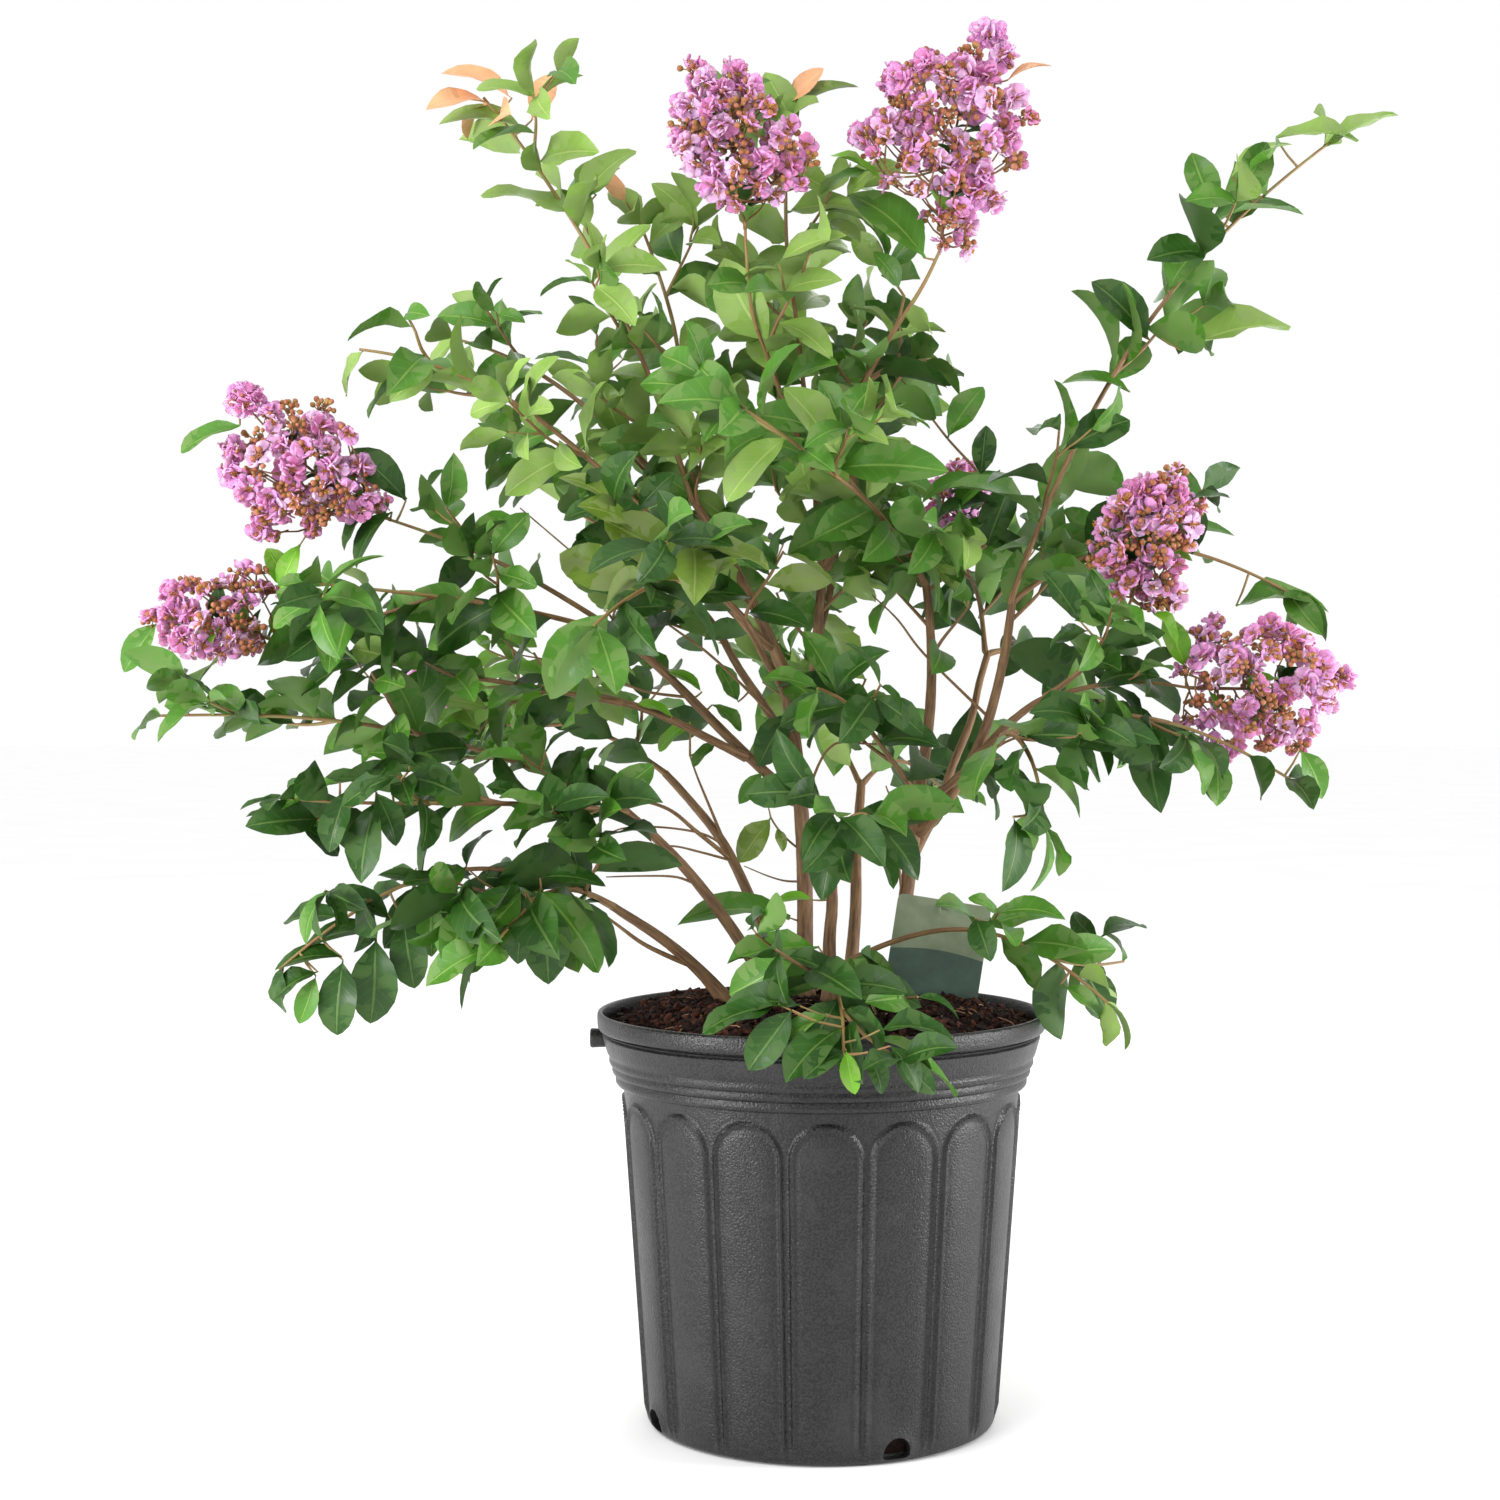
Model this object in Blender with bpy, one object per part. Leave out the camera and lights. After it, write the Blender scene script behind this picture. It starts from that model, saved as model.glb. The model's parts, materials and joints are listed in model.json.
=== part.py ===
"""Potted crape myrtle in bloom, as separate named solids.

A ribbed nursery container holds a mound of soil. A clump of stems stands on the soil,
boughs leave the stems, and each bough ends in one or two leafy sprays. Six sprays in
view and two at the back end in a cone of blossom.

Frame: metres, +Z up. The origin is the centre of the container's flat underside, and
the plant's best side faces -Y. The tables below are in millimetres.
"""

import math
import random
from typing import NamedTuple

import bmesh
import bpy
from mathutils import Matrix, Vector, kdtree

MM = 0.001
UP = Vector((0.0, 0.0, 1.0))
# Clearance between pieces that touch on the real plant.
GAP = 0.0003

# Container: a 273 mm wide, 250 mm high nursery pot with 16 arched panels.
RIM_RADIUS = 136.5
POT_HEIGHT = 250.0
WALL_TOP = 205.0
WALL_TOP_RADIUS = 120.5
BASE_RADIUS = 106.5
UNDERSIDE_RADIUS = 103.5
FLOOR_THICKNESS = 3.5
SHELL = 3.0
PANELS = 16
SEGMENTS = 2 * PANELS
GROOVE_DEPTH = 1.8
ARCH_BOTTOM = 180.0
ARCH_TOP = 197.0
DRAIN_COUNT = 4
DRAIN_TURN = math.tau / PANELS
DRAIN_WIDTH = 20.0
DRAIN_HEIGHT = 16.0
DRAIN_DEPTH = 20.0
LUG_RADIUS = 6.0
LUG_ROOT = 133.0
LUG_REACH = 141.0
LUG_HEIGHT = 232.5

# Soil: a mound whose middle is flat, where the stems stand.
SOIL_EDGE = 240.0
SOIL_SHOULDER = (104.5, 249.5)
SOIL_TOP = 256.0
SOIL_FLAT_RADIUS = 74.0

# Plant label: a plastic card that stands in the soil.
TAG_WIDTH = 58.0
TAG_HEIGHT = 66.0
TAG_THICKNESS = 0.8
TAG_CORNER = 4.0
TAG_HOLE = 3.5
TAG_HOLE_DROP = 2.5
TAG_PLACE = (72.0, 14.0, 283.0)
TAG_TILT = math.radians(9.0)
TAG_LEAN = math.radians(4.0)

# Limbs: how finely they are built, and how they swell, waver and leave their parent.
STEM_SIDES = 7
BOUGH_SIDES = 6
LIMB_STEP = 26.0
FLARE = 0.5
FLARE_REACH = 9.0
WAVER = 1.2
WAVER_LENGTH = 100.0
LEAD = 0.08

# Sprays: stem sizes, and where the leaves sit in two ranks.
SPRAY_STEP = 34.0
SPRAY_ROOT_RADIUS = 1.8
SPRAY_TIP_RADIUS = 0.9
FORK_OFFSET = 2.1
LEAF_STEP = 18.0
LEAF_STEP_JITTER = 0.15
FIRST_LEAF = 12.0
LAST_LEAF = 0.94
TIP_LEAF = 0.985
# Below this sine of its angle to the vertical, a shoot counts as upright.
UPRIGHT = 0.35

# Side twigs: every third leaf's place bears one, up to a share of the spray's length.
TWIG_EVERY = 3
TWIG_LAST = 0.78
TWIG_LENGTH = 74.0
TWIG_LENGTH_RANGE = (0.75, 1.15)
TWIG_TAPER = 0.35
TWIG_RADII = (1.4, 0.8)
TWIG_SPREAD = math.radians(48.0)
TWIG_TURN = 0.7
TWIG_LIFT = 0.25
TWIG_SAG = 0.05

# Leaves: their angles, and their form as shares of their length.
LEAF_SPREAD = math.radians(52.0)
LEAF_SPREAD_JITTER = math.radians(14.0)
LEAF_LOOK_UP = 0.65
LEAF_SIDE_TURN = 1.1
LEAF_TIP_SPREAD = math.radians(8.0)
LEAF_TRIES = 5
LEAF_RETRY_SHRINK = 0.06
LEAF_SIZE_JITTER = 0.14
LEAF_TAPER = 0.28
TIP_LEAF_SIZE = 0.8
LEAF_HANG = 0.18
LEAF_WIDTH = 0.57
LEAF_WIDEST = 0.48
LEAF_THICKNESS = 0.024
LEAF_DROOP = 0.10
LEAF_APART = 10.0

# Clearances to other sprays' space, to limbs and to blossom, and how far each is sought.
SPACE_MARGIN = 1.2
LIMB_CLEAR = 1.6
LIMB_SEARCH = 12.0
BLOOM_CLEAR = 3.0
BLOOM_SEARCH = 70.0
BLOOM_LEAST_RADIUS = 10.0
PROBE_STEP = 12.0

# Space kept free above the soil and round the container's rim.
RIM_KEEP_RADIUS = RIM_RADIUS + 9.0
RIM_KEEP_HEIGHT = 263.0
TAG_KEEP = (14.0, 16.0, 12.0)

# Blossom: a lumpy core with clusters set round it.
CORE_WIDTH = 0.78
CORE_LENGTH = 0.94
CORE_MIDDLE = 0.48
CORE_UNEVEN = 0.16
BLOOM_ROOT = 0.97
BLOOM_STALK = (1.6, 1.2)
CLUSTER_COUNT = 5
CLUSTER_SIZE = 0.2
CLUSTER_UNEVEN = 0.1
CLUSTER_RANGE = (0.12, 0.86)
GOLDEN_TURN = math.pi * (3.0 - math.sqrt(5.0))


class Stem(NamedTuple):
    """A stem on the soil: its foot, its tip, the bow of its middle and its end radii."""

    name: str
    foot: tuple
    tip: tuple
    bow: tuple
    radii: tuple


class Bough(NamedTuple):
    """A limb that leaves its parent's side, or its tip where along is 1."""

    name: str
    parent: str
    along: float
    tip: tuple
    bow: tuple
    radii: tuple


class Spray(NamedTuple):
    """A leafy shoot on a limb, with its leaves' length, and its blossom's end and width."""

    name: str
    parent: str
    along: float
    tip: tuple
    bow: tuple
    leaf: float
    bloom_end: tuple = None
    bloom_width: float = 0.0


STEMS = (
    Stem("stem_centre", (-10, 20), (-22, 20, 455), (5, 0, 0), (5.2, 4.1)),
    Stem("stem_right", (50, 36), (62, 30, 385), (-1, 0, 0), (5.0, 4.2)),
    Stem("stem_front", (6, -8), (5, -32, 345), (0, 4, 0), (4.4, 3.0)),
    Stem("stem_left", (-58, -10), (-126, -32, 316), (0, 0, 3), (4.0, 2.6)),
    Stem("stem_fan", (-28, 0), (-118, -18, 372), (-6, 0, 14), (4.0, 2.5)),
    Stem("stem_fan_back", (-26, 46), (-98, 82, 392), (8, -4, 8), (3.8, 2.5)),
    Stem("stem_back", (20, 60), (30, 125, 385), (0, -8, 0), (4.2, 2.9)),
)

BOUGHS = (
    Bough("bough_top_left", "stem_centre", 1.0, (-78, 10, 562), (2, 2, 0), (3.8, 2.6)),
    Bough("bough_top_centre", "stem_centre", 0.84, (-2, 32, 580), (4, 3, 0), (3.4, 2.4)),
    Bough("bough_top_right", "bough_top_centre", 0.62, (26, 12, 632), (3, 0, 0), (2.6, 2.1)),
    Bough("bough_left_long", "stem_centre", 0.60, (-125, 8, 480), (0, 0, 6), (3.4, 2.4)),
    Bough("bough_left_mid", "bough_left_long", 0.22, (-122, -14, 438), (0, -2, 4), (2.8, 2.2)),
    Bough("bough_left_high", "bough_top_left", 0.14, (-110, -14, 556), (0, -2, 2), (2.6, 2.1)),
    Bough("bough_left_crown", "bough_top_left", 0.60, (-112, 44, 590), (0, 3, 2), (2.4, 2.1)),
    Bough("bough_centre_front", "stem_centre", 0.94, (-58, -62, 498), (0, -2, 6), (2.6, 2.1)),
    Bough("bough_right_upright", "stem_right", 1.0, (66, 30, 510), (5, 0, 0), (3.8, 2.5)),
    Bough("bough_right_long", "stem_right", 0.78, (118, 14, 500), (9, -5, 0), (3.8, 2.6)),
    Bough("bough_right_outer", "bough_right_long", 0.34, (136, -6, 440), (0, -2, 5), (2.6, 2.2)),
    Bough("bough_right_low", "stem_right", 0.93, (108, -40, 418), (4, -4, 2), (2.6, 2.2)),
    Bough("bough_back_left", "stem_centre", 0.76, (-92, 118, 520), (0, 6, 6), (3.0, 2.2)),
    Bough("bough_back_high", "bough_top_centre", 0.36, (18, 105, 590), (2, 5, 0), (2.6, 2.1)),
    Bough("bough_back_right", "stem_right", 0.66, (112, 110, 470), (5, 5, 5), (3.0, 2.2)),
)

SPRAYS = (
    Spray("spray_top_left", "bough_top_left", 1.0, (-203, -20, 800), (14, 0, 6), 58),
    Spray("spray_crown_left", "bough_top_left", 1.0, (-112, 26, 735), (10, 6, 0), 58),
    Spray("spray_top_centre", "bough_top_centre", 1.0, (-22, 14, 795), (-6, 0, 0), 58),
    Spray("spray_bloom_top", "bough_top_centre", 1.0, (-46, -40, 722), (-12, -10, 0), 52,
          (-44, -42, 812), 88),
    Spray("spray_bloom_top_right", "bough_top_right", 1.0, (72, -26, 712), (3, 0, 0), 54,
          (84, -30, 848), 108),
    Spray("spray_crown_right", "bough_top_right", 1.0, (108, 52, 640), (0, 6, 12), 56),
    Spray("spray_right_top", "bough_right_long", 1.0, (306, -12, 775), (-10, 0, 26), 57),
    Spray("spray_right_outer", "bough_right_long", 1.0, (292, 34, 506), (0, 10, 26), 56),
    Spray("spray_bloom_right", "bough_right_outer", 1.0, (184, -42, 502), (6, -6, -2), 50,
          (198, -44, 582), 66),
    Spray("spray_bloom_right_low", "bough_right_outer", 1.0, (222, -28, 446), (0, 4, 6), 50,
          (326, -30, 450), 88),
    Spray("spray_right_low", "bough_right_low", 1.0, (276, -52, 392), (0, 0, 20), 56),
    Spray("spray_right_drop", "bough_right_low", 1.0, (124, -118, 366), (0, -8, 16), 60),
    Spray("spray_left_high", "bough_left_high", 1.0, (-276, -32, 648), (0, -4, 18), 54),
    Spray("spray_left_crown", "bough_left_crown", 1.0, (-232, 64, 668), (0, 4, 12), 54),
    Spray("spray_bloom_left", "bough_left_long", 1.0, (-262, -30, 548), (0, 4, 6), 52,
          (-346, -40, 614), 78),
    Spray("spray_left_front", "bough_left_long", 1.0, (-290, -96, 506), (0, -14, 2), 54),
    Spray("spray_bloom_left_low", "bough_left_mid", 1.0, (-328, -20, 472), (0, 2, 0), 50,
          (-400, -24, 492), 60),
    Spray("spray_left_inner", "bough_left_mid", 1.0, (-220, 66, 446), (0, 10, 4), 48),
    Spray("spray_left_wide", "stem_fan", 1.0, (-392, -62, 430), (0, 0, 16), 54),
    Spray("spray_left_low", "stem_fan", 1.0, (-302, -124, 384), (0, -18, -2), 55),
    Spray("spray_left_droop", "stem_left", 1.0, (-318, -72, 282), (0, 6, 34), 54),
    Spray("spray_left_foot", "stem_left", 1.0, (-188, -140, 300), (0, -6, 18), 64),
    Spray("spray_front_low", "stem_front", 1.0, (26, -84, 372), (0, -8, 10), 62),
    Spray("spray_front_rim", "stem_front", 0.12, (8, -168, 246), (0, -6, 22), 52),
    Spray("spray_right_foot", "stem_front", 0.20, (166, -72, 262), (0, 4, 32), 54),
    Spray("spray_centre_front", "bough_centre_front", 1.0, (-128, -168, 480), (0, -6, 14), 60),
    Spray("spray_centre_red", "bough_right_upright", 1.0, (-50, -118, 606), (8, -14, 0), 62),
    Spray("spray_centre_low", "stem_right", 0.97, (-4, -70, 446), (0, -6, 12), 56),
    Spray("spray_back_left", "bough_back_left", 1.0, (-178, 226, 596), (0, 6, 10), 56),
    Spray("spray_back_high", "bough_back_high", 1.0, (-6, 176, 690), (4, 8, 6), 56),
    Spray("spray_back_right", "bough_back_right", 1.0, (104, 216, 540), (0, 8, 8), 52,
          (106, 238, 606), 58),
    Spray("spray_back_right_low", "bough_back_right", 1.0, (212, 178, 424), (0, 10, 12), 56),
    Spray("spray_back_left_low", "stem_fan_back", 1.0, (-218, 178, 430), (0, 8, 10), 52,
          (-276, 200, 452), 56),
    Spray("spray_back_centre", "stem_back", 1.0, (-36, 262, 456), (0, 10, 12), 58),
    Spray("spray_back_low", "stem_back", 1.0, (96, 246, 372), (0, 10, 14), 58),
)


class Line:
    """A limb's centre line, from its seat to its tip, with its radius along the way."""

    def __init__(self, seat, facing, tip, bow, radii, flare=0.0):
        self.start = seat
        self.facing = facing
        self.radii = radii
        self.flare = flare
        reach = tip - seat
        self.length = reach.length
        middle = (seat + tip) / 2.0 + bow * 2.0
        lead = facing * (self.length * LEAD)
        self.knots = (
            seat,
            seat + (middle - seat) * (2.0 / 3.0) + lead,
            tip + (middle - tip) * (2.0 / 3.0),
            tip,
        )
        across = reach.cross(UP)
        self.across = (across if across.length > MM else Vector((1.0, 0.0, 0.0))).normalized()
        self.waves = max(1, round(self.length / (WAVER_LENGTH * MM)))

    def point(self, t):
        """The point at a share t of the way from seat to tip."""
        a, b, c, d = self.knots
        u = 1.0 - t
        bezier = a * u**3 + b * (3.0 * u * u * t) + c * (3.0 * u * t * t) + d * t**3
        swing = math.sin(math.pi * t) * math.sin(math.tau * self.waves * t)
        return bezier + self.across * (WAVER * MM * swing)

    def tangent(self, t):
        """The direction of growth at t."""
        step = 0.01
        low = max(0.0, t - step)
        high = min(1.0, t + step)
        return (self.point(high) - self.point(low)).normalized()

    def radius(self, t):
        """The limb's radius at t, with the swelling of a stem's foot."""
        low, high = self.radii
        plain = low + (high - low) * t
        swell = self.flare * math.exp(-t * self.length / (FLARE_REACH * MM))
        return plain * (1.0 + swell) * MM

    def samples(self, spacing):
        """Points and radii along the line, about a spacing apart."""
        count = max(2, round(self.length / spacing))
        shares = [k / count for k in range(count + 1)]
        return [(self.point(t), self.radius(t)) for t in shares]


def vector(values):
    """A place in metres from a table entry in millimetres."""
    return Vector(values) * MM


def side_seat(parent, along, target):
    """Seat on the side of a limb that faces a target, and the way it faces."""
    base = parent.point(along)
    axis = parent.tangent(along)
    out = target - base
    out = (out - axis * out.dot(axis)).normalized()
    return base + out * (parent.radius(along) + GAP), out


def tip_seat(parent, aside):
    """Seat just beyond a limb's tip, moved aside for one arm of a fork."""
    axis = parent.tangent(1.0)
    return parent.point(1.0) + axis * GAP + aside, axis


def fork_offset(parent, spray):
    """How far a spray's seat moves aside where two sprays share a tip."""
    others = [s for s in SPRAYS if s.parent == spray.parent and s.along == 1.0 and s != spray]
    if spray.along < 1.0 or not others:
        return Vector((0.0, 0.0, 0.0))
    axis = parent.tangent(1.0)
    apart = lead_point(spray) - lead_point(others[0])
    apart -= axis * apart.dot(axis)
    return apart.normalized() * (FORK_OFFSET * MM)


def lead_point(spray):
    """A point that a spray heads for as it leaves its limb."""
    return vector(spray.tip) * 0.5 + vector(spray.bow) * 2.0


def grow_lines():
    """The centre lines of every stem, bough and spray, by name."""
    lines = {}
    for stem in STEMS:
        foot = vector((*stem.foot, SOIL_TOP)) + UP * GAP
        lines[stem.name] = Line(foot, UP, vector(stem.tip), vector(stem.bow), stem.radii, FLARE)
    for limb in (*BOUGHS, *SPRAYS):
        parent = lines[limb.parent]
        tip = vector(limb.tip)
        bow = vector(limb.bow)
        is_spray = isinstance(limb, Spray)
        if limb.along < 1.0:
            target = (parent.point(limb.along) + tip) / 2.0 + bow * 2.0
            seat, facing = side_seat(parent, limb.along, target)
        else:
            aside = fork_offset(parent, limb) if is_spray else Vector((0.0, 0.0, 0.0))
            seat, facing = tip_seat(parent, aside)
        radii = (SPRAY_ROOT_RADIUS, SPRAY_TIP_RADIUS) if is_spray else limb.radii
        lines[limb.name] = Line(seat, facing, tip, bow, radii)
    return lines


def new_object(name, bm, smooth_angle=None):
    """Links a mesh made in bmesh as an object, with its faces pointing outwards."""
    bmesh.ops.recalc_face_normals(bm, faces=bm.faces)
    mesh = bpy.data.meshes.new(name)
    bm.to_mesh(mesh)
    bm.free()
    if smooth_angle is not None:
        mesh.shade_smooth()
        mesh.set_sharp_from_angle(angle=smooth_angle)
    obj = bpy.data.objects.new(name, mesh)
    bpy.context.scene.collection.objects.link(obj)
    return obj


def bridge(bm, low, high):
    """Joins two rings of the same number of points by quads."""
    count = len(low)
    for k in range(count):
        nxt = (k + 1) % count
        bm.faces.new((low[k], low[nxt], high[nxt], high[k]))


def add_tube(bm, line, sides, shares):
    """Adds a closed tapering tube whose first ring lies flat against its seat."""
    axis = line.tangent(0.0)
    side = axis.orthogonal().normalized()
    rings = []
    for t in shares:
        turned = line.tangent(t)
        side = (axis.rotation_difference(turned) @ side).normalized()
        axis = turned
        other = axis.cross(side)
        centre = line.point(t)
        ring = []
        for k in range(sides):
            angle = math.tau * k / sides
            spot = centre + (side * math.cos(angle) + other * math.sin(angle)) * line.radius(t)
            if t == 0.0:
                slant = axis.dot(line.facing)
                spot += axis * ((line.start - spot).dot(line.facing) / slant)
            ring.append(bm.verts.new(spot))
        if rings:
            bridge(bm, rings[-1], ring)
        rings.append(ring)
    bm.faces.new(tuple(reversed(rings[0])))
    bm.faces.new(rings[-1])


def limb_shares(line, spacing, power=1.0):
    """Shares of a line's length for a tube's rings, closer near the seat for a power over 1."""
    count = max(3, round(line.length / (spacing * MM)))
    return [(k / count) ** power for k in range(count + 1)]


def build_limb(name, line, sides, power):
    """A stem or bough as one tapering solid."""
    bm = bmesh.new()
    add_tube(bm, line, sides, limb_shares(line, LIMB_STEP, power))
    return new_object(name, bm, math.radians(60.0))


def turned_level(bm, radius, height, segments, groove=0.0):
    """A ring of points at one height, drawn in between the panels by a groove's depth."""
    ring = []
    for k in range(segments):
        angle = math.tau * k / segments - math.pi / 2.0
        own = radius - (groove if groove and k % 2 == 1 else 0.0)
        place = Vector((math.cos(angle) * own, math.sin(angle) * own, height)) * MM
        ring.append(bm.verts.new(place))
    return ring


def turned_solid(name, levels, segments, smooth_angle):
    """A solid turned round the Z axis, from levels of radius, height and groove."""
    bm = bmesh.new()
    rings = [turned_level(bm, r, z, segments, groove) for r, z, groove in levels]
    for low, high in zip(rings, rings[1:]):
        bridge(bm, low, high)
    bm.faces.new(tuple(reversed(rings[0])))
    bm.faces.new(rings[-1])
    return new_object(name, bm, smooth_angle)


def pot_levels():
    """The container's outline, from the underside up the outside and down the inside."""
    outside = [
        (UNDERSIDE_RADIUS, 0.0, 0.0),
        (BASE_RADIUS, 4.0, GROOVE_DEPTH),
        (WALL_TOP_RADIUS - 1.5, ARCH_BOTTOM, GROOVE_DEPTH),
        (WALL_TOP_RADIUS - 0.5, ARCH_TOP, 0.0),
        (WALL_TOP_RADIUS, WALL_TOP, 0.0),
        (RIM_RADIUS - 11.5, WALL_TOP + 1.5, 0.0),
        (RIM_RADIUS - 10.0, WALL_TOP + 11.5, 0.0),
        (RIM_RADIUS - 7.0, WALL_TOP + 13.0, 0.0),
        (RIM_RADIUS - 6.0, WALL_TOP + 20.5, 0.0),
        (RIM_RADIUS - 2.5, WALL_TOP + 31.5, 0.0),
        (RIM_RADIUS - 3.0, WALL_TOP + 32.5, 0.0),
        (RIM_RADIUS, WALL_TOP + 33.5, 0.0),
        (RIM_RADIUS, POT_HEIGHT - 1.0, 0.0),
        (RIM_RADIUS - 1.0, POT_HEIGHT, 0.0),
    ]
    return outside + inside_levels(0.0)


def inside_levels(clear):
    """The container's inner wall, or the soil's side where clear is its gap to that wall."""
    lip = [(RIM_RADIUS - SHELL, POT_HEIGHT, 0.0)] if clear == 0.0 else []
    return lip + [
        (RIM_RADIUS - SHELL - 1.0 - clear, 238.0 if clear == 0.0 else SOIL_EDGE, 0.0),
        (WALL_TOP_RADIUS - SHELL - 1.0 - clear, 203.0, 0.0),
        (UNDERSIDE_RADIUS - 1.5 - clear, FLOOR_THICKNESS + clear, 0.0),
    ]


def cutter(name, bm):
    """A helper solid that is not part of the model."""
    obj = new_object(name, bm)
    obj.hide_render = True
    obj.display_type = "WIRE"
    return obj


def prism(bm, outline, depth):
    """Adds an upright prism: an outline in X and Z, pushed a depth along Y."""
    near = [bm.verts.new(Vector((x, 0.0, z)) * MM) for x, z in outline]
    far = [bm.verts.new(Vector((x, depth, z)) * MM) for x, z in outline]
    bridge(bm, near, far)
    bm.faces.new(near)
    bm.faces.new(tuple(reversed(far)))
    return near + far


def drain_outline():
    """A drainage hole seen from outside: straight sides and a round top."""
    radius = DRAIN_WIDTH / 2.0
    middle = DRAIN_HEIGHT - radius
    arc = [math.pi * k / 6.0 for k in range(7)]
    top = [(math.cos(a) * radius, middle + math.sin(a) * radius) for a in arc]
    return [(radius, -2.0), *top, (-radius, -2.0)]


def drain_cutter():
    """The holes at the foot of four panels, as one cutter."""
    bm = bmesh.new()
    for k in range(DRAIN_COUNT):
        verts = prism(bm, drain_outline(), DRAIN_DEPTH)
        turn = Matrix.Rotation(DRAIN_TURN + math.tau * k / DRAIN_COUNT, 4, "Z")
        out = Matrix.Translation(Vector((0.0, -(BASE_RADIUS + DRAIN_DEPTH / 2.0) * MM, 0.0)))
        bmesh.ops.transform(bm, matrix=turn @ out, verts=verts)
    return cutter("drain_cutter", bm)


def apply_modifiers(obj):
    """Replaces an object's mesh by its evaluated mesh and drops its modifiers."""
    graph = bpy.context.evaluated_depsgraph_get()
    graph.update()
    mesh = bpy.data.meshes.new_from_object(obj.evaluated_get(graph))
    obj.modifiers.clear()
    old = obj.data
    obj.data = mesh
    bpy.data.meshes.remove(old)
    mesh.name = obj.name


def boolean(obj, operation, other):
    """Adds a Boolean by one object to another and applies it."""
    modifier = obj.modifiers.new(operation.lower(), "BOOLEAN")
    modifier.operation = operation
    modifier.solver = "EXACT"
    modifier.object = other
    apply_modifiers(obj)
    bpy.data.objects.remove(other)


def build_pot():
    """The container: ribbed wall, stepped rim, drainage holes and the lug on its left."""
    pot = turned_solid("pot", pot_levels(), SEGMENTS, math.radians(35.0))
    boolean(pot, "DIFFERENCE", drain_cutter())
    bm = bmesh.new()
    bmesh.ops.create_cone(
        bm, cap_ends=True, segments=8, radius1=LUG_RADIUS * MM, radius2=LUG_RADIUS * MM,
        depth=(LUG_REACH - LUG_ROOT) * MM,
    )
    centre = Vector((-(LUG_REACH + LUG_ROOT) / 2.0, 0.0, LUG_HEIGHT)) * MM
    place = Matrix.Translation(centre) @ Matrix.Rotation(math.pi / 2.0, 4, "Y")
    bmesh.ops.transform(bm, matrix=place, verts=bm.verts)
    boolean(pot, "UNION", cutter("lug", bm))
    pot.data.shade_smooth()
    pot.data.set_sharp_from_angle(angle=math.radians(35.0))
    return pot


def tag_outline(grow):
    """The label's outline round its own middle, with round corners, let out by a width."""
    half_width = TAG_WIDTH / 2.0 + grow
    half_height = TAG_HEIGHT / 2.0 + grow
    outline = []
    for corner in range(4):
        sx = (1, -1, -1, 1)[corner]
        sz = (1, 1, -1, -1)[corner]
        for k in range(3):
            angle = math.pi / 2.0 * (corner + k / 2.0)
            x = sx * (half_width - TAG_CORNER) + math.cos(angle) * TAG_CORNER
            z = sz * (half_height - TAG_CORNER) + math.sin(angle) * TAG_CORNER
            outline.append((x, z))
        if corner == 0 and grow == 0.0:
            outline += tag_notch(half_height)
    return outline


def tag_notch(top):
    """The keyhole in the label's top edge, by which it would hang."""
    neck = TAG_HOLE * 0.4
    turn = math.asin(neck / TAG_HOLE)
    depth = TAG_HOLE + TAG_HOLE_DROP
    notch = [(neck, top)]
    for k in range(7):
        angle = math.pi / 2.0 - turn - (math.tau - 2.0 * turn) * k / 6.0
        notch.append((math.cos(angle) * TAG_HOLE, top - depth + math.sin(angle) * TAG_HOLE))
    return [*notch, (-neck, top)]


def tag_matrix():
    """Where the label stands, with its tilt to the right and its lean back."""
    tilt = Matrix.Rotation(TAG_TILT, 4, "Y")
    lean = Matrix.Rotation(-TAG_LEAN, 4, "X")
    return Matrix.Translation(vector(TAG_PLACE)) @ lean @ tilt


def tag_solid(grow):
    """The label's solid in bmesh, let out all round by a clearance."""
    bm = bmesh.new()
    depth = TAG_THICKNESS + 2.0 * grow
    verts = prism(bm, tag_outline(grow), depth)
    centre = Matrix.Translation(Vector((0.0, -depth / 2.0 * MM, 0.0)))
    bmesh.ops.transform(bm, matrix=tag_matrix() @ centre, verts=verts)
    return bm


def build_tag():
    """The bare plant label."""
    return new_object("plant_tag", tag_solid(0.0))


def build_soil():
    """The soil: it fills the container, mounds to a flat top and is slit for the label."""
    levels = [
        *reversed(inside_levels(GAP / MM)),
        (*SOIL_SHOULDER, 0.0),
        (SOIL_FLAT_RADIUS, SOIL_TOP, 0.0),
    ]
    soil = turned_solid("soil", levels, SEGMENTS, math.radians(40.0))
    boolean(soil, "DIFFERENCE", cutter("tag_slit", tag_solid(GAP / MM)))
    return soil


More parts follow.
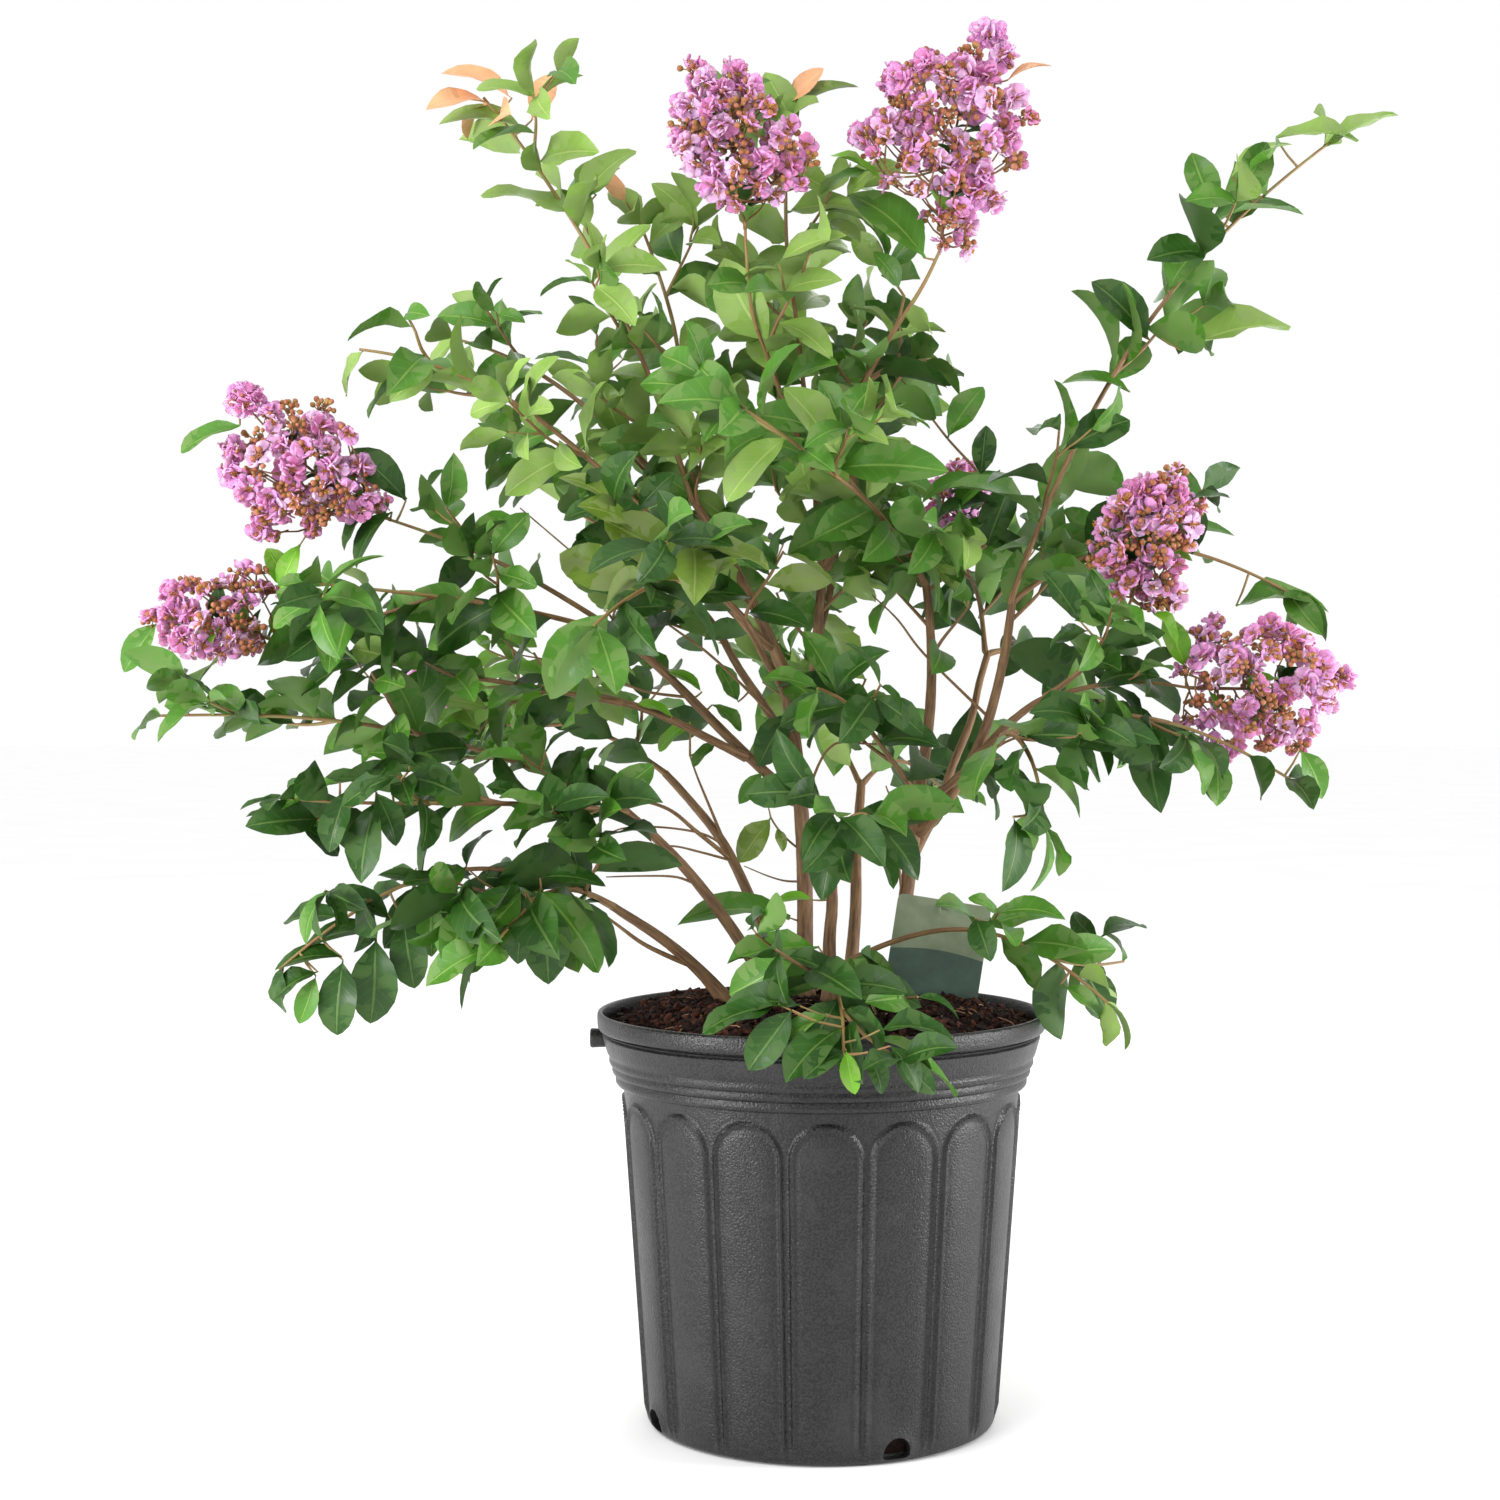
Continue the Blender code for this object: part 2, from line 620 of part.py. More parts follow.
class Space:
    """What a spray's twigs and leaves must keep clear of."""

    def __init__(self, lines):
        self.lines = lines
        self.limbs = self.tree([(n, lines[n]) for n in (*names(STEMS), *names(BOUGHS))])
        self.trees = {}
        for spray in SPRAYS:
            own = self.tree([(spray.name, lines[spray.name])], bloom_line(spray))
            rest = [(s.name, lines[s.name]) for s in SPRAYS if s != spray]
            blooms = [p for s in SPRAYS if s != spray for p in bloom_line(s)]
            self.trees[spray.name] = (own, self.tree(rest, blooms))

    @staticmethod
    def tree(named_lines, extra=()):
        """A search tree of points along some lines, with the radius at each point."""
        spots = [spot for _, line in named_lines for spot in line.samples(5.0 * MM)]
        spots += list(extra)
        tree = kdtree.KDTree(len(spots))
        for index, (place, _) in enumerate(spots):
            tree.insert(place, index)
        tree.balance()
        return tree, spots

    def is_free(self, spray, places):
        """Whether all the places lie in the spray's own space and clear of the limbs."""
        own, rest = self.trees[spray.name]
        for place in places:
            if in_keep_out(place):
                return False
            near = own[0].find(place)[2]
            if near + SPACE_MARGIN * MM > rest[0].find(place)[2]:
                return False
            for _, index, distance in self.limbs[0].find_range(place, LIMB_SEARCH * MM):
                if distance < self.limbs[1][index][1] + LIMB_CLEAR * MM:
                    return False
            for _, index, distance in rest[0].find_range(place, BLOOM_SEARCH * MM):
                radius = rest[1][index][1]
                if radius > BLOOM_LEAST_RADIUS * MM and distance < radius + BLOOM_CLEAR * MM:
                    return False
        return True


def names(limbs):
    """The names of some limbs."""
    return [limb.name for limb in limbs]


def bloom_line(spray):
    """Points up the middle of a spray's blossom, with its radius, or nothing."""
    if not spray.bloom_end:
        return []
    start = vector(spray.tip)
    end = vector(spray.bloom_end)
    shares = [k / 6.0 for k in range(1, 7)]
    radius = spray.bloom_width / 2.0 * MM
    return [(start.lerp(end, t), radius * bloom_shape(t)) for t in shares]


def bloom_shape(t):
    """The blossom's radius at t from its foot to its top, as a share of the widest."""
    return math.sqrt(max(0.0, math.sin(math.pi * min(1.0, 0.12 + 0.88 * t ** 0.8))))


def in_keep_out(place):
    """Whether a place is too near the container, the soil or the label."""
    x, y, z = place / MM
    if z < RIM_KEEP_HEIGHT and math.hypot(x, y) < RIM_KEEP_RADIUS:
        return True
    tag = [abs(v - c) for v, c in zip((x, y, z), TAG_PLACE)]
    half = (TAG_WIDTH / 2.0, TAG_THICKNESS, TAG_HEIGHT / 2.0)
    return all(d < h + k for d, h, k in zip(tag, half, TAG_KEEP))


def leaf_frame(axis, side, spread, look):
    """A leaf's direction, and the way its upper face looks: up and towards one quarter."""
    along = axis * math.cos(spread) + side * math.sin(spread)
    along = (along - UP * LEAF_HANG).normalized()
    face = UP * LEAF_LOOK_UP + Vector((math.cos(look), math.sin(look), 0.0))
    face = (face - along * face.dot(along)).normalized()
    return along, face


def leaf_corners(root, along, face, length):
    """The left, right and tip corners of a leaf, and two places on its midrib."""
    across = along.cross(face)
    half = length * LEAF_WIDTH / 2.0
    widest = root + along * (length * LEAF_WIDEST) + face * (length * LEAF_THICKNESS)
    tip = root + along * length - face * (length * LEAF_DROOP)
    middle = root + along * (length * 0.5)
    far = root.lerp(tip, 0.75)
    return widest - across * half, widest + across * half, tip, middle, far


def build_leaf(root, along, face, length):
    """A leaf of four faces: two above, and two below that meet in a keel."""
    left, right, tip = leaf_corners(root, along, face, length)[:3]
    bm = bmesh.new()
    base, left, right, tip = (bm.verts.new(place) for place in (root, left, right, tip))
    for corners in ((base, left, right), (left, tip, right), (base, tip, left), (base, right, tip)):
        bm.faces.new(corners)
    return new_object("leaf", bm)


class Growth:
    """One spray as it grows: its twigs, its leaves and its blossom."""

    def __init__(self, spray, line, space, seed):
        self.spray = spray
        self.line = line
        self.space = space
        self.rng = random.Random(seed)
        self.parts = bpy.data.collections.new("parts")
        bpy.context.scene.collection.children.link(self.parts)
        self.leaf_middles = []

    def keep(self, obj):
        """Moves a new object to the collection that is fused on to the stem."""
        bpy.context.scene.collection.objects.unlink(obj)
        self.parts.objects.link(obj)

    def side(self, axis, rank, turn):
        """The way out from an axis for one of its two ranks of leaves."""
        flat = axis.cross(UP)
        if flat.length < UPRIGHT:
            flat = axis.cross(Vector((0.0, 1.0, 0.0)))
        flat = flat.normalized() * rank
        flat.rotate(Matrix.Rotation(turn, 3, axis))
        return flat

    def add_leaf(self, root, axis, rank, size):
        """Adds a leaf to one side, or skips it where no try keeps to the space."""
        rng = self.rng
        for attempt in range(LEAF_TRIES):
            turn = rng.uniform(-1.0, 1.0) * LEAF_SIDE_TURN
            spread = LEAF_SPREAD + rng.uniform(-1.0, 1.0) * LEAF_SPREAD_JITTER
            spread = spread if rank else LEAF_TIP_SPREAD
            look = rng.uniform(0.0, math.tau)
            share = 1.0 + rng.uniform(-1.0, 1.0) * LEAF_SIZE_JITTER - LEAF_RETRY_SHRINK * attempt
            length = self.spray.leaf * MM * size * share
            side = self.side(axis, rank or 1, turn)
            along, face = leaf_frame(axis, side, spread, look)
            corners = leaf_corners(root, along, face, length)
            middle = corners[3]
            crowded = any((middle - m).length < LEAF_APART * MM for m in self.leaf_middles)
            if not crowded and self.space.is_free(self.spray, corners):
                self.leaf_middles.append(middle)
                self.keep(build_leaf(root, along, face, length))
                return

    def add_leaves(self, line):
        """Leaves in two ranks along a line, with side twigs on a spray's own stem."""
        distance = FIRST_LEAF * MM
        rank = self.rng.choice((-1, 1))
        index = 0
        while distance < line.length * LAST_LEAF:
            t = distance / line.length
            is_twig = line is self.line and index % TWIG_EVERY == 1 and t < TWIG_LAST
            if not (is_twig and self.add_twig(t, rank)):
                self.add_leaf(line.point(t), line.tangent(t), rank, 1.0 - LEAF_TAPER * t)
            rank = -rank
            index += 1
            distance += LEAF_STEP * MM * (1.0 + self.rng.uniform(-1.0, 1.0) * LEAF_STEP_JITTER)
        if not (self.spray.bloom_end and line is self.line):
            self.add_leaf(line.point(TIP_LEAF), line.tangent(1.0), 0, TIP_LEAF_SIZE)

    def add_twig(self, t, rank):
        """A side twig with its own leaves, unless it would leave the space."""
        axis = self.line.tangent(t)
        root = self.line.point(t)
        side = self.side(axis, rank, self.rng.uniform(-1.0, 1.0) * TWIG_TURN)
        out = axis * math.cos(TWIG_SPREAD) + side * math.sin(TWIG_SPREAD) + UP * TWIG_LIFT
        length = TWIG_LENGTH * MM * self.rng.uniform(*TWIG_LENGTH_RANGE) * (1.0 - TWIG_TAPER * t)
        tip = root + out.normalized() * length
        twig = Line(root, axis.cross(side), tip, UP * (-TWIG_SAG * length), TWIG_RADII)
        twig.facing = twig.tangent(0.0)
        if not self.space.is_free(self.spray, [p for p, _ in twig.samples(PROBE_STEP * MM)[1:]]):
            return False
        bm = bmesh.new()
        add_tube(bm, twig, 3, limb_shares(twig, SPRAY_STEP))
        self.keep(new_object("twig", bm))
        self.add_leaves(twig)
        return True

    def add_bloom(self):
        """The blossom's stalk, its core and the clusters round it."""
        spray = self.spray
        foot = vector(spray.tip)
        axis = vector(spray.bloom_end) - foot
        width = spray.bloom_width * MM
        root = self.line.point(BLOOM_ROOT)
        stalk = Line(root, axis.normalized(), foot + axis * 0.5, axis * 0.0, BLOOM_STALK)
        bm = bmesh.new()
        add_tube(bm, stalk, 3, (0.0, 0.5, 1.0))
        self.keep(new_object("stalk", bm))
        turn = UP.rotation_difference(axis.normalized()).to_matrix().to_4x4()
        place = Matrix.Translation(foot + axis * CORE_MIDDLE) @ turn
        size = Vector((width * CORE_WIDTH, width * CORE_WIDTH, axis.length * CORE_LENGTH)) / 2.0
        self.keep(build_lump("core", place, size, 2, CORE_UNEVEN, self.rng))
        for k in range(CLUSTER_COUNT):
            share = (k + 0.5) / CLUSTER_COUNT
            angle = GOLDEN_TURN * k + self.rng.uniform(-0.2, 0.2)
            out = width * (0.5 - CLUSTER_SIZE) * bloom_shape(share)
            radius = width * CLUSTER_SIZE * self.rng.uniform(0.85, 1.1)
            low, high = CLUSTER_RANGE
            rise = axis.length * (low + (high - low) * share)
            spot = Vector((math.cos(angle) * out, math.sin(angle) * out, rise))
            lump = Matrix.Translation(foot) @ turn @ Matrix.Translation(spot)
            size = Vector((radius, radius, radius))
            self.keep(build_lump("cluster", lump, size, 1, CLUSTER_UNEVEN, self.rng))

    def build(self):
        """Grows the spray and fuses it into one solid."""
        bm = bmesh.new()
        add_tube(bm, self.line, 3, limb_shares(self.line, SPRAY_STEP))
        stem = new_object(self.spray.name, bm)
        self.add_leaves(self.line)
        if self.spray.bloom_end:
            self.add_bloom()
        fuse(stem, self.parts)
        return stem


def build_lump(name, place, size, detail, uneven, rng):
    """A rounded solid whose corners are drawn in or out by a share of its size."""
    bm = bmesh.new()
    bmesh.ops.create_icosphere(bm, subdivisions=detail, radius=1.0)
    for vert in bm.verts:
        vert.co *= 1.0 + rng.uniform(-1.0, 1.0) * uneven
    scale = Matrix.Diagonal((*size, 1.0))
    bmesh.ops.transform(bm, matrix=place @ scale, verts=bm.verts)
    return new_object(name, bm)


def fuse(stem, parts):
    """Joins a collection to a stem by one Boolean union and removes the collection."""
    modifier = stem.modifiers.new("union", "BOOLEAN")
    modifier.operation = "UNION"
    modifier.solver = "EXACT"
    modifier.operand_type = "COLLECTION"
    modifier.collection = parts
    apply_modifiers(stem)
    for obj in list(parts.objects):
        bpy.data.objects.remove(obj)
    bpy.data.collections.remove(parts)
    keep_largest(stem)


def keep_largest(obj):
    """Drops loose scraps and sealed hollows, so that one closed shell is left."""
    bm = bmesh.new()
    bm.from_mesh(obj.data)
    todo = set(bm.verts)
    shells = []
    while todo:
        shell = {todo.pop()}
        edge = list(shell)
        while edge:
            near = [e.other_vert(v) for v in edge for e in v.link_edges]
            edge = [v for v in set(near) if v not in shell]
            shell.update(edge)
        todo -= shell
        shells.append(shell)
    shells.sort(key=len)
    for shell in shells[:-1]:
        bmesh.ops.delete(bm, geom=list(shell), context="VERTS")
    bmesh.ops.triangulate(bm, faces=bm.faces)
    bm.to_mesh(obj.data)
    bm.free()


def finish(obj, colour, roughness, specular=0.5):
    """Gives an object its own material."""
    material = bpy.data.materials.new(obj.name)
    material.use_nodes = True
    shader = material.node_tree.nodes["Principled BSDF"]
    shader.inputs["Base Color"].default_value = (*colour, 1.0)
    shader.inputs["Roughness"].default_value = roughness
    shader.inputs["Metallic"].default_value = 0.0
    shader.inputs["Specular IOR Level"].default_value = specular
    material.diffuse_color = (*colour, 1.0)
    obj.data.materials.clear()
    obj.data.materials.append(material)


# Linear colours.
POT_BLACK = (0.030, 0.031, 0.032)
SOIL_BROWN = (0.050, 0.021, 0.014)
TAG_GREEN = (0.075, 0.140, 0.115)
BARK_BROWN = (0.150, 0.098, 0.060)
LEAF_GREEN = (0.070, 0.200, 0.035)
LEAF_LIGHT = (0.180, 0.360, 0.070)
BLOOM_PINK = (0.560, 0.220, 0.520)


def leaf_colour(spray):
    """Fresh green high in the crown, deeper below, and pink for a spray in blossom."""
    if spray.bloom_end:
        return BLOOM_PINK
    height = min(1.0, max(0.0, (spray.tip[2] - 400.0) / 400.0))
    return tuple(a + (b - a) * height for a, b in zip(LEAF_GREEN, LEAF_LIGHT))


def build_model():
    """Builds every solid."""
    for obj in list(bpy.data.objects):
        bpy.data.objects.remove(obj)
    finish(build_pot(), POT_BLACK, 0.45)
    finish(build_soil(), SOIL_BROWN, 0.95)
    finish(build_tag(), TAG_GREEN, 0.35)
    lines = grow_lines()
    for stem in STEMS:
        finish(build_limb(stem.name, lines[stem.name], STEM_SIDES, 1.3), BARK_BROWN, 0.8)
    for bough in BOUGHS:
        finish(build_limb(bough.name, lines[bough.name], BOUGH_SIDES, 1.0), BARK_BROWN, 0.8)
    space = Space(lines)
    for seed, spray in enumerate(SPRAYS):
        growth = Growth(spray, lines[spray.name], space, seed)
        finish(growth.build(), leaf_colour(spray), 0.5)


build_model()
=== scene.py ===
"""Looks of the potted crape myrtle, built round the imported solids.

The container, soil, label, limbs, foliage and flower heads each have a class that holds
their sizes, builds their meshes and dresses them. Sizes and tables are in millimetres,
meshes in metres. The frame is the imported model's: +Z up, the plant's best side towards -Y,
the origin under the middle of the container.
"""

import json
import logging
from dataclasses import dataclass, field
from enum import Enum
from functools import partial
from itertools import product
from math import asin, atan2, ceil, cos, exp, hypot, pi, radians, sin, sqrt, tau
from random import Random
from typing import Any, ClassVar, Iterable, NamedTuple, Sequence

import bmesh
import bpy
from bmesh.types import BMFace, BMVert, BMesh
from bpy.types import Collection, Material, Mesh, Node, NodeSocket, NodeTree, Object
from mathutils import Matrix, Quaternion, Vector, kdtree, noise

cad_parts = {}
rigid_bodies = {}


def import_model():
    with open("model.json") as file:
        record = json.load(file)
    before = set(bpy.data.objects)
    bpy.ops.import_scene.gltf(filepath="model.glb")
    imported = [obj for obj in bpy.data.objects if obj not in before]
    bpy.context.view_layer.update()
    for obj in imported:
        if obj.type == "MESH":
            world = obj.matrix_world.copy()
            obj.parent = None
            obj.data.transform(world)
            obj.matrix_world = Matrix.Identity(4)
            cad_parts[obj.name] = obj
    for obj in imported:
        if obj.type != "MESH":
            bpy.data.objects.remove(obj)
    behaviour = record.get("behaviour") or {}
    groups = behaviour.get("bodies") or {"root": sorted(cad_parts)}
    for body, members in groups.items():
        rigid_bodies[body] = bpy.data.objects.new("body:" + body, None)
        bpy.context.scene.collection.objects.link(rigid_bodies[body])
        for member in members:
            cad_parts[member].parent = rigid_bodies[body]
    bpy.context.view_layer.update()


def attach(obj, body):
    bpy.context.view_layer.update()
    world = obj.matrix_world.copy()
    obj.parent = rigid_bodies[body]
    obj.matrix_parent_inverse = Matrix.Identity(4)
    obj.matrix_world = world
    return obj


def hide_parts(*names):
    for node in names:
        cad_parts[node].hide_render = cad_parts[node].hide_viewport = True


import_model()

LOG = logging.getLogger("crape_myrtle")
MM = 0.001
UP = Vector((0.0, 0.0, 1.0))
BODY = "root"
GOLDEN_TURN = pi * (3.0 - sqrt(5.0))


class Stem(NamedTuple):
    """A stem on the soil: its foot, its tip, the bow of its middle and its end radii."""

    name: str
    foot: tuple
    tip: tuple
    bow: tuple
    radii: tuple


class Bough(NamedTuple):
    """A limb that leaves its parent's side, or its tip where along is 1."""

    name: str
    parent: str
    along: float
    tip: tuple
    bow: tuple
    radii: tuple


class Tint(Enum):
    """The leaf colours on this plant: name, blade, its fresher patches, underside and rib."""

    DEEP = ("deep", "#1b3f0b", "#295213", "#3d5b27", "#708e46")
    MID = ("mid", "#3d6c1b", "#4e8228", "#638240", "#92b057")
    LIGHT = ("light", "#73983d", "#8aab52", "#86a059", "#bccd80")
    BRIGHT = ("bright", "#5b9a1c", "#76b22e", "#7ca048", "#b0d060")
    OLIVE = ("olive", "#55701f", "#6a852c", "#778650", "#a0ac64")
    YOUNG = ("young", "#dd9a68", "#edb88a", "#cf9a70", "#f0caa2")


class Spray(NamedTuple):
    """A leafy shoot: its line, its leaves' length, spacing and tints, and its blossom."""

    name: str
    parent: str
    along: float
    tip: tuple
    bow: tuple
    leaf: float
    spacing: float
    tints: tuple
    bloom_end: tuple | None = None
    bloom_width: float = 0.0


STEMS = (
    Stem("stem_centre", (-10, 20), (-22, 20, 455), (5, 0, 0), (5.2, 4.1)),
    Stem("stem_right", (50, 36), (62, 30, 385), (-1, 0, 0), (5.0, 4.2)),
    Stem("stem_front", (6, -8), (5, -32, 345), (0, 4, 0), (4.4, 3.0)),
    Stem("stem_left", (-58, -10), (-126, -32, 316), (0, 0, 3), (4.0, 2.6)),
    Stem("stem_fan", (-28, 0), (-118, -18, 372), (-6, 0, 14), (4.0, 2.5)),
    Stem("stem_fan_back", (-26, 46), (-98, 82, 392), (8, -4, 8), (3.8, 2.5)),
    Stem("stem_back", (20, 60), (30, 125, 385), (0, -8, 0), (4.2, 2.9)),
)

BOUGHS = (
    Bough("bough_top_left", "stem_centre", 1.0, (-78, 10, 562), (2, 2, 0), (3.8, 2.6)),
    Bough("bough_top_centre", "stem_centre", 0.84, (-2, 32, 580), (4, 3, 0), (3.4, 2.4)),
    Bough("bough_top_right", "bough_top_centre", 0.62, (26, 12, 632), (3, 0, 0), (2.6, 2.1)),
    Bough("bough_left_long", "stem_centre", 0.60, (-125, 8, 480), (0, 0, 6), (3.4, 2.4)),
    Bough("bough_left_mid", "bough_left_long", 0.22, (-122, -14, 438), (0, -2, 4), (2.8, 2.2)),
    Bough("bough_left_high", "bough_top_left", 0.14, (-110, -14, 556), (0, -2, 2), (2.6, 2.1)),
    Bough("bough_left_crown", "bough_top_left", 0.60, (-112, 44, 590), (0, 3, 2), (2.4, 2.1)),
    Bough("bough_centre_front", "stem_centre", 0.94, (-58, -62, 498), (0, -2, 6), (2.6, 2.1)),
    Bough("bough_right_upright", "stem_right", 1.0, (66, 30, 510), (5, 0, 0), (3.8, 2.5)),
    Bough("bough_right_long", "stem_right", 0.78, (118, 14, 500), (9, -5, 0), (3.8, 2.6)),
    Bough("bough_right_outer", "bough_right_long", 0.34, (136, -6, 440), (0, -2, 5), (2.6, 2.2)),
    Bough("bough_right_low", "stem_right", 0.93, (108, -40, 418), (4, -4, 2), (2.6, 2.2)),
    Bough("bough_back_left", "stem_centre", 0.76, (-92, 118, 520), (0, 6, 6), (3.0, 2.2)),
    Bough("bough_back_high", "bough_top_centre", 0.36, (18, 105, 590), (2, 5, 0), (2.6, 2.1)),
    Bough("bough_back_right", "stem_right", 0.66, (112, 110, 470), (5, 5, 5), (3.0, 2.2)),
)

DEEP, MID, LIGHT, BRIGHT, OLIVE, YOUNG = Tint

SPRAYS = (
    Spray("spray_top_left", "bough_top_left", 1.0, (-203, -20, 800), (14, 0, 6), 54, 21,
          (LIGHT, MID, YOUNG)),
    Spray("spray_crown_left", "bough_top_left", 1.0, (-112, 26, 735), (10, 6, 0), 54, 17,
          (LIGHT, MID, LIGHT)),
    Spray("spray_top_centre", "bough_top_centre", 1.0, (-22, 14, 795), (-6, 0, 0), 54, 17,
          (LIGHT, MID, LIGHT)),
    Spray("spray_bloom_top", "bough_top_centre", 1.0, (-46, -40, 722), (-12, -10, 0), 54, 16,
          (LIGHT, MID, LIGHT), (-44, -42, 812), 88),
    Spray("spray_bloom_top_right", "bough_top_right", 1.0, (72, -26, 712), (3, 0, 0), 56, 16,
          (MID, LIGHT, MID), (84, -30, 848), 108),
    Spray("spray_crown_right", "bough_top_right", 1.0, (108, 52, 640), (0, 6, 12), 54, 17,
          (MID, DEEP, LIGHT)),
    Spray("spray_right_top", "bough_right_long", 1.0, (306, -12, 775), (-10, 0, 26), 66, 28,
          (MID, DEEP, LIGHT)),
    Spray("spray_right_outer", "bough_right_long", 1.0, (292, 34, 506), (0, 10, 26), 58, 19,
          (MID, DEEP, MID)),
    Spray("spray_bloom_right", "bough_right_outer", 1.0, (184, -42, 502), (6, -6, -2), 54, 16,
          (DEEP, MID, MID), (198, -44, 582), 66),
    Spray("spray_bloom_right_low", "bough_right_outer", 1.0, (222, -28, 446), (0, 4, 6), 58, 17,
          (DEEP, BRIGHT, MID), (326, -30, 450), 88),
    Spray("spray_right_low", "bough_right_low", 1.0, (276, -52, 392), (0, 0, 20), 58, 18,
          (DEEP, MID, DEEP)),
    Spray("spray_right_drop", "bough_right_low", 1.0, (124, -118, 366), (0, -8, 16), 58, 17,
          (DEEP, MID, MID)),
    Spray("spray_left_high", "bough_left_high", 1.0, (-276, -32, 648), (0, -4, 18), 48, 19,
          (LIGHT, MID, LIGHT)),
    Spray("spray_left_crown", "bough_left_crown", 1.0, (-232, 64, 668), (0, 4, 12), 48, 18,
          (MID, LIGHT, LIGHT)),
    Spray("spray_bloom_left", "bough_left_long", 1.0, (-262, -30, 548), (0, 4, 6), 52, 16,
          (MID, DEEP, MID), (-346, -40, 614), 78),
    Spray("spray_left_front", "bough_left_long", 1.0, (-290, -96, 506), (0, -14, 2), 52, 16,
          (MID, DEEP, MID)),
    Spray("spray_bloom_left_low", "bough_left_mid", 1.0, (-328, -20, 472), (0, 2, 0), 50, 16,
          (MID, DEEP, LIGHT), (-400, -24, 492), 60),
    Spray("spray_left_inner", "bough_left_mid", 1.0, (-220, 66, 446), (0, 10, 4), 31, 10,
          (BRIGHT, LIGHT, BRIGHT)),
    Spray("spray_left_wide", "stem_fan", 1.0, (-392, -62, 430), (0, 0, 16), 50, 16,
          (MID, DEEP, MID)),
    Spray("spray_left_low", "stem_fan", 1.0, (-302, -124, 384), (0, -18, -2), 54, 16,
          (DEEP, MID, DEEP)),
    Spray("spray_left_droop", "stem_left", 1.0, (-318, -72, 282), (0, 6, 34), 50, 19,
          (DEEP, MID, DEEP)),
    Spray("spray_left_foot", "stem_left", 1.0, (-188, -140, 300), (0, -6, 18), 66, 16,
          (DEEP, MID, MID)),
    Spray("spray_front_low", "stem_front", 1.0, (26, -84, 372), (0, -8, 10), 66, 17,
          (DEEP, DEEP, MID)),
    Spray("spray_front_rim", "stem_front", 0.12, (8, -168, 246), (0, -6, 22), 54, 16,
          (DEEP, MID, DEEP)),
    Spray("spray_right_foot", "stem_front", 0.20, (166, -72, 262), (0, 4, 32), 52, 18,
          (MID, DEEP, LIGHT)),
    Spray("spray_centre_front", "bough_centre_front", 1.0, (-128, -168, 480), (0, -6, 14), 62, 16,
          (DEEP, OLIVE, MID)),
    Spray("spray_centre_red", "bough_right_upright", 1.0, (-50, -118, 606), (8, -14, 0), 60, 16,
          (MID, LIGHT, MID)),
    Spray("spray_centre_low", "stem_right", 0.97, (-4, -70, 446), (0, -6, 12), 56, 17,
          (DEEP, DEEP, MID)),
    Spray("spray_back_left", "bough_back_left", 1.0, (-178, 226, 596), (0, 6, 10), 56, 16,
          (MID, DEEP, LIGHT)),
    Spray("spray_back_high", "bough_back_high", 1.0, (-6, 176, 690), (4, 8, 6), 56, 16,
          (LIGHT, MID, LIGHT)),
    Spray("spray_back_right", "bough_back_right", 1.0, (104, 216, 540), (0, 8, 8), 54, 16,
          (DEEP, MID, MID), (106, 238, 606), 58),
    Spray("spray_back_right_low", "bough_back_right", 1.0, (212, 178, 424), (0, 10, 12), 56, 16,
          (DEEP, MID, MID)),
    Spray("spray_back_left_low", "stem_fan_back", 1.0, (-218, 178, 430), (0, 8, 10), 54, 16,
          (MID, DEEP, MID), (-276, 200, 452), 56),
    Spray("spray_back_centre", "stem_back", 1.0, (-36, 262, 456), (0, 10, 12), 56, 16,
          (MID, LIGHT, MID)),
    Spray("spray_back_low", "stem_back", 1.0, (96, 246, 372), (0, 10, 14), 56, 16,
          (DEEP, MID, MID)),
)


@dataclass(frozen=True)
class PhotoView:
    """The photograph's camera: turns one of its pixels into a place at a given depth."""

    place: tuple[float, float, float] = (-0.0433, -1.564, 0.443)
    dip: float = radians(1.26)
    focal_pixels: float = 2563.6
    middle: float = 750.0

    @property
    def lens(self) -> float:
        """The focal length in millimetres on a 36 mm sensor."""
        return 36.0 * self.focal_pixels / (2.0 * self.middle)

    def at(self, px: float, py: float, y: float) -> Vector:
        """The place that a pixel shows where Y has a value.

        Args:
            px: pixels from the left.
            py: pixels from the top.
            y: the place's Y in metres.

        Returns:
            The place in metres.
        """
        ray = Vector(((px - self.middle) / self.focal_pixels, 1.0,
                      (self.middle - py) / self.focal_pixels))
        ray.rotate(Matrix.Rotation(-self.dip, 3, "X"))
        return Vector(self.place) + ray * ((y - self.place[1]) / ray.y)

    def pixel(self, place: Vector) -> tuple[float, float]:
        """The pixel at which a place shows."""
        ray = place - Vector(self.place)
        ray.rotate(Matrix.Rotation(self.dip, 3, "X"))
        return (self.middle + ray.x / ray.y * self.focal_pixels,
                self.middle - ray.z / ray.y * self.focal_pixels)


VIEW = PhotoView()

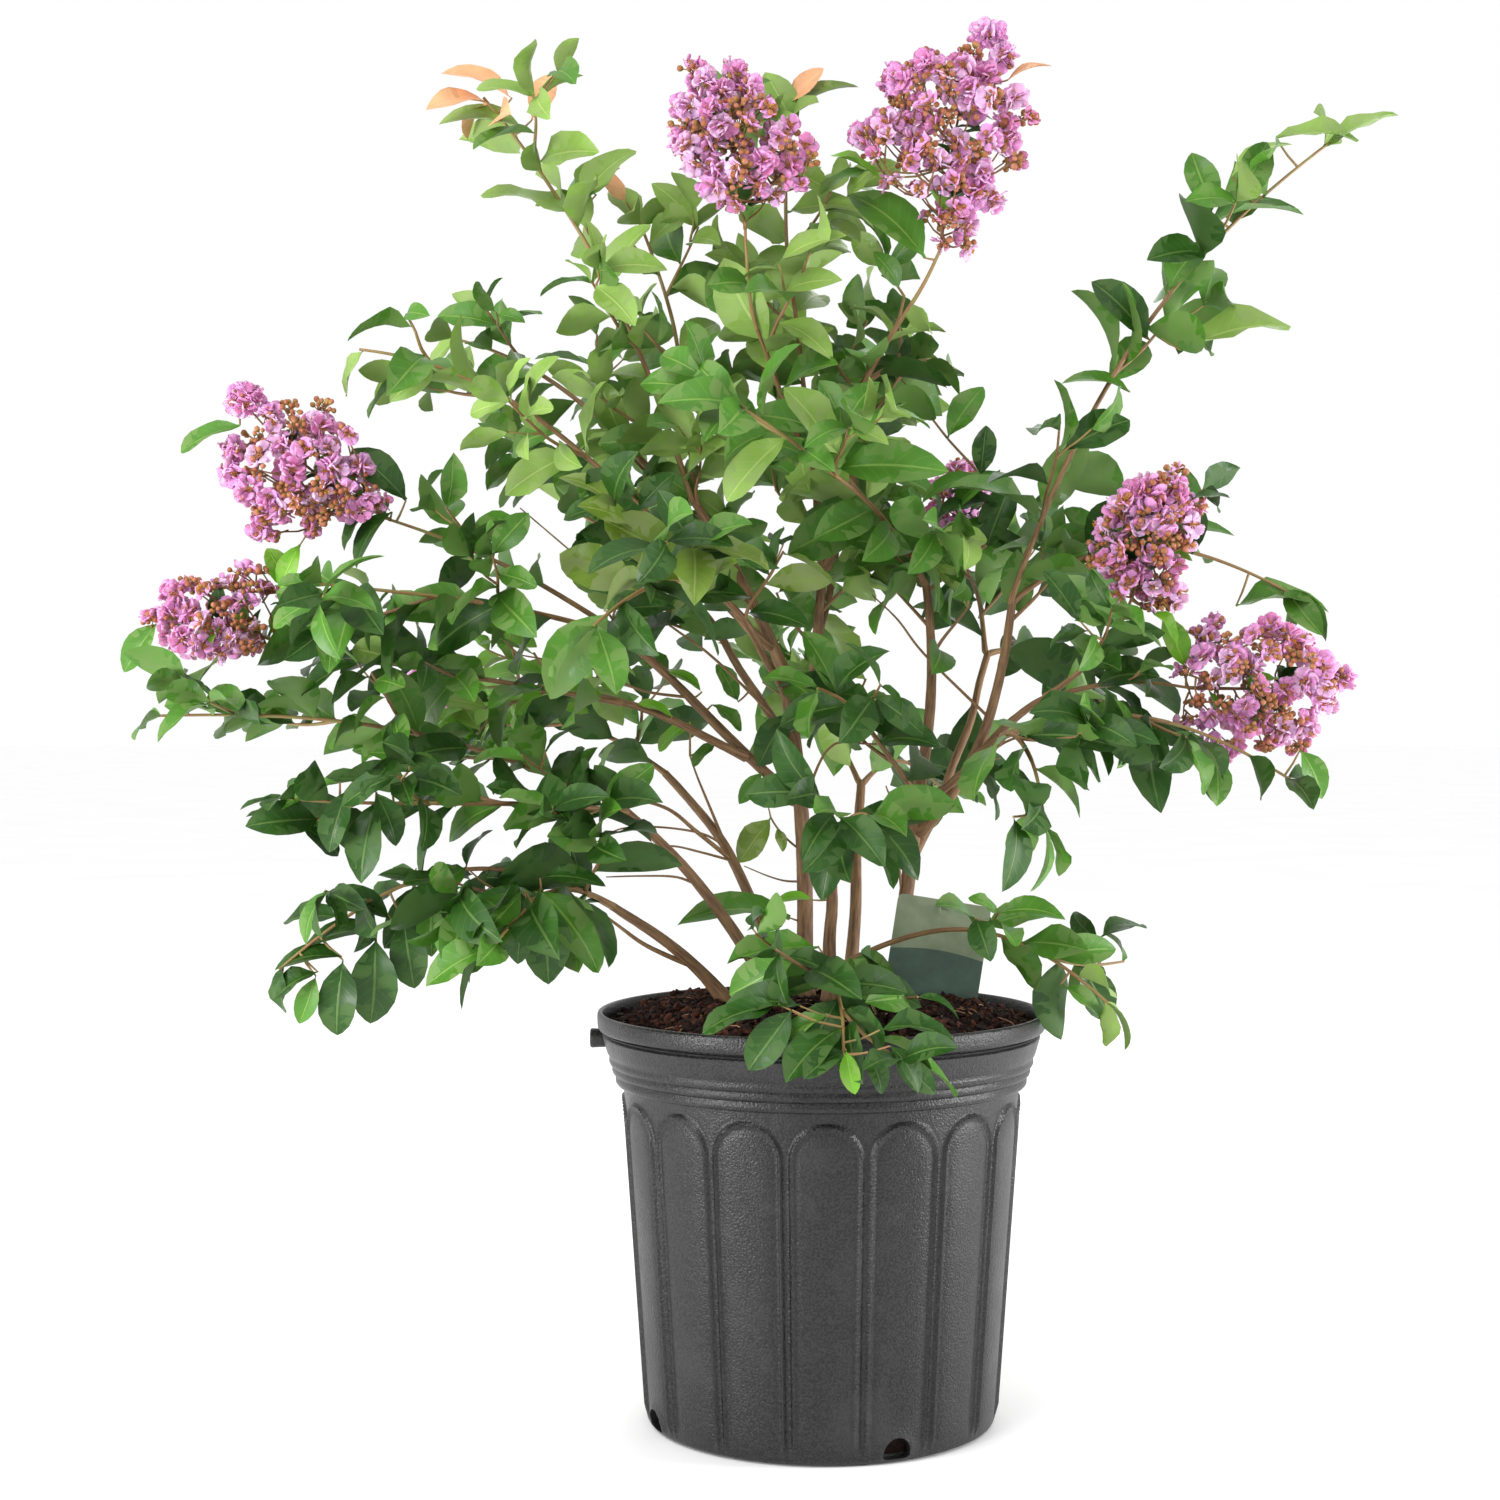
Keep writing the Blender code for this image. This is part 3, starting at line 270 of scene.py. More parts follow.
# Groups of flowers on each head in view: pixels from the left and the top, and radius in
# pixels, below 0 where the group is mostly buds.
GROUPS = {
    "spray_bloom_left": (
        (250, 403, 19), (272, 417, 14), (292, 410, -10), (325, 410, -11), (318, 427, 13),
        (297, 428, -10), (345, 434, -8), (262, 439, -12), (240, 449, 13), (284, 446, 12),
        (262, 456, -10), (306, 450, -11), (326, 449, 11), (238, 472, 15), (262, 471, -11),
        (292, 470, 12), (333, 469, 14), (358, 470, 13), (252, 489, 13), (271, 497, 12),
        (346, 491, -12), (368, 490, 9), (268, 513, -11), (285, 511, 10), (263, 527, 10),
        (279, 532, 7), (312, 516, 8), (318, 529, 6), (340, 506, -9), (358, 510, 11),
        (381, 503, 7), (286, 488, -8), (302, 492, 9), (320, 488, -9), (297, 504, -8),
        (316, 502, 8), (328, 516, -7)),
    "spray_bloom_left_low": (
        (177, 594, 12), (191, 584, -7), (205, 592, -8), (155, 620, 8), (171, 617, 12),
        (190, 612, 10), (206, 624, -10), (181, 638, 11), (201, 644, 11), (216, 631, 10),
        (223, 610, -9), (231, 587, 9), (245, 574, 9), (262, 574, -8), (248, 592, -10),
        (263, 590, 8), (277, 593, 5), (247, 606, 10), (240, 622, -9), (256, 629, 9),
        (233, 640, 10), (249, 645, -8), (262, 645, 6), (220, 653, 7)),
    "spray_bloom_top": (
        (693, 70, 8), (706, 82, 13), (735, 76, 14), (721, 94, 12), (747, 91, 12), (691, 106, 12),
        (712, 109, 12), (736, 109, -11), (753, 102, -9), (767, 109, -8), (684, 126, 9),
        (701, 128, -11), (722, 126, 12), (746, 125, -11), (690, 146, 12), (712, 146, 13),
        (739, 146, -12), (776, 136, 10), (789, 129, 8), (785, 149, -11), (804, 146, 9),
        (808, 160, -9), (697, 163, 9), (719, 168, 12), (741, 168, -11), (765, 160, 12),
        (790, 166, 10), (716, 186, 10), (738, 189, -11), (757, 187, 10), (783, 179, 8),
        (803, 185, 6), (735, 203, 7), (774, 197, 6)),
    "spray_bloom_top_right": (
        (989, 38, 16), (1002, 58, 15), (972, 54, -8), (932, 66, 15), (903, 80, 17),
        (946, 74, -10), (923, 84, -11), (967, 66, 11), (986, 77, 12), (970, 90, 12),
        (951, 92, -11), (905, 102, -9), (1012, 98, 10), (993, 98, -11), (972, 109, 12),
        (950, 118, -11), (1027, 118, -7), (869, 136, 13), (889, 124, 13), (886, 139, -8),
        (911, 122, 10), (914, 139, 11), (880, 155, 8), (1002, 126, 12), (988, 140, 11),
        (1006, 142, 10), (1014, 161, -8), (972, 151, -11), (956, 140, 9), (962, 162, 10),
        (980, 172, 12), (896, 183, 7), (923, 191, -7), (941, 188, 9), (957, 183, -9),
        (973, 193, 12), (992, 200, 12), (955, 209, 10), (950, 222, -8), (967, 226, 10),
        (935, 221, 7), (950, 241, 7), (967, 246, 8), (930, 106, -10), (936, 128, 9),
        (926, 148, -9), (910, 162, -8), (938, 162, 9), (916, 104, 8)),
    "spray_bloom_right": (
        (1177, 472, 6), (1163, 482, -6), (1151, 485, 8), (1173, 487, 11), (1140, 493, 10),
        (1125, 502, -7), (1158, 499, 10), (1181, 502, 12), (1196, 506, 8), (1120, 513, 10),
        (1142, 514, 11), (1174, 513, -9), (1162, 522, 10), (1108, 526, 7), (1134, 530, 11),
        (1191, 525, 10), (1150, 540, -10), (1170, 539, -10), (1184, 546, -6), (1106, 545, 9),
        (1125, 549, -10), (1143, 552, 9), (1102, 562, -8), (1120, 566, 10), (1139, 570, 11),
        (1159, 558, -8), (1175, 565, 9), (1132, 583, -8), (1150, 586, 9), (1165, 582, -9),
        (1178, 591, 9), (1122, 595, 5), (1146, 605, 6), (1160, 602, -8), (1172, 605, 6)),
    "spray_bloom_right_low": (
        (1219, 625, 8), (1203, 638, 10), (1226, 642, -10), (1233, 657, 12), (1207, 657, 11),
        (1190, 674, 8), (1211, 681, 8), (1272, 629, 12), (1257, 638, 9), (1286, 638, 11),
        (1302, 646, 11), (1268, 653, -11), (1291, 657, -10), (1308, 661, -9), (1323, 669, 11),
        (1341, 677, 12), (1329, 687, -8), (1252, 668, 10), (1305, 684, 12), (1285, 690, 11),
        (1256, 687, -9), (1321, 701, 11), (1267, 702, -9), (1243, 703, 10), (1224, 702, -8),
        (1197, 699, -7), (1210, 714, 11), (1190, 716, 8), (1235, 716, 11), (1282, 713, -9),
        (1297, 723, 10), (1310, 727, 8), (1280, 732, 10), (1267, 742, -7), (1296, 744, -8),
        (1191, 742, 10), (1211, 745, 11), (1231, 741, 10), (1224, 755, 7), (1179, 756, 6),
        (1240, 668, -8), (1247, 726, -8), (1262, 718, 8), (1228, 676, 8)),
}

# Places where the photograph shows clear sky: middle and half widths of an oval, in pixels.
SKY = (
    (622, 70, 48, 80), (400, 205, 95, 95), (530, 245, 38, 36), (1020, 338, 72, 70),
    (1110, 140, 66, 125), (1305, 235, 75, 45), (1312, 408, 110, 72), (1285, 530, 62, 52),
    (1230, 850, 160, 50), (1112, 852, 45, 55), (970, 850, 38, 48), (862, 780, 40, 28),
    (902, 650, 26, 45), (984, 655, 18, 38), (742, 690, 18, 34), (690, 935, 58, 40),
    (748, 872, 34, 26), (556, 606, 48, 20), (405, 560, 40, 24), (545, 530, 24, 22),
    (190, 768, 112, 38), (268, 872, 55, 38), (420, 853, 48, 13), (490, 1024, 82, 40),
    (228, 985, 40, 62), (410, 440, 26, 40), (915, 447, 28, 20), (945, 288, 34, 30),
    (1165, 430, 34, 40), (1240, 590, 26, 14), (640, 980, 40, 26), (370, 350, 26, 14),
    (120, 560, 70, 60), (850, 1152, 220, 52), (1165, 985, 42, 66), (1352, 172, 56, 34),
    (1262, 262, 40, 26), (1040, 620, 20, 18), (700, 690, 16, 18), (380, 480, 18, 26))

# Where leaves in front of the label leave it in view, given in the same way.
LABEL_WINDOW = (925, 940, 44, 52)

# Thin bare twigs: the limb each leaves, how far along, pixels, depth and radius in millimetres.
BARE_TWIGS = (
    ("stem_centre", 0.80, ((717, 661), (672, 627), (600, 575), (520, 508)), -18, 1.0),
    ("stem_centre", 0.72, ((812, 778), (816, 800), (818, 822)), 10, 0.7),
    ("stem_centre", 0.55, ((829, 748), (872, 744), (936, 745)), -14, 1.0),
    ("stem_centre", 0.56, ((779, 801), (759, 789)), 14, 0.8),
    ("stem_centre", 0.41, ((786, 838), (772, 820), (768, 806), (759, 790)), 14, 0.8),
    ("stem_centre", 0.32, ((786, 881), (768, 876), (744, 866)), 40, 0.8),
    ("bough_right_long", 0.50, ((925, 655), (898, 620), (872, 595)), -10, 1.0),
    ("stem_right", 0.96, ((904, 716), (849, 694)), -12, 1.0),
    ("stem_right", 0.34, ((893, 812), (886, 786)), 10, 1.0),
    ("stem_fan", 0.44, ((676, 877), (640, 876), (606, 877)), -14, 0.9),
    ("stem_fan_back", 0.56, ((716, 822), (706, 798), (697, 776), (690, 756)), 66, 1.2),
    ("stem_fan_back", 0.50, ((697, 832), (668, 809), (628, 797), (600, 790)), 30, 1.6),
    ("stem_fan_back", 0.58, ((700, 833), (657, 827), (620, 829), (595, 843)), 20, 0.9),
    ("stem_fan_back", 0.50, ((700, 852), (672, 846), (641, 848), (590, 851)), 24, 0.9),
    ("stem_left", 0.26, ((668, 956), (642, 943), (620, 927), (604, 915)), -34, 1.8),
    ("bough_right_low", 0.60, ((1010, 740), (1060, 728), (1108, 730)), -60, 1.0),
    ("bough_left_long", 0.55, ((640, 690), (590, 668), (520, 655)), -24, 1.0),
    ("stem_right", 0.66, ((935, 800), (962, 770), (1000, 758)), 6, 1.0),
    ("bough_right_upright", 0.97, ((1004, 524), (982, 478), (948, 439), (921, 404), (895, 371)), 40,
     1.2),
    ("spray_left_inner", 0.7, ((470, 740), (452, 722)), 62, 0.9))

# Leaves that stand out at the heads and tips of the sprays: tint, then root and tip in pixels.
KEY_LEAVES = {
    "spray_bloom_top_right": (
        (MID, 925, 258, 864, 178), (YOUNG, 1008, 80, 1046, 55), (MID, 868, 170, 816, 186),
        (BRIGHT, 880, 178, 835, 150)),
    "spray_top_centre": (
        (OLIVE, 792, 112, 846, 72), (YOUNG, 790, 104, 818, 66), (LIGHT, 795, 132, 771, 68)),
    "spray_top_left": (
        (YOUNG, 532, 120, 550, 71), (YOUNG, 512, 98, 448, 60), (LIGHT, 525, 128, 441, 106),
        (LIGHT, 578, 205, 627, 140), (YOUNG, 626, 202, 598, 168), (LIGHT, 572, 214, 486, 182)),
    "spray_bloom_left": (
        (DEEP, 406, 500, 357, 442), (MID, 240, 425, 178, 446), (BRIGHT, 300, 545, 276, 585),
        (DEEP, 392, 512, 344, 552)),
    "spray_bloom_left_low": (
        (MID, 158, 622, 122, 668), (BRIGHT, 290, 590, 268, 548)),
    "spray_bloom_right": (
        (DEEP, 1186, 500, 1228, 492), (BRIGHT, 1150, 610, 1184, 634)),
    "spray_bloom_right_low": (
        (MID, 1236, 606, 1318, 580), (BRIGHT, 1186, 668, 1166, 620), (MID, 1300, 750, 1330, 794),
        (MID, 1215, 755, 1222, 806)),
    "spray_right_top": (
        (LIGHT, 1232, 176, 1282, 130), (LIGHT, 1276, 138, 1362, 127), (MID, 1206, 226, 1290, 180),
        (MID, 1212, 214, 1196, 150), (MID, 1168, 290, 1198, 236), (DEEP, 1150, 340, 1096, 276),
        (LIGHT, 1180, 350, 1286, 310), (MID, 1130, 392, 1072, 362)),
    "spray_crown_right": (
        (DEEP, 981, 476, 984, 424), (MID, 948, 438, 978, 384), (MID, 981, 478, 924, 482),
        (MID, 921, 404, 872, 396), (DEEP, 896, 372, 928, 330), (DEEP, 1002, 500, 936, 512),
        (MID, 992, 520, 938, 545), (DEEP, 1012, 478, 990, 545), (MID, 1000, 470, 950, 500)),
    "spray_left_front": (
        (DEEP, 394, 652, 345, 600), (MID, 504, 640, 466, 600)),
    "spray_left_wide": (
        (DEEP, 346, 790, 330, 850), (DEEP, 376, 792, 400, 842), (MID, 340, 782, 272, 798),
        (DEEP, 392, 786, 322, 772)),
    "spray_left_low": ((DEEP, 528, 800, 488, 780),),
    "spray_left_inner": (
        (BRIGHT, 548, 676, 480, 662), (BRIGHT, 552, 672, 568, 690), (BRIGHT, 476, 744, 430, 704),
        (LIGHT, 480, 732, 452, 684), (MID, 484, 742, 432, 736), (MID, 712, 705, 744, 726),
        (DEEP, 789, 712, 755, 762), (BRIGHT, 702, 692, 674, 668), (MID, 716, 742, 690, 764),
        (BRIGHT, 690, 722, 658, 746), (MID, 738, 702, 718, 666), (BRIGHT, 672, 716, 640, 700)),
    "spray_centre_low": (
        (MID, 762, 772, 742, 801), (OLIVE, 771, 818, 739, 858), (OLIVE, 777, 828, 784, 850)),
    "spray_front_low": (
        (MID, 790, 918, 690, 890), (MID, 818, 946, 728, 956), (BRIGHT, 812, 900, 778, 892)),
    "spray_front_rim": (
        (DEEP, 778, 1004, 698, 1024), (DEEP, 792, 1010, 748, 1074), (DEEP, 800, 1006, 728, 990),
        (MID, 826, 1014, 780, 1042), (DEEP, 880, 1030, 946, 1016), (DEEP, 890, 1046, 926, 1082),
        (DEEP, 868, 1052, 886, 1092), (BRIGHT, 846, 1050, 852, 1094)),
    "spray_right_foot": ((MID, 1060, 985, 1112, 1016),),
    "spray_left_droop": (
        (DEEP, 433, 893, 390, 861), (DEEP, 392, 920, 330, 884), (DEEP, 377, 933, 308, 926),
        (DEEP, 342, 957, 278, 950), (DEEP, 318, 972, 268, 988), (MID, 316, 976, 300, 1026),
        (DEEP, 343, 960, 336, 1032), (DEEP, 376, 938, 373, 1029), (DEEP, 403, 918, 416, 991),
        (MID, 430, 898, 434, 955), (DEEP, 452, 884, 453, 940)),
    "spray_left_foot": (
        (MID, 524, 890, 452, 972), (DEEP, 526, 892, 520, 962), (DEEP, 536, 892, 556, 984),
        (MID, 540, 888, 604, 964), (DEEP, 540, 878, 600, 872)),
}


def linear(code: str) -> tuple[float, float, float, float]:
    """Turns an sRGB hex colour into linear values.

    Args:
        code: the colour as #rrggbb.

    Returns:
        Red, green, blue and an alpha of 1.
    """
    shares = [int(code[k:k + 2], 16) / 255.0 for k in (1, 3, 5)]
    flat = [v / 12.92 if v <= 0.04045 else ((v + 0.055) / 1.055) ** 2.4 for v in shares]
    return (flat[0], flat[1], flat[2], 1.0)


def feed(tree: NodeTree, node: Node, inputs: dict[Any, Any]) -> None:
    """Sets a node's inputs and makes the links into it.

    Args:
        tree: the tree that holds the node.
        node: the node.
        inputs: a value, a socket, or a node for its first output, by input name or number.
    """
    for key, value in inputs.items():
        if isinstance(value, Node):
            value = value.outputs[0]
        if isinstance(value, NodeSocket):
            tree.links.new(value, node.inputs[key])
        else:
            node.inputs[key].default_value = value


def add_node(tree: NodeTree, kind: str, inputs: dict[Any, Any] | None = None,
             **settings: Any) -> Node:
    """Adds a node with its settings, its input values and the links into it.

    Args:
        tree: the shader or geometry tree.
        kind: the node's type.
        inputs: what feeds its inputs.
        settings: the node's own properties.

    Returns:
        The node.
    """
    node = tree.nodes.new(kind)
    for name, value in settings.items():
        setattr(node, name, value)
    feed(tree, node, inputs or {})
    return node


class Finish:
    """A material under construction: its node tree, shader and the piece's own coordinates."""

    def __init__(self, name: str, colour: str, roughness: float, ior: float = 1.5) -> None:
        """Starts a material with a Principled shader.

        Args:
            name: the material's name.
            colour: its base colour as sRGB hex.
            roughness: the shader's roughness.
            ior: the index of refraction.
        """
        self.material = bpy.data.materials.new(name)
        self.material.use_nodes = True
        self.material.diffuse_color = linear(colour)
        self.tree = self.material.node_tree
        self.shader = self.tree.nodes["Principled BSDF"]
        self.set({"Base Color": linear(colour), "Roughness": roughness, "IOR": ior})

    def set(self, values: dict[str, Any]) -> None:
        """Sets or links sockets of the shader."""
        feed(self.tree, self.shader, values)

    def node(self, kind: str, inputs: dict[Any, Any] | None = None, **settings: Any) -> Node:
        """Adds a node to this material's tree."""
        return add_node(self.tree, kind, inputs, **settings)

    def grain(self, size: float, detail: float = 2.0, rough: float = 0.5,
              place: NodeSocket | None = None) -> NodeSocket:
        """Noise whose lumps have a size in millimetres, on Object coordinates or a given place."""
        place = self.node("ShaderNodeTexCoord").outputs["Object"] if place is None else place
        values = {"Vector": place, "Scale": 1.0 / (size * MM), "Detail": detail, "Roughness": rough}
        return self.node("ShaderNodeTexNoise", values).outputs["Fac"]

    def spread(self, value: NodeSocket, low: float, high: float, out_low: float,
               out_high: float) -> NodeSocket:
        """Maps one range on another, clamped."""
        return self.node("ShaderNodeMapRange",
                         {0: value, 1: low, 2: high, 3: out_low, 4: out_high}).outputs[0]

    def mix(self, share: NodeSocket, first: Any, second: Any) -> NodeSocket:
        """Mixes two colours, each an sRGB hex value or a socket."""
        ends = [linear(v) if isinstance(v, str) else v for v in (first, second)]
        return self.node("ShaderNodeMix", {0: share, 6: ends[0], 7: ends[1]},
                         data_type="RGBA").outputs[2]

    def raise_grain(self, height: NodeSocket, depth: float, strength: float) -> None:
        """Bumps the surface by a height field whose full swing is a depth in millimetres."""
        values = {"Height": height, "Distance": depth * MM, "Strength": strength}
        self.set({"Normal": self.node("ShaderNodeBump", values)})


@dataclass(frozen=True)
class MouldedPolyethylene:
    """Black blow-moulded container plastic: satin, with a fine pebbled grain, painted shade in the
    grain's hollows, and faint scuffs.
    """

    colour: str = "#222222"
    # The colour of the painted shade in the pebbles' hollows.
    pebble_hollow_painted_shade: str = "#060606"
    scuffed: str = "#333333"
    pebble: float = 1.25
    pebble_depth: float = 0.50
    scuff: float = 38.0

    def make(self) -> Material:
        """Builds the material.

        Returns:
            The material. The pebbles are drawn at 1.25 mm, coarser than real, so that they show.
        """
        finish = Finish("moulded_black_polyethylene", self.colour, 0.38, 1.45)
        pebbles = finish.grain(self.pebble, 1.0)
        scuffs = finish.grain(self.scuff, 5.0, 0.62)
        # Handling leaves cloudy grey rubs, which are duller than the clean plastic.
        rubbed = finish.spread(scuffs, 0.50, 0.74, 0.0, 0.55)
        # Painted shade: the low spots of the pebble noise, which also raises the grain, are mixed
        # towards a near-black colour.
        pebble_painted_shade = finish.mix(finish.spread(pebbles, 0.40, 0.60, 0.0, 1.0), self.pebble_hollow_painted_shade, self.colour)
        finish.set({"Base Color": finish.mix(rubbed, pebble_painted_shade, self.scuffed),
                    "Roughness": finish.spread(scuffs, 0.35, 0.7, 0.32, 0.46)})
        finish.raise_grain(pebbles, self.pebble_depth, 0.9)
        return finish.material


@dataclass(frozen=True)
class Skin:
    """What the plainer finishes share: a name and two colours that noise deals out."""

    name: str
    colour: str
    other: str

    def mottled(self, roughness: float, ior: float, size: float, detail: float,
                ends: tuple[float, float, float]) -> tuple[Finish, NodeSocket]:
        """Starts the material with its two colours.

        Args:
            roughness: the shader's roughness.
            ior: the index of refraction.
            size: width of the patches in millimetres.
            detail: the noise's detail.
            ends: the noise at which the other colour starts and is full, and its greatest share.

        Returns:
            The material under construction, and its noise.
        """
        finish = Finish(self.name, self.colour, roughness, ior)
        patches = finish.grain(size, detail)
        share = finish.spread(patches, ends[0], ends[1], 0.0, ends[2])
        finish.set({"Base Color": finish.mix(share, self.colour, self.other)})
        return finish, patches


@dataclass(frozen=True)
class BarkMix(Skin):
    """Moist composted bark: dull, with light and dark crumbs a few millimetres wide."""

    def make(self) -> Material:
        """Builds the material. Its noise gives each crumb its own shade."""
        finish, _ = self.mottled(0.92, 1.33, 3.0, 2.0, (0.36, 0.66, 1.0))
        finish.raise_grain(finish.grain(0.9, 3.0), 0.3, 0.8)
        return finish.material


@dataclass(frozen=True)
class LabelCard(Skin):
    """Printed polypropylene card: smooth, semi-gloss, one plain ink over a faint mottle."""

    def make(self) -> Material:
        """Builds the material. The mottle stands for dust that dulls the gloss in patches."""
        finish, dust = self.mottled(0.34, 1.5, 9.0, 3.0, (0.35, 0.75, 0.5))
        finish.set({"Roughness": finish.spread(dust, 0.3, 0.7, 0.28, 0.46)})
        return finish.material


@dataclass(frozen=True)
class Bark(Skin):
    """Young crape myrtle bark: thin and smooth, with long pale and dark streaks."""

    streak: float = 2.2
    roughness: float = 0.66

    def make(self) -> Material:
        """Builds the material.

        Returns:
            The material. The streaks follow the limb through its own grain attribute.
        """
        finish = Finish(self.name, self.colour, self.roughness)
        along = finish.node("ShaderNodeAttribute", attribute_name="grain").outputs["Vector"]
        streaks = finish.grain(self.streak, 4.0, 0.6, along)
        shade = finish.mix(finish.spread(streaks, 0.36, 0.68, 0.0, 1.0), self.colour, self.other)
        blotches = finish.spread(finish.grain(14.0), 0.5, 0.72, 0.0, 0.45)
        finish.set({"Base Color": finish.mix(blotches, shade, self.other)})
        finish.raise_grain(streaks, 0.35, 0.7)
        return finish.material


@dataclass(frozen=True)
class LeafBlade:
    """Upper face of a leaf: waxy and semi-gloss, with a pale midrib and sunken side veins."""

    tint: Tint
    veins: float = 8.0
    vein_rise: float = 0.42

    def make(self) -> Material:
        """Builds the material.

        Returns:
            The material. Colour drifts over 20 mm, and veins run out from the midrib.
        """
        name, blade, fresh, _, rib = self.tint.value
        finish = Finish(f"waxy_leaf_{name}", blade, 0.40, 1.38)
        drift = finish.grain(20.0, 1.0)
        shade = finish.mix(finish.spread(drift, 0.22, 0.78, 0.0, 1.0), blade, fresh)
        vein = self.vein_share(finish)
        finish.set({"Base Color": finish.mix(finish.spread(vein, 0.0, 1.0, 0.0, 0.42), shade, rib),
                    "Roughness": finish.spread(drift, 0.3, 0.7, 0.34, 0.50)})
        finish.raise_grain(vein, -0.30, 0.6)
        return finish.material

    def vein_share(self, finish: Finish) -> NodeSocket:
        """How far a point lies on the midrib or a side vein, by the leaf's own UV map.

        Args:
            finish: the material being built.

        Returns:
            The socket with that share.
        """
        spot = finish.node("ShaderNodeUVMap", uv_map="UVMap")
        run, across = finish.node("ShaderNodeSeparateXYZ", {0: spot}).outputs[:2]
        side = finish.node("ShaderNodeMath", {0: across, 1: 0.5}, operation="SUBTRACT")
        out = finish.node("ShaderNodeMath", {0: side}, operation="ABSOLUTE")
        lead = finish.node("ShaderNodeMath", {0: out, 1: self.vein_rise}, operation="MULTIPLY")
        back = finish.node("ShaderNodeMath", {0: run, 1: lead}, operation="SUBTRACT")
        count = finish.node("ShaderNodeMath", {0: back, 1: self.veins}, operation="MULTIPLY")
        saw = finish.node("ShaderNodeMath", {0: count, 1: 0.5}, operation="PINGPONG")
        side_veins = finish.spread(saw.outputs[0], 0.38, 0.5, 0.0, 0.22)
        midrib = finish.spread(out.outputs[0], 0.018, 0.04, 1.0, 0.0)
        return finish.node("ShaderNodeMath", {0: side_veins, 1: midrib},
                           operation="MAXIMUM").outputs[0]


@dataclass(frozen=True)
class LeafSkin(Skin):
    """Underside of a leaf: paler and duller than the blade, with a soft mottle."""

    def make(self) -> Material:
        """Builds the material."""
        return self.mottled(0.62, 1.4, 11.0, 2.0, (0.35, 0.7, 0.6))[0].material


@dataclass(frozen=True)
class Petal(Skin):
    """Crape petal: thin crinkled tissue with a soft sheen, and painted shade where the noise that
    raises its crinkles mixes in a darker colour.
    """

    def make(self) -> Material:
        """Builds the material. The sheen stands for the petals' velvety cells."""
        # Painted shade: the second, darker colour is mixed in by the noise that also bumps the
        # crinkles.
        finish, crinkles_and_painted_shade = self.mottled(0.62, 1.4, 2.6, 3.0, (0.34, 0.66, 0.5))
        finish.set({"Sheen Weight": 0.25, "Subsurface Weight": 0.25, "Subsurface Scale": 2.0 * MM})
        finish.raise_grain(crinkles_and_painted_shade, 0.3, 0.4)
        return finish.material


@dataclass(frozen=True)
class BudSkin(Skin):
    """Bud, calyx or stamen: firm plant skin, semi-gloss, blushed in patches."""

    roughness: float = 0.45

    def make(self) -> Material:
        """Builds the material. The blush changes from bud to bud, over about 7 mm."""
        return self.mottled(self.roughness, 1.45, 7.0, 2.0, (0.36, 0.64, 1.0))[0].material


def new_object(name: str, mesh: Mesh) -> Object:
    """Links a mesh to the scene as an object at the origin.

    Args:
        name: the object's name.
        mesh: its mesh.

    Returns:
        The object.
    """
    obj = bpy.data.objects.new(name, mesh)
    bpy.context.scene.collection.objects.link(obj)
    return obj


def mesh_from(name: str, bm: BMesh, smooth: bool = True,
              sharp_angle: float | None = None) -> Mesh:
    """Turns a bmesh into a mesh and frees it.

    Args:
        name: the mesh's name.
        bm: the bmesh.
        smooth: whether its faces are shaded smooth.
        sharp_angle: edges that turn by more than this many degrees stay sharp.

    Returns:
        The mesh.
    """
    mesh = bpy.data.meshes.new(name)
    bm.to_mesh(mesh)
    bm.free()
    if smooth:
        mesh.shade_smooth()
    if sharp_angle is not None:
        mesh.set_sharp_from_angle(angle=radians(sharp_angle))
    return mesh


def circle(count: int, radius: float) -> list[tuple[float, float]]:
    """Places evenly round a circle."""
    return [(cos(tau * k / count) * radius, sin(tau * k / count) * radius)
            for k in range(count)]


def add_skin(bm: BMesh, rows: Sequence[Sequence[BMVert]],
             closed: bool = True) -> list[BMFace]:
    """Adds the faces between neighbouring rows of points.

    Args:
        bm: the bmesh.
        rows: the points, row by row.
        closed: whether each row is a ring.

    Returns:
        The faces.
    """
    return [bm.faces.new((a[k], a[(k + 1) % len(a)], b[(k + 1) % len(a)], b[k]))
            for a, b in zip(rows, rows[1:]) for k in range(len(a) - (not closed))]


def add_fan(bm: BMesh, pole: Vector, row: Sequence[BMVert],
            order: int = 1, closed: bool = True) -> list[BMFace]:
    """Closes a row of points by triangles that meet in a pole.

    Args:
        bm: the bmesh.
        pole: where they meet.
        row: the points.
        order: 1, or -1 to turn the faces over.
        closed: whether the row is a ring.

    Returns:
        The faces.
    """
    tip = bm.verts.new(pole)
    return [bm.faces.new((tip, row[k], row[(k + 1) % len(row)])[::order])
            for k in range(len(row) - (not closed))]


def bake_object(obj: Object) -> None:
    """Replaces an object's mesh by its evaluated one and drops its modifiers.

    Args:
        obj: the object.
    """
    graph = bpy.context.evaluated_depsgraph_get()
    graph.update()
    mesh = bpy.data.meshes.new_from_object(obj.evaluated_get(graph))
    obj.modifiers.clear()
    old = obj.data
    obj.data = mesh
    bpy.data.meshes.remove(old)
    mesh.name = obj.name


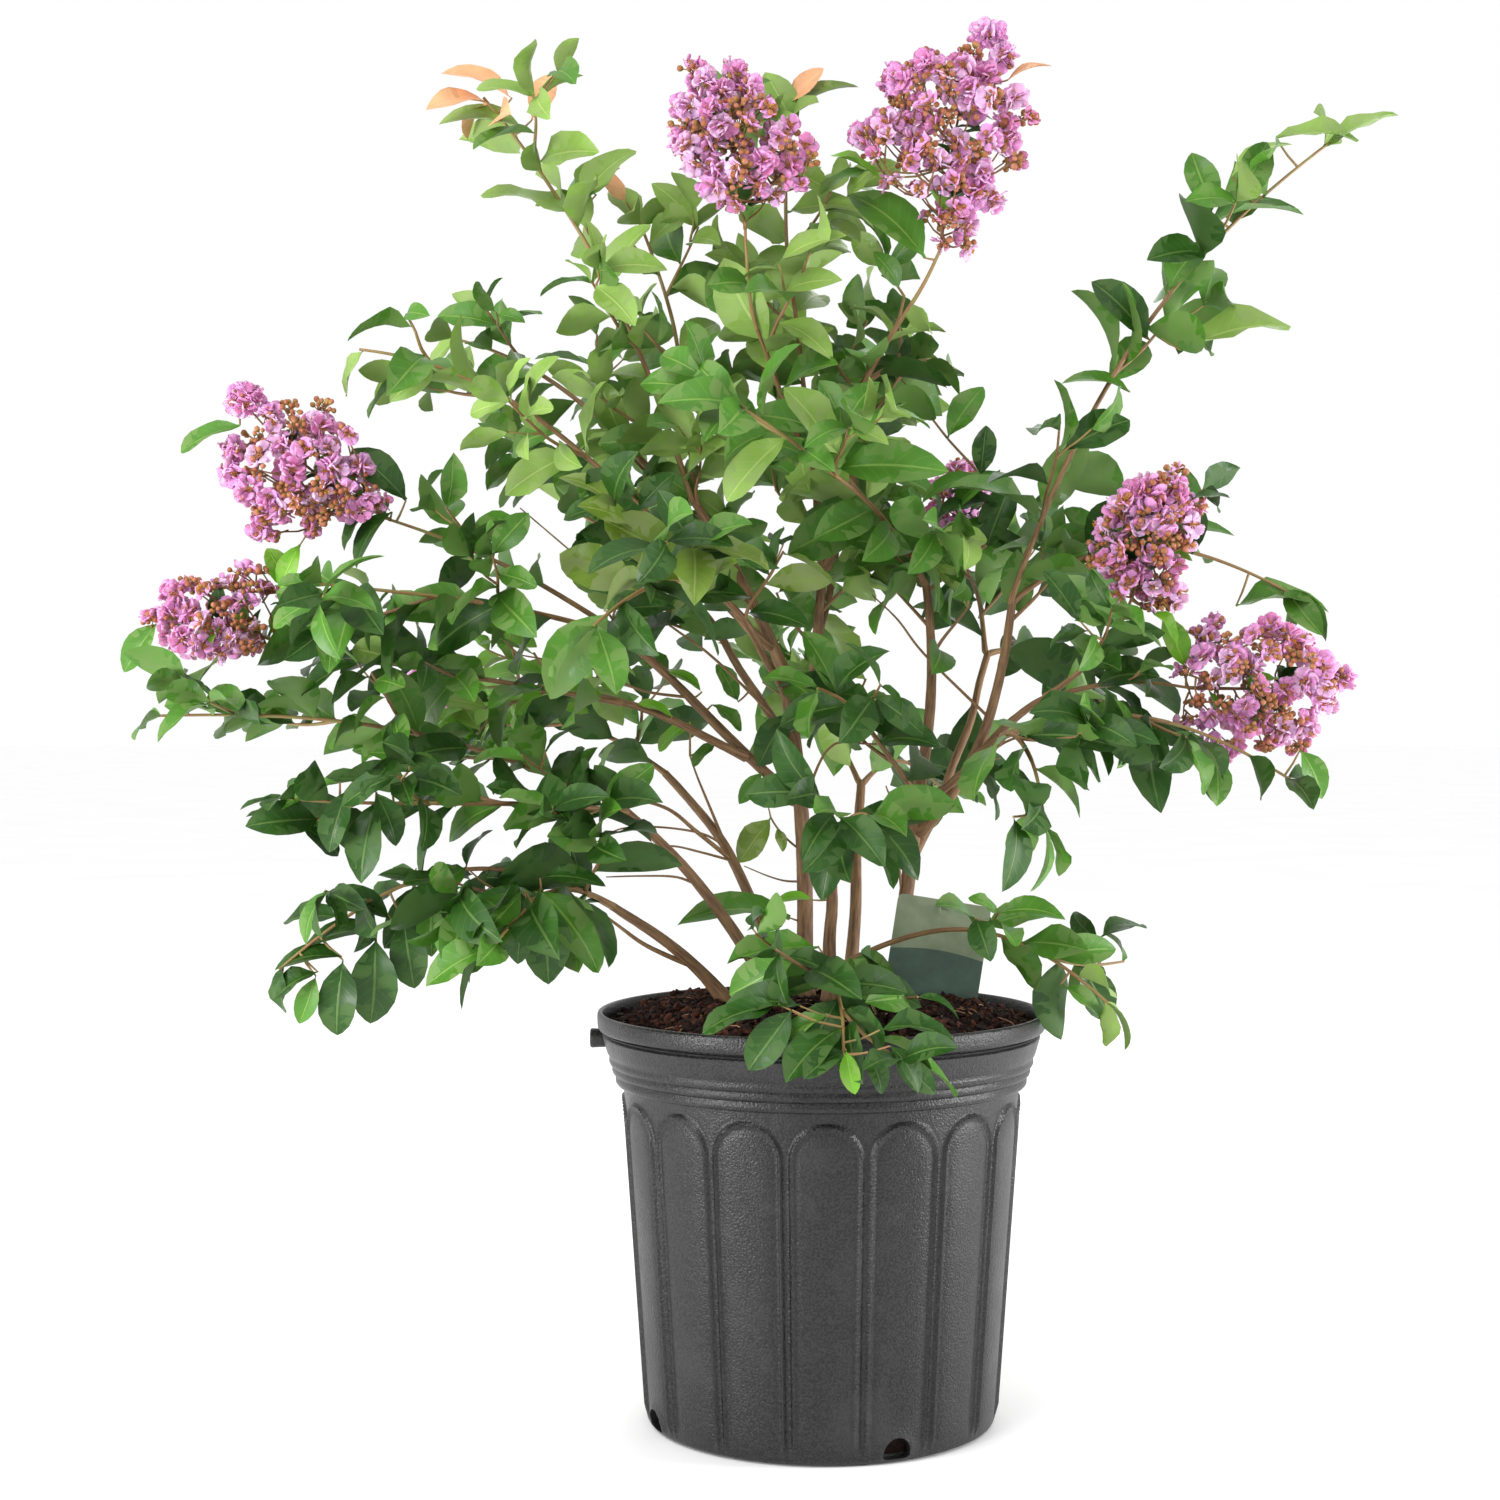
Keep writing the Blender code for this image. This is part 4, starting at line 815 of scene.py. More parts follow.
def new_tree(name: str, inputs: Sequence[tuple[str, str]]) -> NodeTree:
    """Starts a Geometry Nodes tree with a geometry in and out and some named inputs.

    Args:
        name: the tree's name.
        inputs: name and socket type of each further input.

    Returns:
        The tree, with its group input and output nodes in place.
    """
    tree = bpy.data.node_groups.new(name, "GeometryNodeTree")
    tree.interface.new_socket("Geometry", in_out="INPUT", socket_type="NodeSocketGeometry")
    for label, kind in inputs:
        tree.interface.new_socket(label, in_out="INPUT", socket_type=kind)
    tree.interface.new_socket("Geometry", in_out="OUTPUT", socket_type="NodeSocketGeometry")
    add_node(tree, "NodeGroupInput")
    add_node(tree, "NodeGroupOutput")
    return tree


def run_tree(obj: Object, tree: NodeTree, values: dict[str, Any]) -> None:
    """Runs a Geometry Nodes tree on an object and keeps the result as its plain mesh.

    Args:
        obj: the object.
        tree: the tree.
        values: the tree's inputs by name.
    """
    modifier = obj.modifiers.new(tree.name, "NODES")
    modifier.node_group = tree
    for item in tree.interface.items_tree:
        if item.in_out == "INPUT" and item.name in values:
            modifier[item.identifier] = values[item.name]
    bake_object(obj)


def show(obj: Object, nodes: Iterable[str] = ()) -> None:
    """Puts a finished piece on the body and the nodes that it stands for.

    Args:
        obj: the piece.
        nodes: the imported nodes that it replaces.
    """
    names = list(nodes)
    if names:
        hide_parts(*names)
    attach(obj, BODY)
    LOG.info("%s: %d faces", obj.name, len(obj.data.polygons))


def scatter_tree(parts: int) -> NodeTree:
    """Builds the tree that sets one of several small shapes on each point of a mesh.

    Args:
        parts: how many materials a shape has.

    Returns:
        The tree. Each point carries its own turn and size.
    """
    sockets = [("Shapes", "NodeSocketCollection"), ("Shape Count", "NodeSocketInt"),
               ("Size Jitter", "NodeSocketFloat"), ("Seed", "NodeSocketInt")]
    sockets += [(f"Material {k}", "NodeSocketMaterial") for k in range(parts)]
    tree = new_tree(f"scatter_{parts}", sockets)
    node, given = partial(add_node, tree), tree.nodes["Group Input"].outputs
    shapes = node("GeometryNodeCollectionInfo", {
        "Collection": given["Shapes"], "Separate Children": True, "Reset Children": True})
    last = node("ShaderNodeMath", {0: given["Shape Count"], 1: 1.0}, operation="SUBTRACT")
    pick = node("FunctionNodeRandomValue", {4: 0, 5: last, "Seed": given["Seed"]}, data_type="INT")
    least, most = [node("ShaderNodeMath", {0: 1.0, 1: given["Size Jitter"]}, operation=kind)
                   for kind in ("SUBTRACT", "ADD")]
    swing = node("FunctionNodeRandomValue", {2: least, 3: most, "Seed": given["Seed"]},
                 data_type="FLOAT")
    size, turn, part = [
        node("GeometryNodeInputNamedAttribute", {"Name": name}, data_type=kind)
        for name, kind in (("size", "FLOAT"), ("turn", "QUATERNION"), ("part", "INT"))]
    scale = node("ShaderNodeMath", {0: size, 1: swing.outputs[1]}, operation="MULTIPLY")
    copies = node("GeometryNodeInstanceOnPoints", {
        "Points": given["Geometry"], "Instance": shapes, "Pick Instance": True,
        "Instance Index": pick.outputs[2], "Rotation": turn, "Scale": scale})
    shape = node("GeometryNodeRealizeInstances", {0: copies})
    for k in range(parts):
        own = node("FunctionNodeCompare", {2: part, 3: k}, data_type="INT", operation="EQUAL")
        shape = node("GeometryNodeSetMaterial", {
            "Geometry": shape, "Selection": own, "Material": given[f"Material {k}"]})
    feed(tree, tree.nodes["Group Output"], {0: shape})
    return tree


@dataclass
class Scatter:
    """Small shapes, one unit long, set at many places and joined into one piece.

    Each shape has one material for each of its parts. The seed fixes the choice of shapes and
    sizes, and the jitter is how far a size may differ from the one asked for, as a share.
    """

    name: str
    shapes: Collection
    materials: Sequence[Material]
    seed: int
    jitter: float = 0.1
    spots: list[tuple[Vector, Quaternion, float]] = field(default_factory=list)
    nodes: set[str] = field(default_factory=set)
    trees: ClassVar[dict[int, NodeTree]] = {}

    def add(self, place: Vector, along: Vector, face: Vector, size: float, node: str) -> None:
        """Adds one shape.

        Args:
            place: where its root goes.
            along: the way its length runs.
            face: the way its upper side looks.
            size: its length.
            node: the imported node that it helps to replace.
        """
        along = along.normalized()
        face = (face - along * face.dot(along)).normalized()
        turn = Matrix((along, face.cross(along), face)).transposed().to_quaternion()
        self.spots.append((place, turn, size))
        self.nodes.add(node)

    def build(self) -> Object:
        """Sets the shapes on their places.

        Returns:
            The finished piece, a plain mesh.
        """
        mesh = bpy.data.meshes.new(self.name)
        mesh.from_pydata([place for place, _, _ in self.spots], [], [])
        turns = mesh.attributes.new("turn", "QUATERNION", "POINT")
        turns.data.foreach_set("value", [v for _, turn, _ in self.spots for v in turn])
        sizes = mesh.attributes.new("size", "FLOAT", "POINT")
        sizes.data.foreach_set("value", [size for _, _, size in self.spots])
        obj = new_object(self.name, mesh)
        parts = len(self.materials)
        if parts not in self.trees:
            self.trees[parts] = scatter_tree(parts)
        values = {"Shapes": self.shapes, "Shape Count": len(self.shapes.objects),
                  "Size Jitter": self.jitter, "Seed": self.seed}
        values |= {f"Material {k}": m for k, m in enumerate(self.materials)}
        run_tree(obj, self.trees[parts], values)
        return obj


def shape_collection(name: str, meshes: Iterable[Mesh]) -> Collection:
    """Keeps shape variants in a collection outside the scene.

    Args:
        name: the collection's name.
        meshes: the variants.

    Returns:
        The collection.
    """
    collection = bpy.data.collections.new(name)
    for k, mesh in enumerate(meshes):
        collection.objects.link(bpy.data.objects.new(f"{name}_{k}", mesh))
    return collection


def drop_collection(collection: Collection) -> None:
    """Removes a collection of shape variants once its piece is built.

    Args:
        collection: the collection.
    """
    for obj in list(collection.objects):
        bpy.data.objects.remove(obj)
    bpy.data.collections.remove(collection)


def tube_tree() -> NodeTree:
    """Builds the tree that grows a tapering tube round each line of a mesh.

    Returns:
        The tree. Its relief is a noise in the direction of the surface.
    """
    tree = new_tree("tube", [("Ring Step", "NodeSocketFloat"), ("Sides", "NodeSocketInt"),
                             ("Relief", "NodeSocketFloat"), ("Relief Size", "NodeSocketFloat"),
                             ("Material", "NodeSocketMaterial")])
    node, given = partial(add_node, tree), tree.nodes["Group Input"].outputs
    thickness, length, turn = [
        node("GeometryNodeInputNamedAttribute", {"Name": name}, data_type=kind)
        for name, kind in (("thickness", "FLOAT"), ("along", "FLOAT"), ("round", "FLOAT_VECTOR"))]
    lines = node("GeometryNodeMeshToCurve", {0: given["Geometry"]})
    steps = node("GeometryNodeResampleCurve", {"Curve": lines, "Length": given["Ring Step"]},
                 mode="LENGTH")
    along = node("GeometryNodeSplineParameter").outputs["Length"]
    kept_along = node("GeometryNodeStoreNamedAttribute",
                      {"Geometry": steps, "Name": "along", "Value": along},
                      data_type="FLOAT", domain="POINT")
    ring = node("GeometryNodeCurvePrimitiveCircle", {"Resolution": given["Sides"], "Radius": 1.0},
                mode="RADIUS")
    spot = node("GeometryNodeInputPosition")
    kept_round = node("GeometryNodeStoreNamedAttribute",
                      {"Geometry": ring, "Name": "round", "Value": spot},
                      data_type="FLOAT_VECTOR", domain="POINT")
    sized = node("GeometryNodeSetCurveRadius", {"Curve": kept_along, "Radius": thickness})
    skin = node("GeometryNodeCurveToMesh", {
        "Curve": sized, "Profile Curve": kept_round, "Fill Caps": True})
    if "Scale" in skin.inputs:
        feed(tree, skin, {"Scale": thickness})
    # Grain runs along the limb: the radius counts as 6 mm, and 10 mm along count as 1.4 mm.
    lap = node("ShaderNodeVectorMath", {0: turn, "Scale": 0.006}, operation="SCALE")
    run = node("ShaderNodeMath", {0: length, 1: 0.14}, operation="MULTIPLY")
    lift = node("ShaderNodeCombineXYZ", {"Z": run})
    grain = node("ShaderNodeVectorMath", {0: lap, 1: lift}, operation="ADD")
    marked = node("GeometryNodeStoreNamedAttribute",
                  {"Geometry": skin, "Name": "grain", "Value": grain},
                  data_type="FLOAT_VECTOR", domain="POINT")
    lumps = node("ShaderNodeTexNoise", {"Scale": given["Relief Size"], "Detail": 3.0})
    centred = node("ShaderNodeMath", {0: lumps.outputs["Fac"], 1: 0.5}, operation="SUBTRACT")
    rise = node("ShaderNodeMath", {0: centred, 1: given["Relief"]}, operation="MULTIPLY")
    normal = node("GeometryNodeInputNormal")
    push = node("ShaderNodeVectorMath", {0: normal, "Scale": rise}, operation="SCALE")
    moved = node("GeometryNodeSetPosition", {"Geometry": marked, "Offset": push})
    smooth = node("GeometryNodeSetShadeSmooth", {"Geometry": moved})
    real = node("GeometryNodeRealizeInstances", {0: smooth})
    done = node("GeometryNodeSetMaterial", {"Geometry": real, "Material": given["Material"]})
    feed(tree, tree.nodes["Group Output"], {0: done})
    return tree


@dataclass
class Tubes:
    """Tapering limbs, twigs or stalks along many lines, joined into one piece.

    Step is the distance between a tube's rings, relief and relief_size are the height and the
    width of its lumps, all in millimetres.
    """

    name: str
    material: Material
    sides: int
    step: float
    relief: float = 0.0
    relief_size: float = 6.0
    points: list[Vector] = field(default_factory=list)
    radii: list[float] = field(default_factory=list)
    edges: list[tuple[int, int]] = field(default_factory=list)
    nodes: set[str] = field(default_factory=set)
    tree: ClassVar[NodeTree | None] = None

    def add(self, spots: Sequence[tuple[Vector, float]], node: str) -> None:
        """Adds a line of points with their radii.

        Args:
            spots: the points and radii, in metres.
            node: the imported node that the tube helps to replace.
        """
        first = len(self.points)
        self.points += [place for place, _ in spots]
        self.radii += [radius for _, radius in spots]
        self.edges += [(first + k, first + k + 1) for k in range(len(spots) - 1)]
        self.nodes.add(node)

    def build(self) -> Object:
        """Grows the tubes.

        Returns:
            The finished piece, a plain mesh.
        """
        mesh = bpy.data.meshes.new(self.name)
        mesh.from_pydata(self.points, self.edges, [])
        thickness = mesh.attributes.new("thickness", "FLOAT", "POINT")
        thickness.data.foreach_set("value", self.radii)
        obj = new_object(self.name, mesh)
        if Tubes.tree is None:
            Tubes.tree = tube_tree()
        run_tree(obj, Tubes.tree, {
            "Ring Step": self.step * MM, "Sides": self.sides, "Relief": self.relief * MM,
            "Relief Size": 1.0 / (self.relief_size * MM), "Material": self.material})
        return obj


def vector(values: Sequence[float]) -> Vector:
    """A place in metres from a table entry in millimetres."""
    return Vector(values) * MM


class Line:
    """A limb's centre line, from its seat to its tip, with its radius along the way."""

    lead_share = 0.08
    waver = 1.2
    waver_length = 100.0
    flare_reach = 9.0

    def __init__(self, seat: Vector, facing: Vector, tip: Vector, bow: Vector,
                 radii: tuple[float, float], flare: float = 0.0) -> None:
        """Lays a cubic line that leaves its seat the way that the seat faces.

        Args:
            seat: where the limb starts.
            facing: the way the seat faces.
            tip: where the limb ends.
            bow: how far its middle stands off the straight way.
            radii: radius at seat and tip, in millimetres.
            flare: swelling of the foot as a share of the radius.
        """
        self.start = seat
        self.radii = radii
        self.flare = flare
        reach = tip - seat
        self.length = reach.length
        middle = (seat + tip) / 2.0 + bow * 2.0
        lead = facing * (self.length * self.lead_share)
        self.knots = (seat, seat + (middle - seat) * (2.0 / 3.0) + lead,
                      tip + (middle - tip) * (2.0 / 3.0), tip)
        across = reach.cross(UP)
        self.across = (across if across.length > MM else Vector((1.0, 0.0, 0.0))).normalized()
        self.waves = max(1, round(self.length / (self.waver_length * MM)))

    def point(self, t: float) -> Vector:
        """The point at a share t of the way from seat to tip."""
        a, b, c, d = self.knots
        u = 1.0 - t
        bezier = a * u**3 + b * (3.0 * u * u * t) + c * (3.0 * u * t * t) + d * t**3
        swing = sin(pi * t) * sin(tau * self.waves * t)
        return bezier + self.across * (self.waver * MM * swing)

    def tangent(self, t: float) -> Vector:
        """The direction of growth at t."""
        return (self.point(min(1.0, t + 0.01)) - self.point(max(0.0, t - 0.01))).normalized()

    def radius(self, t: float) -> float:
        """The limb's radius at t, with the swelling of its foot."""
        plain = self.radii[0] + (self.radii[1] - self.radii[0]) * t
        swell = self.flare * exp(-t * self.length / (self.flare_reach * MM))
        return plain * (1.0 + swell) * MM

    def samples(self, spacing: float) -> list[tuple[Vector, float]]:
        """Points and radii along the line, about a spacing in metres apart."""
        count = max(2, round(self.length / spacing))
        return [(self.point(k / count), self.radius(k / count)) for k in range(count + 1)]


def smoothed(spots: Sequence[Vector], steps: int = 6) -> list[Vector]:
    """Lays a smooth line through some places.

    Args:
        spots: the places.
        steps: points from one place to the next.

    Returns:
        The line's points.
    """
    ends = [spots[0] * 2.0 - spots[1], *spots, spots[-1] * 2.0 - spots[-2]]
    line = []
    for a, b, c, d in zip(ends, ends[1:], ends[2:], ends[3:]):
        for k in range(steps):
            t = k / steps
            line.append((b * 2.0 + (c - a) * t + (a * 2.0 - b * 5.0 + c * 4.0 - d) * (t * t)
                         + (b * 3.0 - a - c * 3.0 + d) * t ** 3) * 0.5)
    return [*line, spots[-1]]


@dataclass
class Skeleton:
    """The stems, boughs and spray stems, by the same rule and tables as the solids."""

    soil_top: float = 256.0
    gap: float = 0.3
    foot_flare: float = 0.5
    fork_offset: float = 2.1
    spray_radii: tuple[float, float] = (1.8, 0.9)
    lines: dict[str, Line] = field(default_factory=dict)
    parents: dict[str, tuple[str, float]] = field(default_factory=dict)

    def grow(self) -> None:
        """Lays every line, stems first, then the limbs that leave them."""
        for stem in STEMS:
            foot = vector((*stem.foot, self.soil_top + self.gap))
            self.lines[stem.name] = Line(foot, UP, vector(stem.tip), vector(stem.bow), stem.radii,
                                         self.foot_flare)
        for limb in (*BOUGHS, *SPRAYS):
            is_spray = isinstance(limb, Spray)
            parent = self.lines[limb.parent]
            tip, bow = vector(limb.tip), vector(limb.bow)
            axis = parent.tangent(limb.along)
            seat = parent.point(limb.along)
            if limb.along < 1.0:
                facing = (seat + tip) / 2.0 + bow * 2.0 - seat
                facing = (facing - axis * facing.dot(axis)).normalized()
                seat = seat + facing * (parent.radius(limb.along) + self.gap * MM)
            else:
                facing = axis
                seat = seat + axis * (self.gap * MM) + self.aside(limb, axis)
            radii = self.spray_radii if is_spray else limb.radii
            self.lines[limb.name] = Line(seat, facing, tip, bow, radii)
            self.parents[limb.name] = (limb.parent, limb.along)

    def aside(self, limb: Bough | Spray, axis: Vector) -> Vector:
        """How far a spray's seat moves aside where two sprays share a limb's tip.

        Args:
            limb: the spray, or a bough, which stays in the middle.
            axis: the way the limb's tip grows.

        Returns:
            The shift in metres.
        """
        others = [s for s in SPRAYS if s.parent == limb.parent and s.along == 1.0 and s != limb]
        if not isinstance(limb, Spray) or not others:
            return Vector((0.0, 0.0, 0.0))
        leads = [vector(s.tip) * 0.5 + vector(s.bow) * 2.0 for s in (limb, others[0])]
        apart = leads[0] - leads[1]
        apart -= axis * apart.dot(axis)
        return apart.normalized() * (self.fork_offset * MM)

    def tube(self, name: str, spacing: float = 4.0) -> list[tuple[Vector, float]]:
        """A limb's points and radii, begun inside its parent so that the fork is closed.

        Args:
            name: the limb.
            spacing: distance between the points in millimetres.

        Returns:
            Points and radii in metres.
        """
        line = self.lines[name]
        spots = line.samples(spacing * MM)
        if name not in self.parents:
            # A stem's foot goes on into the soil.
            return [(line.start - UP * (7.0 * MM), line.radius(0.0) * 1.1), *spots]
        parent, along = self.parents[name]
        root = self.lines[parent].point(along if along < 1.0 else 0.985)
        collar = [(place, radius * (1.0 + 0.34 * exp(-(place - root).length / (7.0 * MM))))
                  for place, radius in spots]
        return [(root, min(self.lines[parent].radius(along) * 0.9, spots[0][1] * 1.3)), *collar]


def bloom_shape(t: float) -> float:
    """The blossom's radius at t from its foot to its top, as a share of the widest."""
    return sqrt(max(0.0, sin(pi * min(1.0, 0.12 + 0.88 * t ** 0.8))))


def bloom_line(spray: Spray) -> list[tuple[Vector, float]]:
    """Points up the middle of a spray's blossom, with its radius, or nothing."""
    if not spray.bloom_end:
        return []
    start, end = vector(spray.tip), vector(spray.bloom_end)
    return [(start.lerp(end, k / 6.0), spray.bloom_width / 2.0 * MM * bloom_shape(k / 6.0))
            for k in range(1, 7)]


class SearchTree:
    """Points with a radius each, found by place."""

    def __init__(self, spots: list[tuple[Vector, float]]) -> None:
        """Sorts the points for the search."""
        self.spots = spots
        self.tree = kdtree.KDTree(len(spots))
        for index, (place, _) in enumerate(spots):
            self.tree.insert(place, index)
        self.tree.balance()

    def nearest(self, place: Vector) -> float:
        """Distance to the nearest point."""
        return self.tree.find(place)[2]

    def clear(self, place: Vector, reach: float, margin: float, least: float = 0.0) -> bool:
        """Whether a place keeps clear of every point's radius.

        Args:
            place: the place.
            reach: how far points are sought, in millimetres.
            margin: the clearance in millimetres.
            least: points with a smaller radius in millimetres don't count.

        Returns:
            True where nothing is too near.
        """
        for _, index, distance in self.tree.find_range(place, reach * MM):
            radius = self.spots[index][1]
            if radius >= least * MM and distance < radius + margin * MM:
                return False
        return True


@dataclass
class Space:
    """What twigs and leaves keep clear of: limbs, blossom, container, soil, label, each other."""

    skeleton: Skeleton
    overlap: float = 13.0
    limb_clear: float = 1.2
    bloom_clear: float = -4.0
    leaf_apart: float = 14.0
    rim_keep: tuple[float, float] = (141.0, 259.0)
    label_depth: float = 12.0
    tag_box: tuple[tuple, tuple] = ((72.0, 14.0, 283.0), (38.0, 9.0, 40.0))
    heads: list[tuple[float, tuple]] = field(default_factory=list)
    own: dict[str, SearchTree] = field(default_factory=dict)
    rest: dict[str, SearchTree] = field(default_factory=dict)
    middles: dict[tuple[int, int, int], list[Vector]] = field(default_factory=dict)

    def prepare(self) -> None:
        """Sorts the limbs, and each spray's own line and its neighbours'."""
        lines = self.skeleton.lines
        limbs = [spot for limb in (*STEMS, *BOUGHS) for spot in lines[limb.name].samples(0.005)]
        self.limbs = SearchTree(limbs)
        self.blooms = SearchTree([p for s in SPRAYS for p in bloom_line(s)])
        for spray in SPRAYS:
            if spray.name in GROUPS:
                columns, rows = zip(*[group[:2] for group in GROUPS[spray.name]])
                head = (*((min(v) + max(v)) / 2.0 for v in (columns, rows)),
                        *((max(v) - min(v)) / 2.0 for v in (columns, rows)))
                self.heads.append((vector(spray.bloom_end).y, head))
        spots = {s.name: lines[s.name].samples(0.005) + bloom_line(s) for s in SPRAYS}
        for spray in SPRAYS:
            self.own[spray.name] = SearchTree(spots[spray.name])
            self.rest[spray.name] = SearchTree(
                [p for name, own in spots.items() if name != spray.name for p in own])

    def keeps_out(self, place: Vector) -> bool:
        """Whether a place is clear of the container, the soil and the label."""
        x, y, z = place / MM
        if z < self.rim_keep[1] and hypot(x, y) < self.rim_keep[0]:
            return False
        centre, half = self.tag_box
        return any(abs(v - c) > h for v, c, h in zip((x, y, z), centre, half))

    def in_window(self, place: Vector) -> bool:
        """Whether a place shows where the photograph has sky, or hides the label."""
        px, py = VIEW.pixel(place)
        windows = SKY + ((LABEL_WINDOW,) if place.y < self.label_depth * MM else ())
        windows += tuple(head for depth, head in self.heads if place.y < depth)
        return any(((px - x) / w) ** 2 + ((py - y) / h) ** 2 < 1.0 for x, y, w, h in windows)

    def is_free(self, spray: Spray, places: Iterable[Vector]) -> bool:
        """Whether all the places lie in a spray's space and clear of the hard things.

        Args:
            spray: the spray that grows there.
            places: the places.

        Returns:
            True where every one is free.
        """
        own, rest = self.own[spray.name], self.rest[spray.name]
        for place in places:
            if not self.keeps_out(place) or self.in_window(place):
                return False
            if own.nearest(place) > rest.nearest(place) + self.overlap * MM:
                return False
            if not self.limbs.clear(place, 9.0, self.limb_clear):
                return False
            if not self.blooms.clear(place, 60.0, self.bloom_clear):
                return False
        return True

    def claim(self, middle: Vector) -> bool:
        """Takes a leaf's middle unless another leaf's is too near.

        Args:
            middle: the middle of the leaf.

        Returns:
            True where it was free.
        """
        cell = tuple(int(v // (self.leaf_apart * MM)) for v in middle)
        for step in product((-1, 0, 1), repeat=3):
            near = self.middles.get(tuple(c + s for c, s in zip(cell, step)), ())
            if any((middle - m).length < self.leaf_apart * MM for m in near):
                return False
        self.middles.setdefault(cell, []).append(middle)
        return True


@dataclass
class LeafShapes:
    """Leaf blades one unit long: oval with a drawn-out point, folded, arched and waved."""

    variants: int = 12
    half_width: float = 0.255
    thickness: float = 0.010
    outline: tuple[tuple[float, float], ...] = (
        (0.0, 0.05), (0.05, 0.06), (0.16, 0.42), (0.30, 0.78), (0.45, 0.97), (0.60, 1.0),
        (0.74, 0.89), (0.87, 0.62), (0.96, 0.26))

    def make(self) -> Collection:
        """Builds the variants.

        Returns:
            Their collection.
        """
        rng = Random(41)
        return shape_collection("leaf_shape", [self.blade(k, rng) for k in range(self.variants)])

    def blade(self, index: int, rng: Random) -> Mesh:
        """Builds one variant as a thin closed mesh.

        Args:
            index: its number.
            rng: fixes its bends.

        Returns:
            The mesh, with a UV map and the part of each face: blade, underside or rib.
        """
        fold = rng.uniform(0.05, 0.55)
        arch = rng.uniform(0.06, 0.38)
        twist = rng.uniform(-0.40, 0.40)
        sickle = rng.uniform(-0.09, 0.09)
        wave = rng.uniform(0.010, 0.045)
        waves = rng.uniform(1.2, 2.2)
        phases = (rng.uniform(0.0, tau), rng.uniform(0.0, tau))
        squat = rng.uniform(0.88, 1.10)

        def spot(u: float, width: float, v: float, below: bool) -> Vector:
            """A point of the blade, v from -1 at one edge to 1 at the other."""
            y = v * width * self.half_width * squat
            z = abs(y) * fold + sin(pi * min(u, 0.98)) * 0.03
            z += wave * v * v * sin(tau * waves * u + phases[0 if v < 0.0 else 1])
            z -= arch * u * u + 0.05 * u ** 6
            turn = twist * u
            y, z2 = y * cos(turn) - z * sin(turn), y * sin(turn) + z * cos(turn)
            drop = self.thickness * (1.0 - 0.6 * u) if below else 0.0
            return Vector((u, y + sickle * u * u, z2 - drop))

        bm = bmesh.new()
        uv = bm.loops.layers.uv.new("UVMap")
        part = bm.faces.layers.int.new("part")
        columns = (-1.0, -0.5, 0.0, 0.5, 1.0)
        rows = [(u, [bm.verts.new(spot(u, width, v, False)) for v in columns],
                 bm.verts.new(spot(u, width, 0.0, True))) for u, width in self.outline]
        end = bm.verts.new(spot(1.0, 0.0, 0.0, False))

        def face(verts: Sequence[BMVert], places: Sequence[tuple[float, float]],
                 kind: int) -> None:
            """Adds a face with its UV places and its part."""
            new = bm.faces.new(verts)
            new[part] = kind
            new.smooth = True
            for loop, (u, v) in zip(new.loops, places):
                loop[uv].uv = (u, v * 0.5 + 0.5)

        for (u0, a, keel0), (u1, b, keel1) in zip(rows, rows[1:]):
            for k, (v0, v1) in enumerate(zip(columns, columns[1:])):
                face((a[k], a[k + 1], b[k + 1], b[k]), ((u0, v0), (u0, v1), (u1, v1), (u1, v0)), 0)
            face((keel0, a[0], b[0], keel1), ((u0, 0.0), (u0, -1.0), (u1, -1.0), (u1, 0.0)), 1)
            face((a[4], keel0, keel1, b[4]), ((u0, 1.0), (u0, 0.0), (u1, 0.0), (u1, 1.0)), 1)
        u, row, keel = rows[-1]
        for k, (v0, v1) in enumerate(zip(columns, columns[1:])):
            face((row[k], row[k + 1], end), ((u, v0), (u, v1), (1.0, 0.0)), 0)
        face((keel, row[0], end), ((u, 0.0), (u, -1.0), (1.0, 0.0)), 1)
        face((row[4], keel, end), ((u, 1.0), (u, 0.0), (1.0, 0.0)), 1)
        face([*reversed(rows[0][1]), rows[0][2]], [(0.0, 0.0)] * 6, 1)
        bmesh.ops.recalc_face_normals(bm, faces=bm.faces)
        # The blade's edge is sharp, so that its shine stays flat up to the outline.
        for edge in bm.edges:
            edge.smooth = len({f[part] for f in edge.link_faces}) == 1
        return mesh_from(f"leaf_{index}", bm, smooth=False)


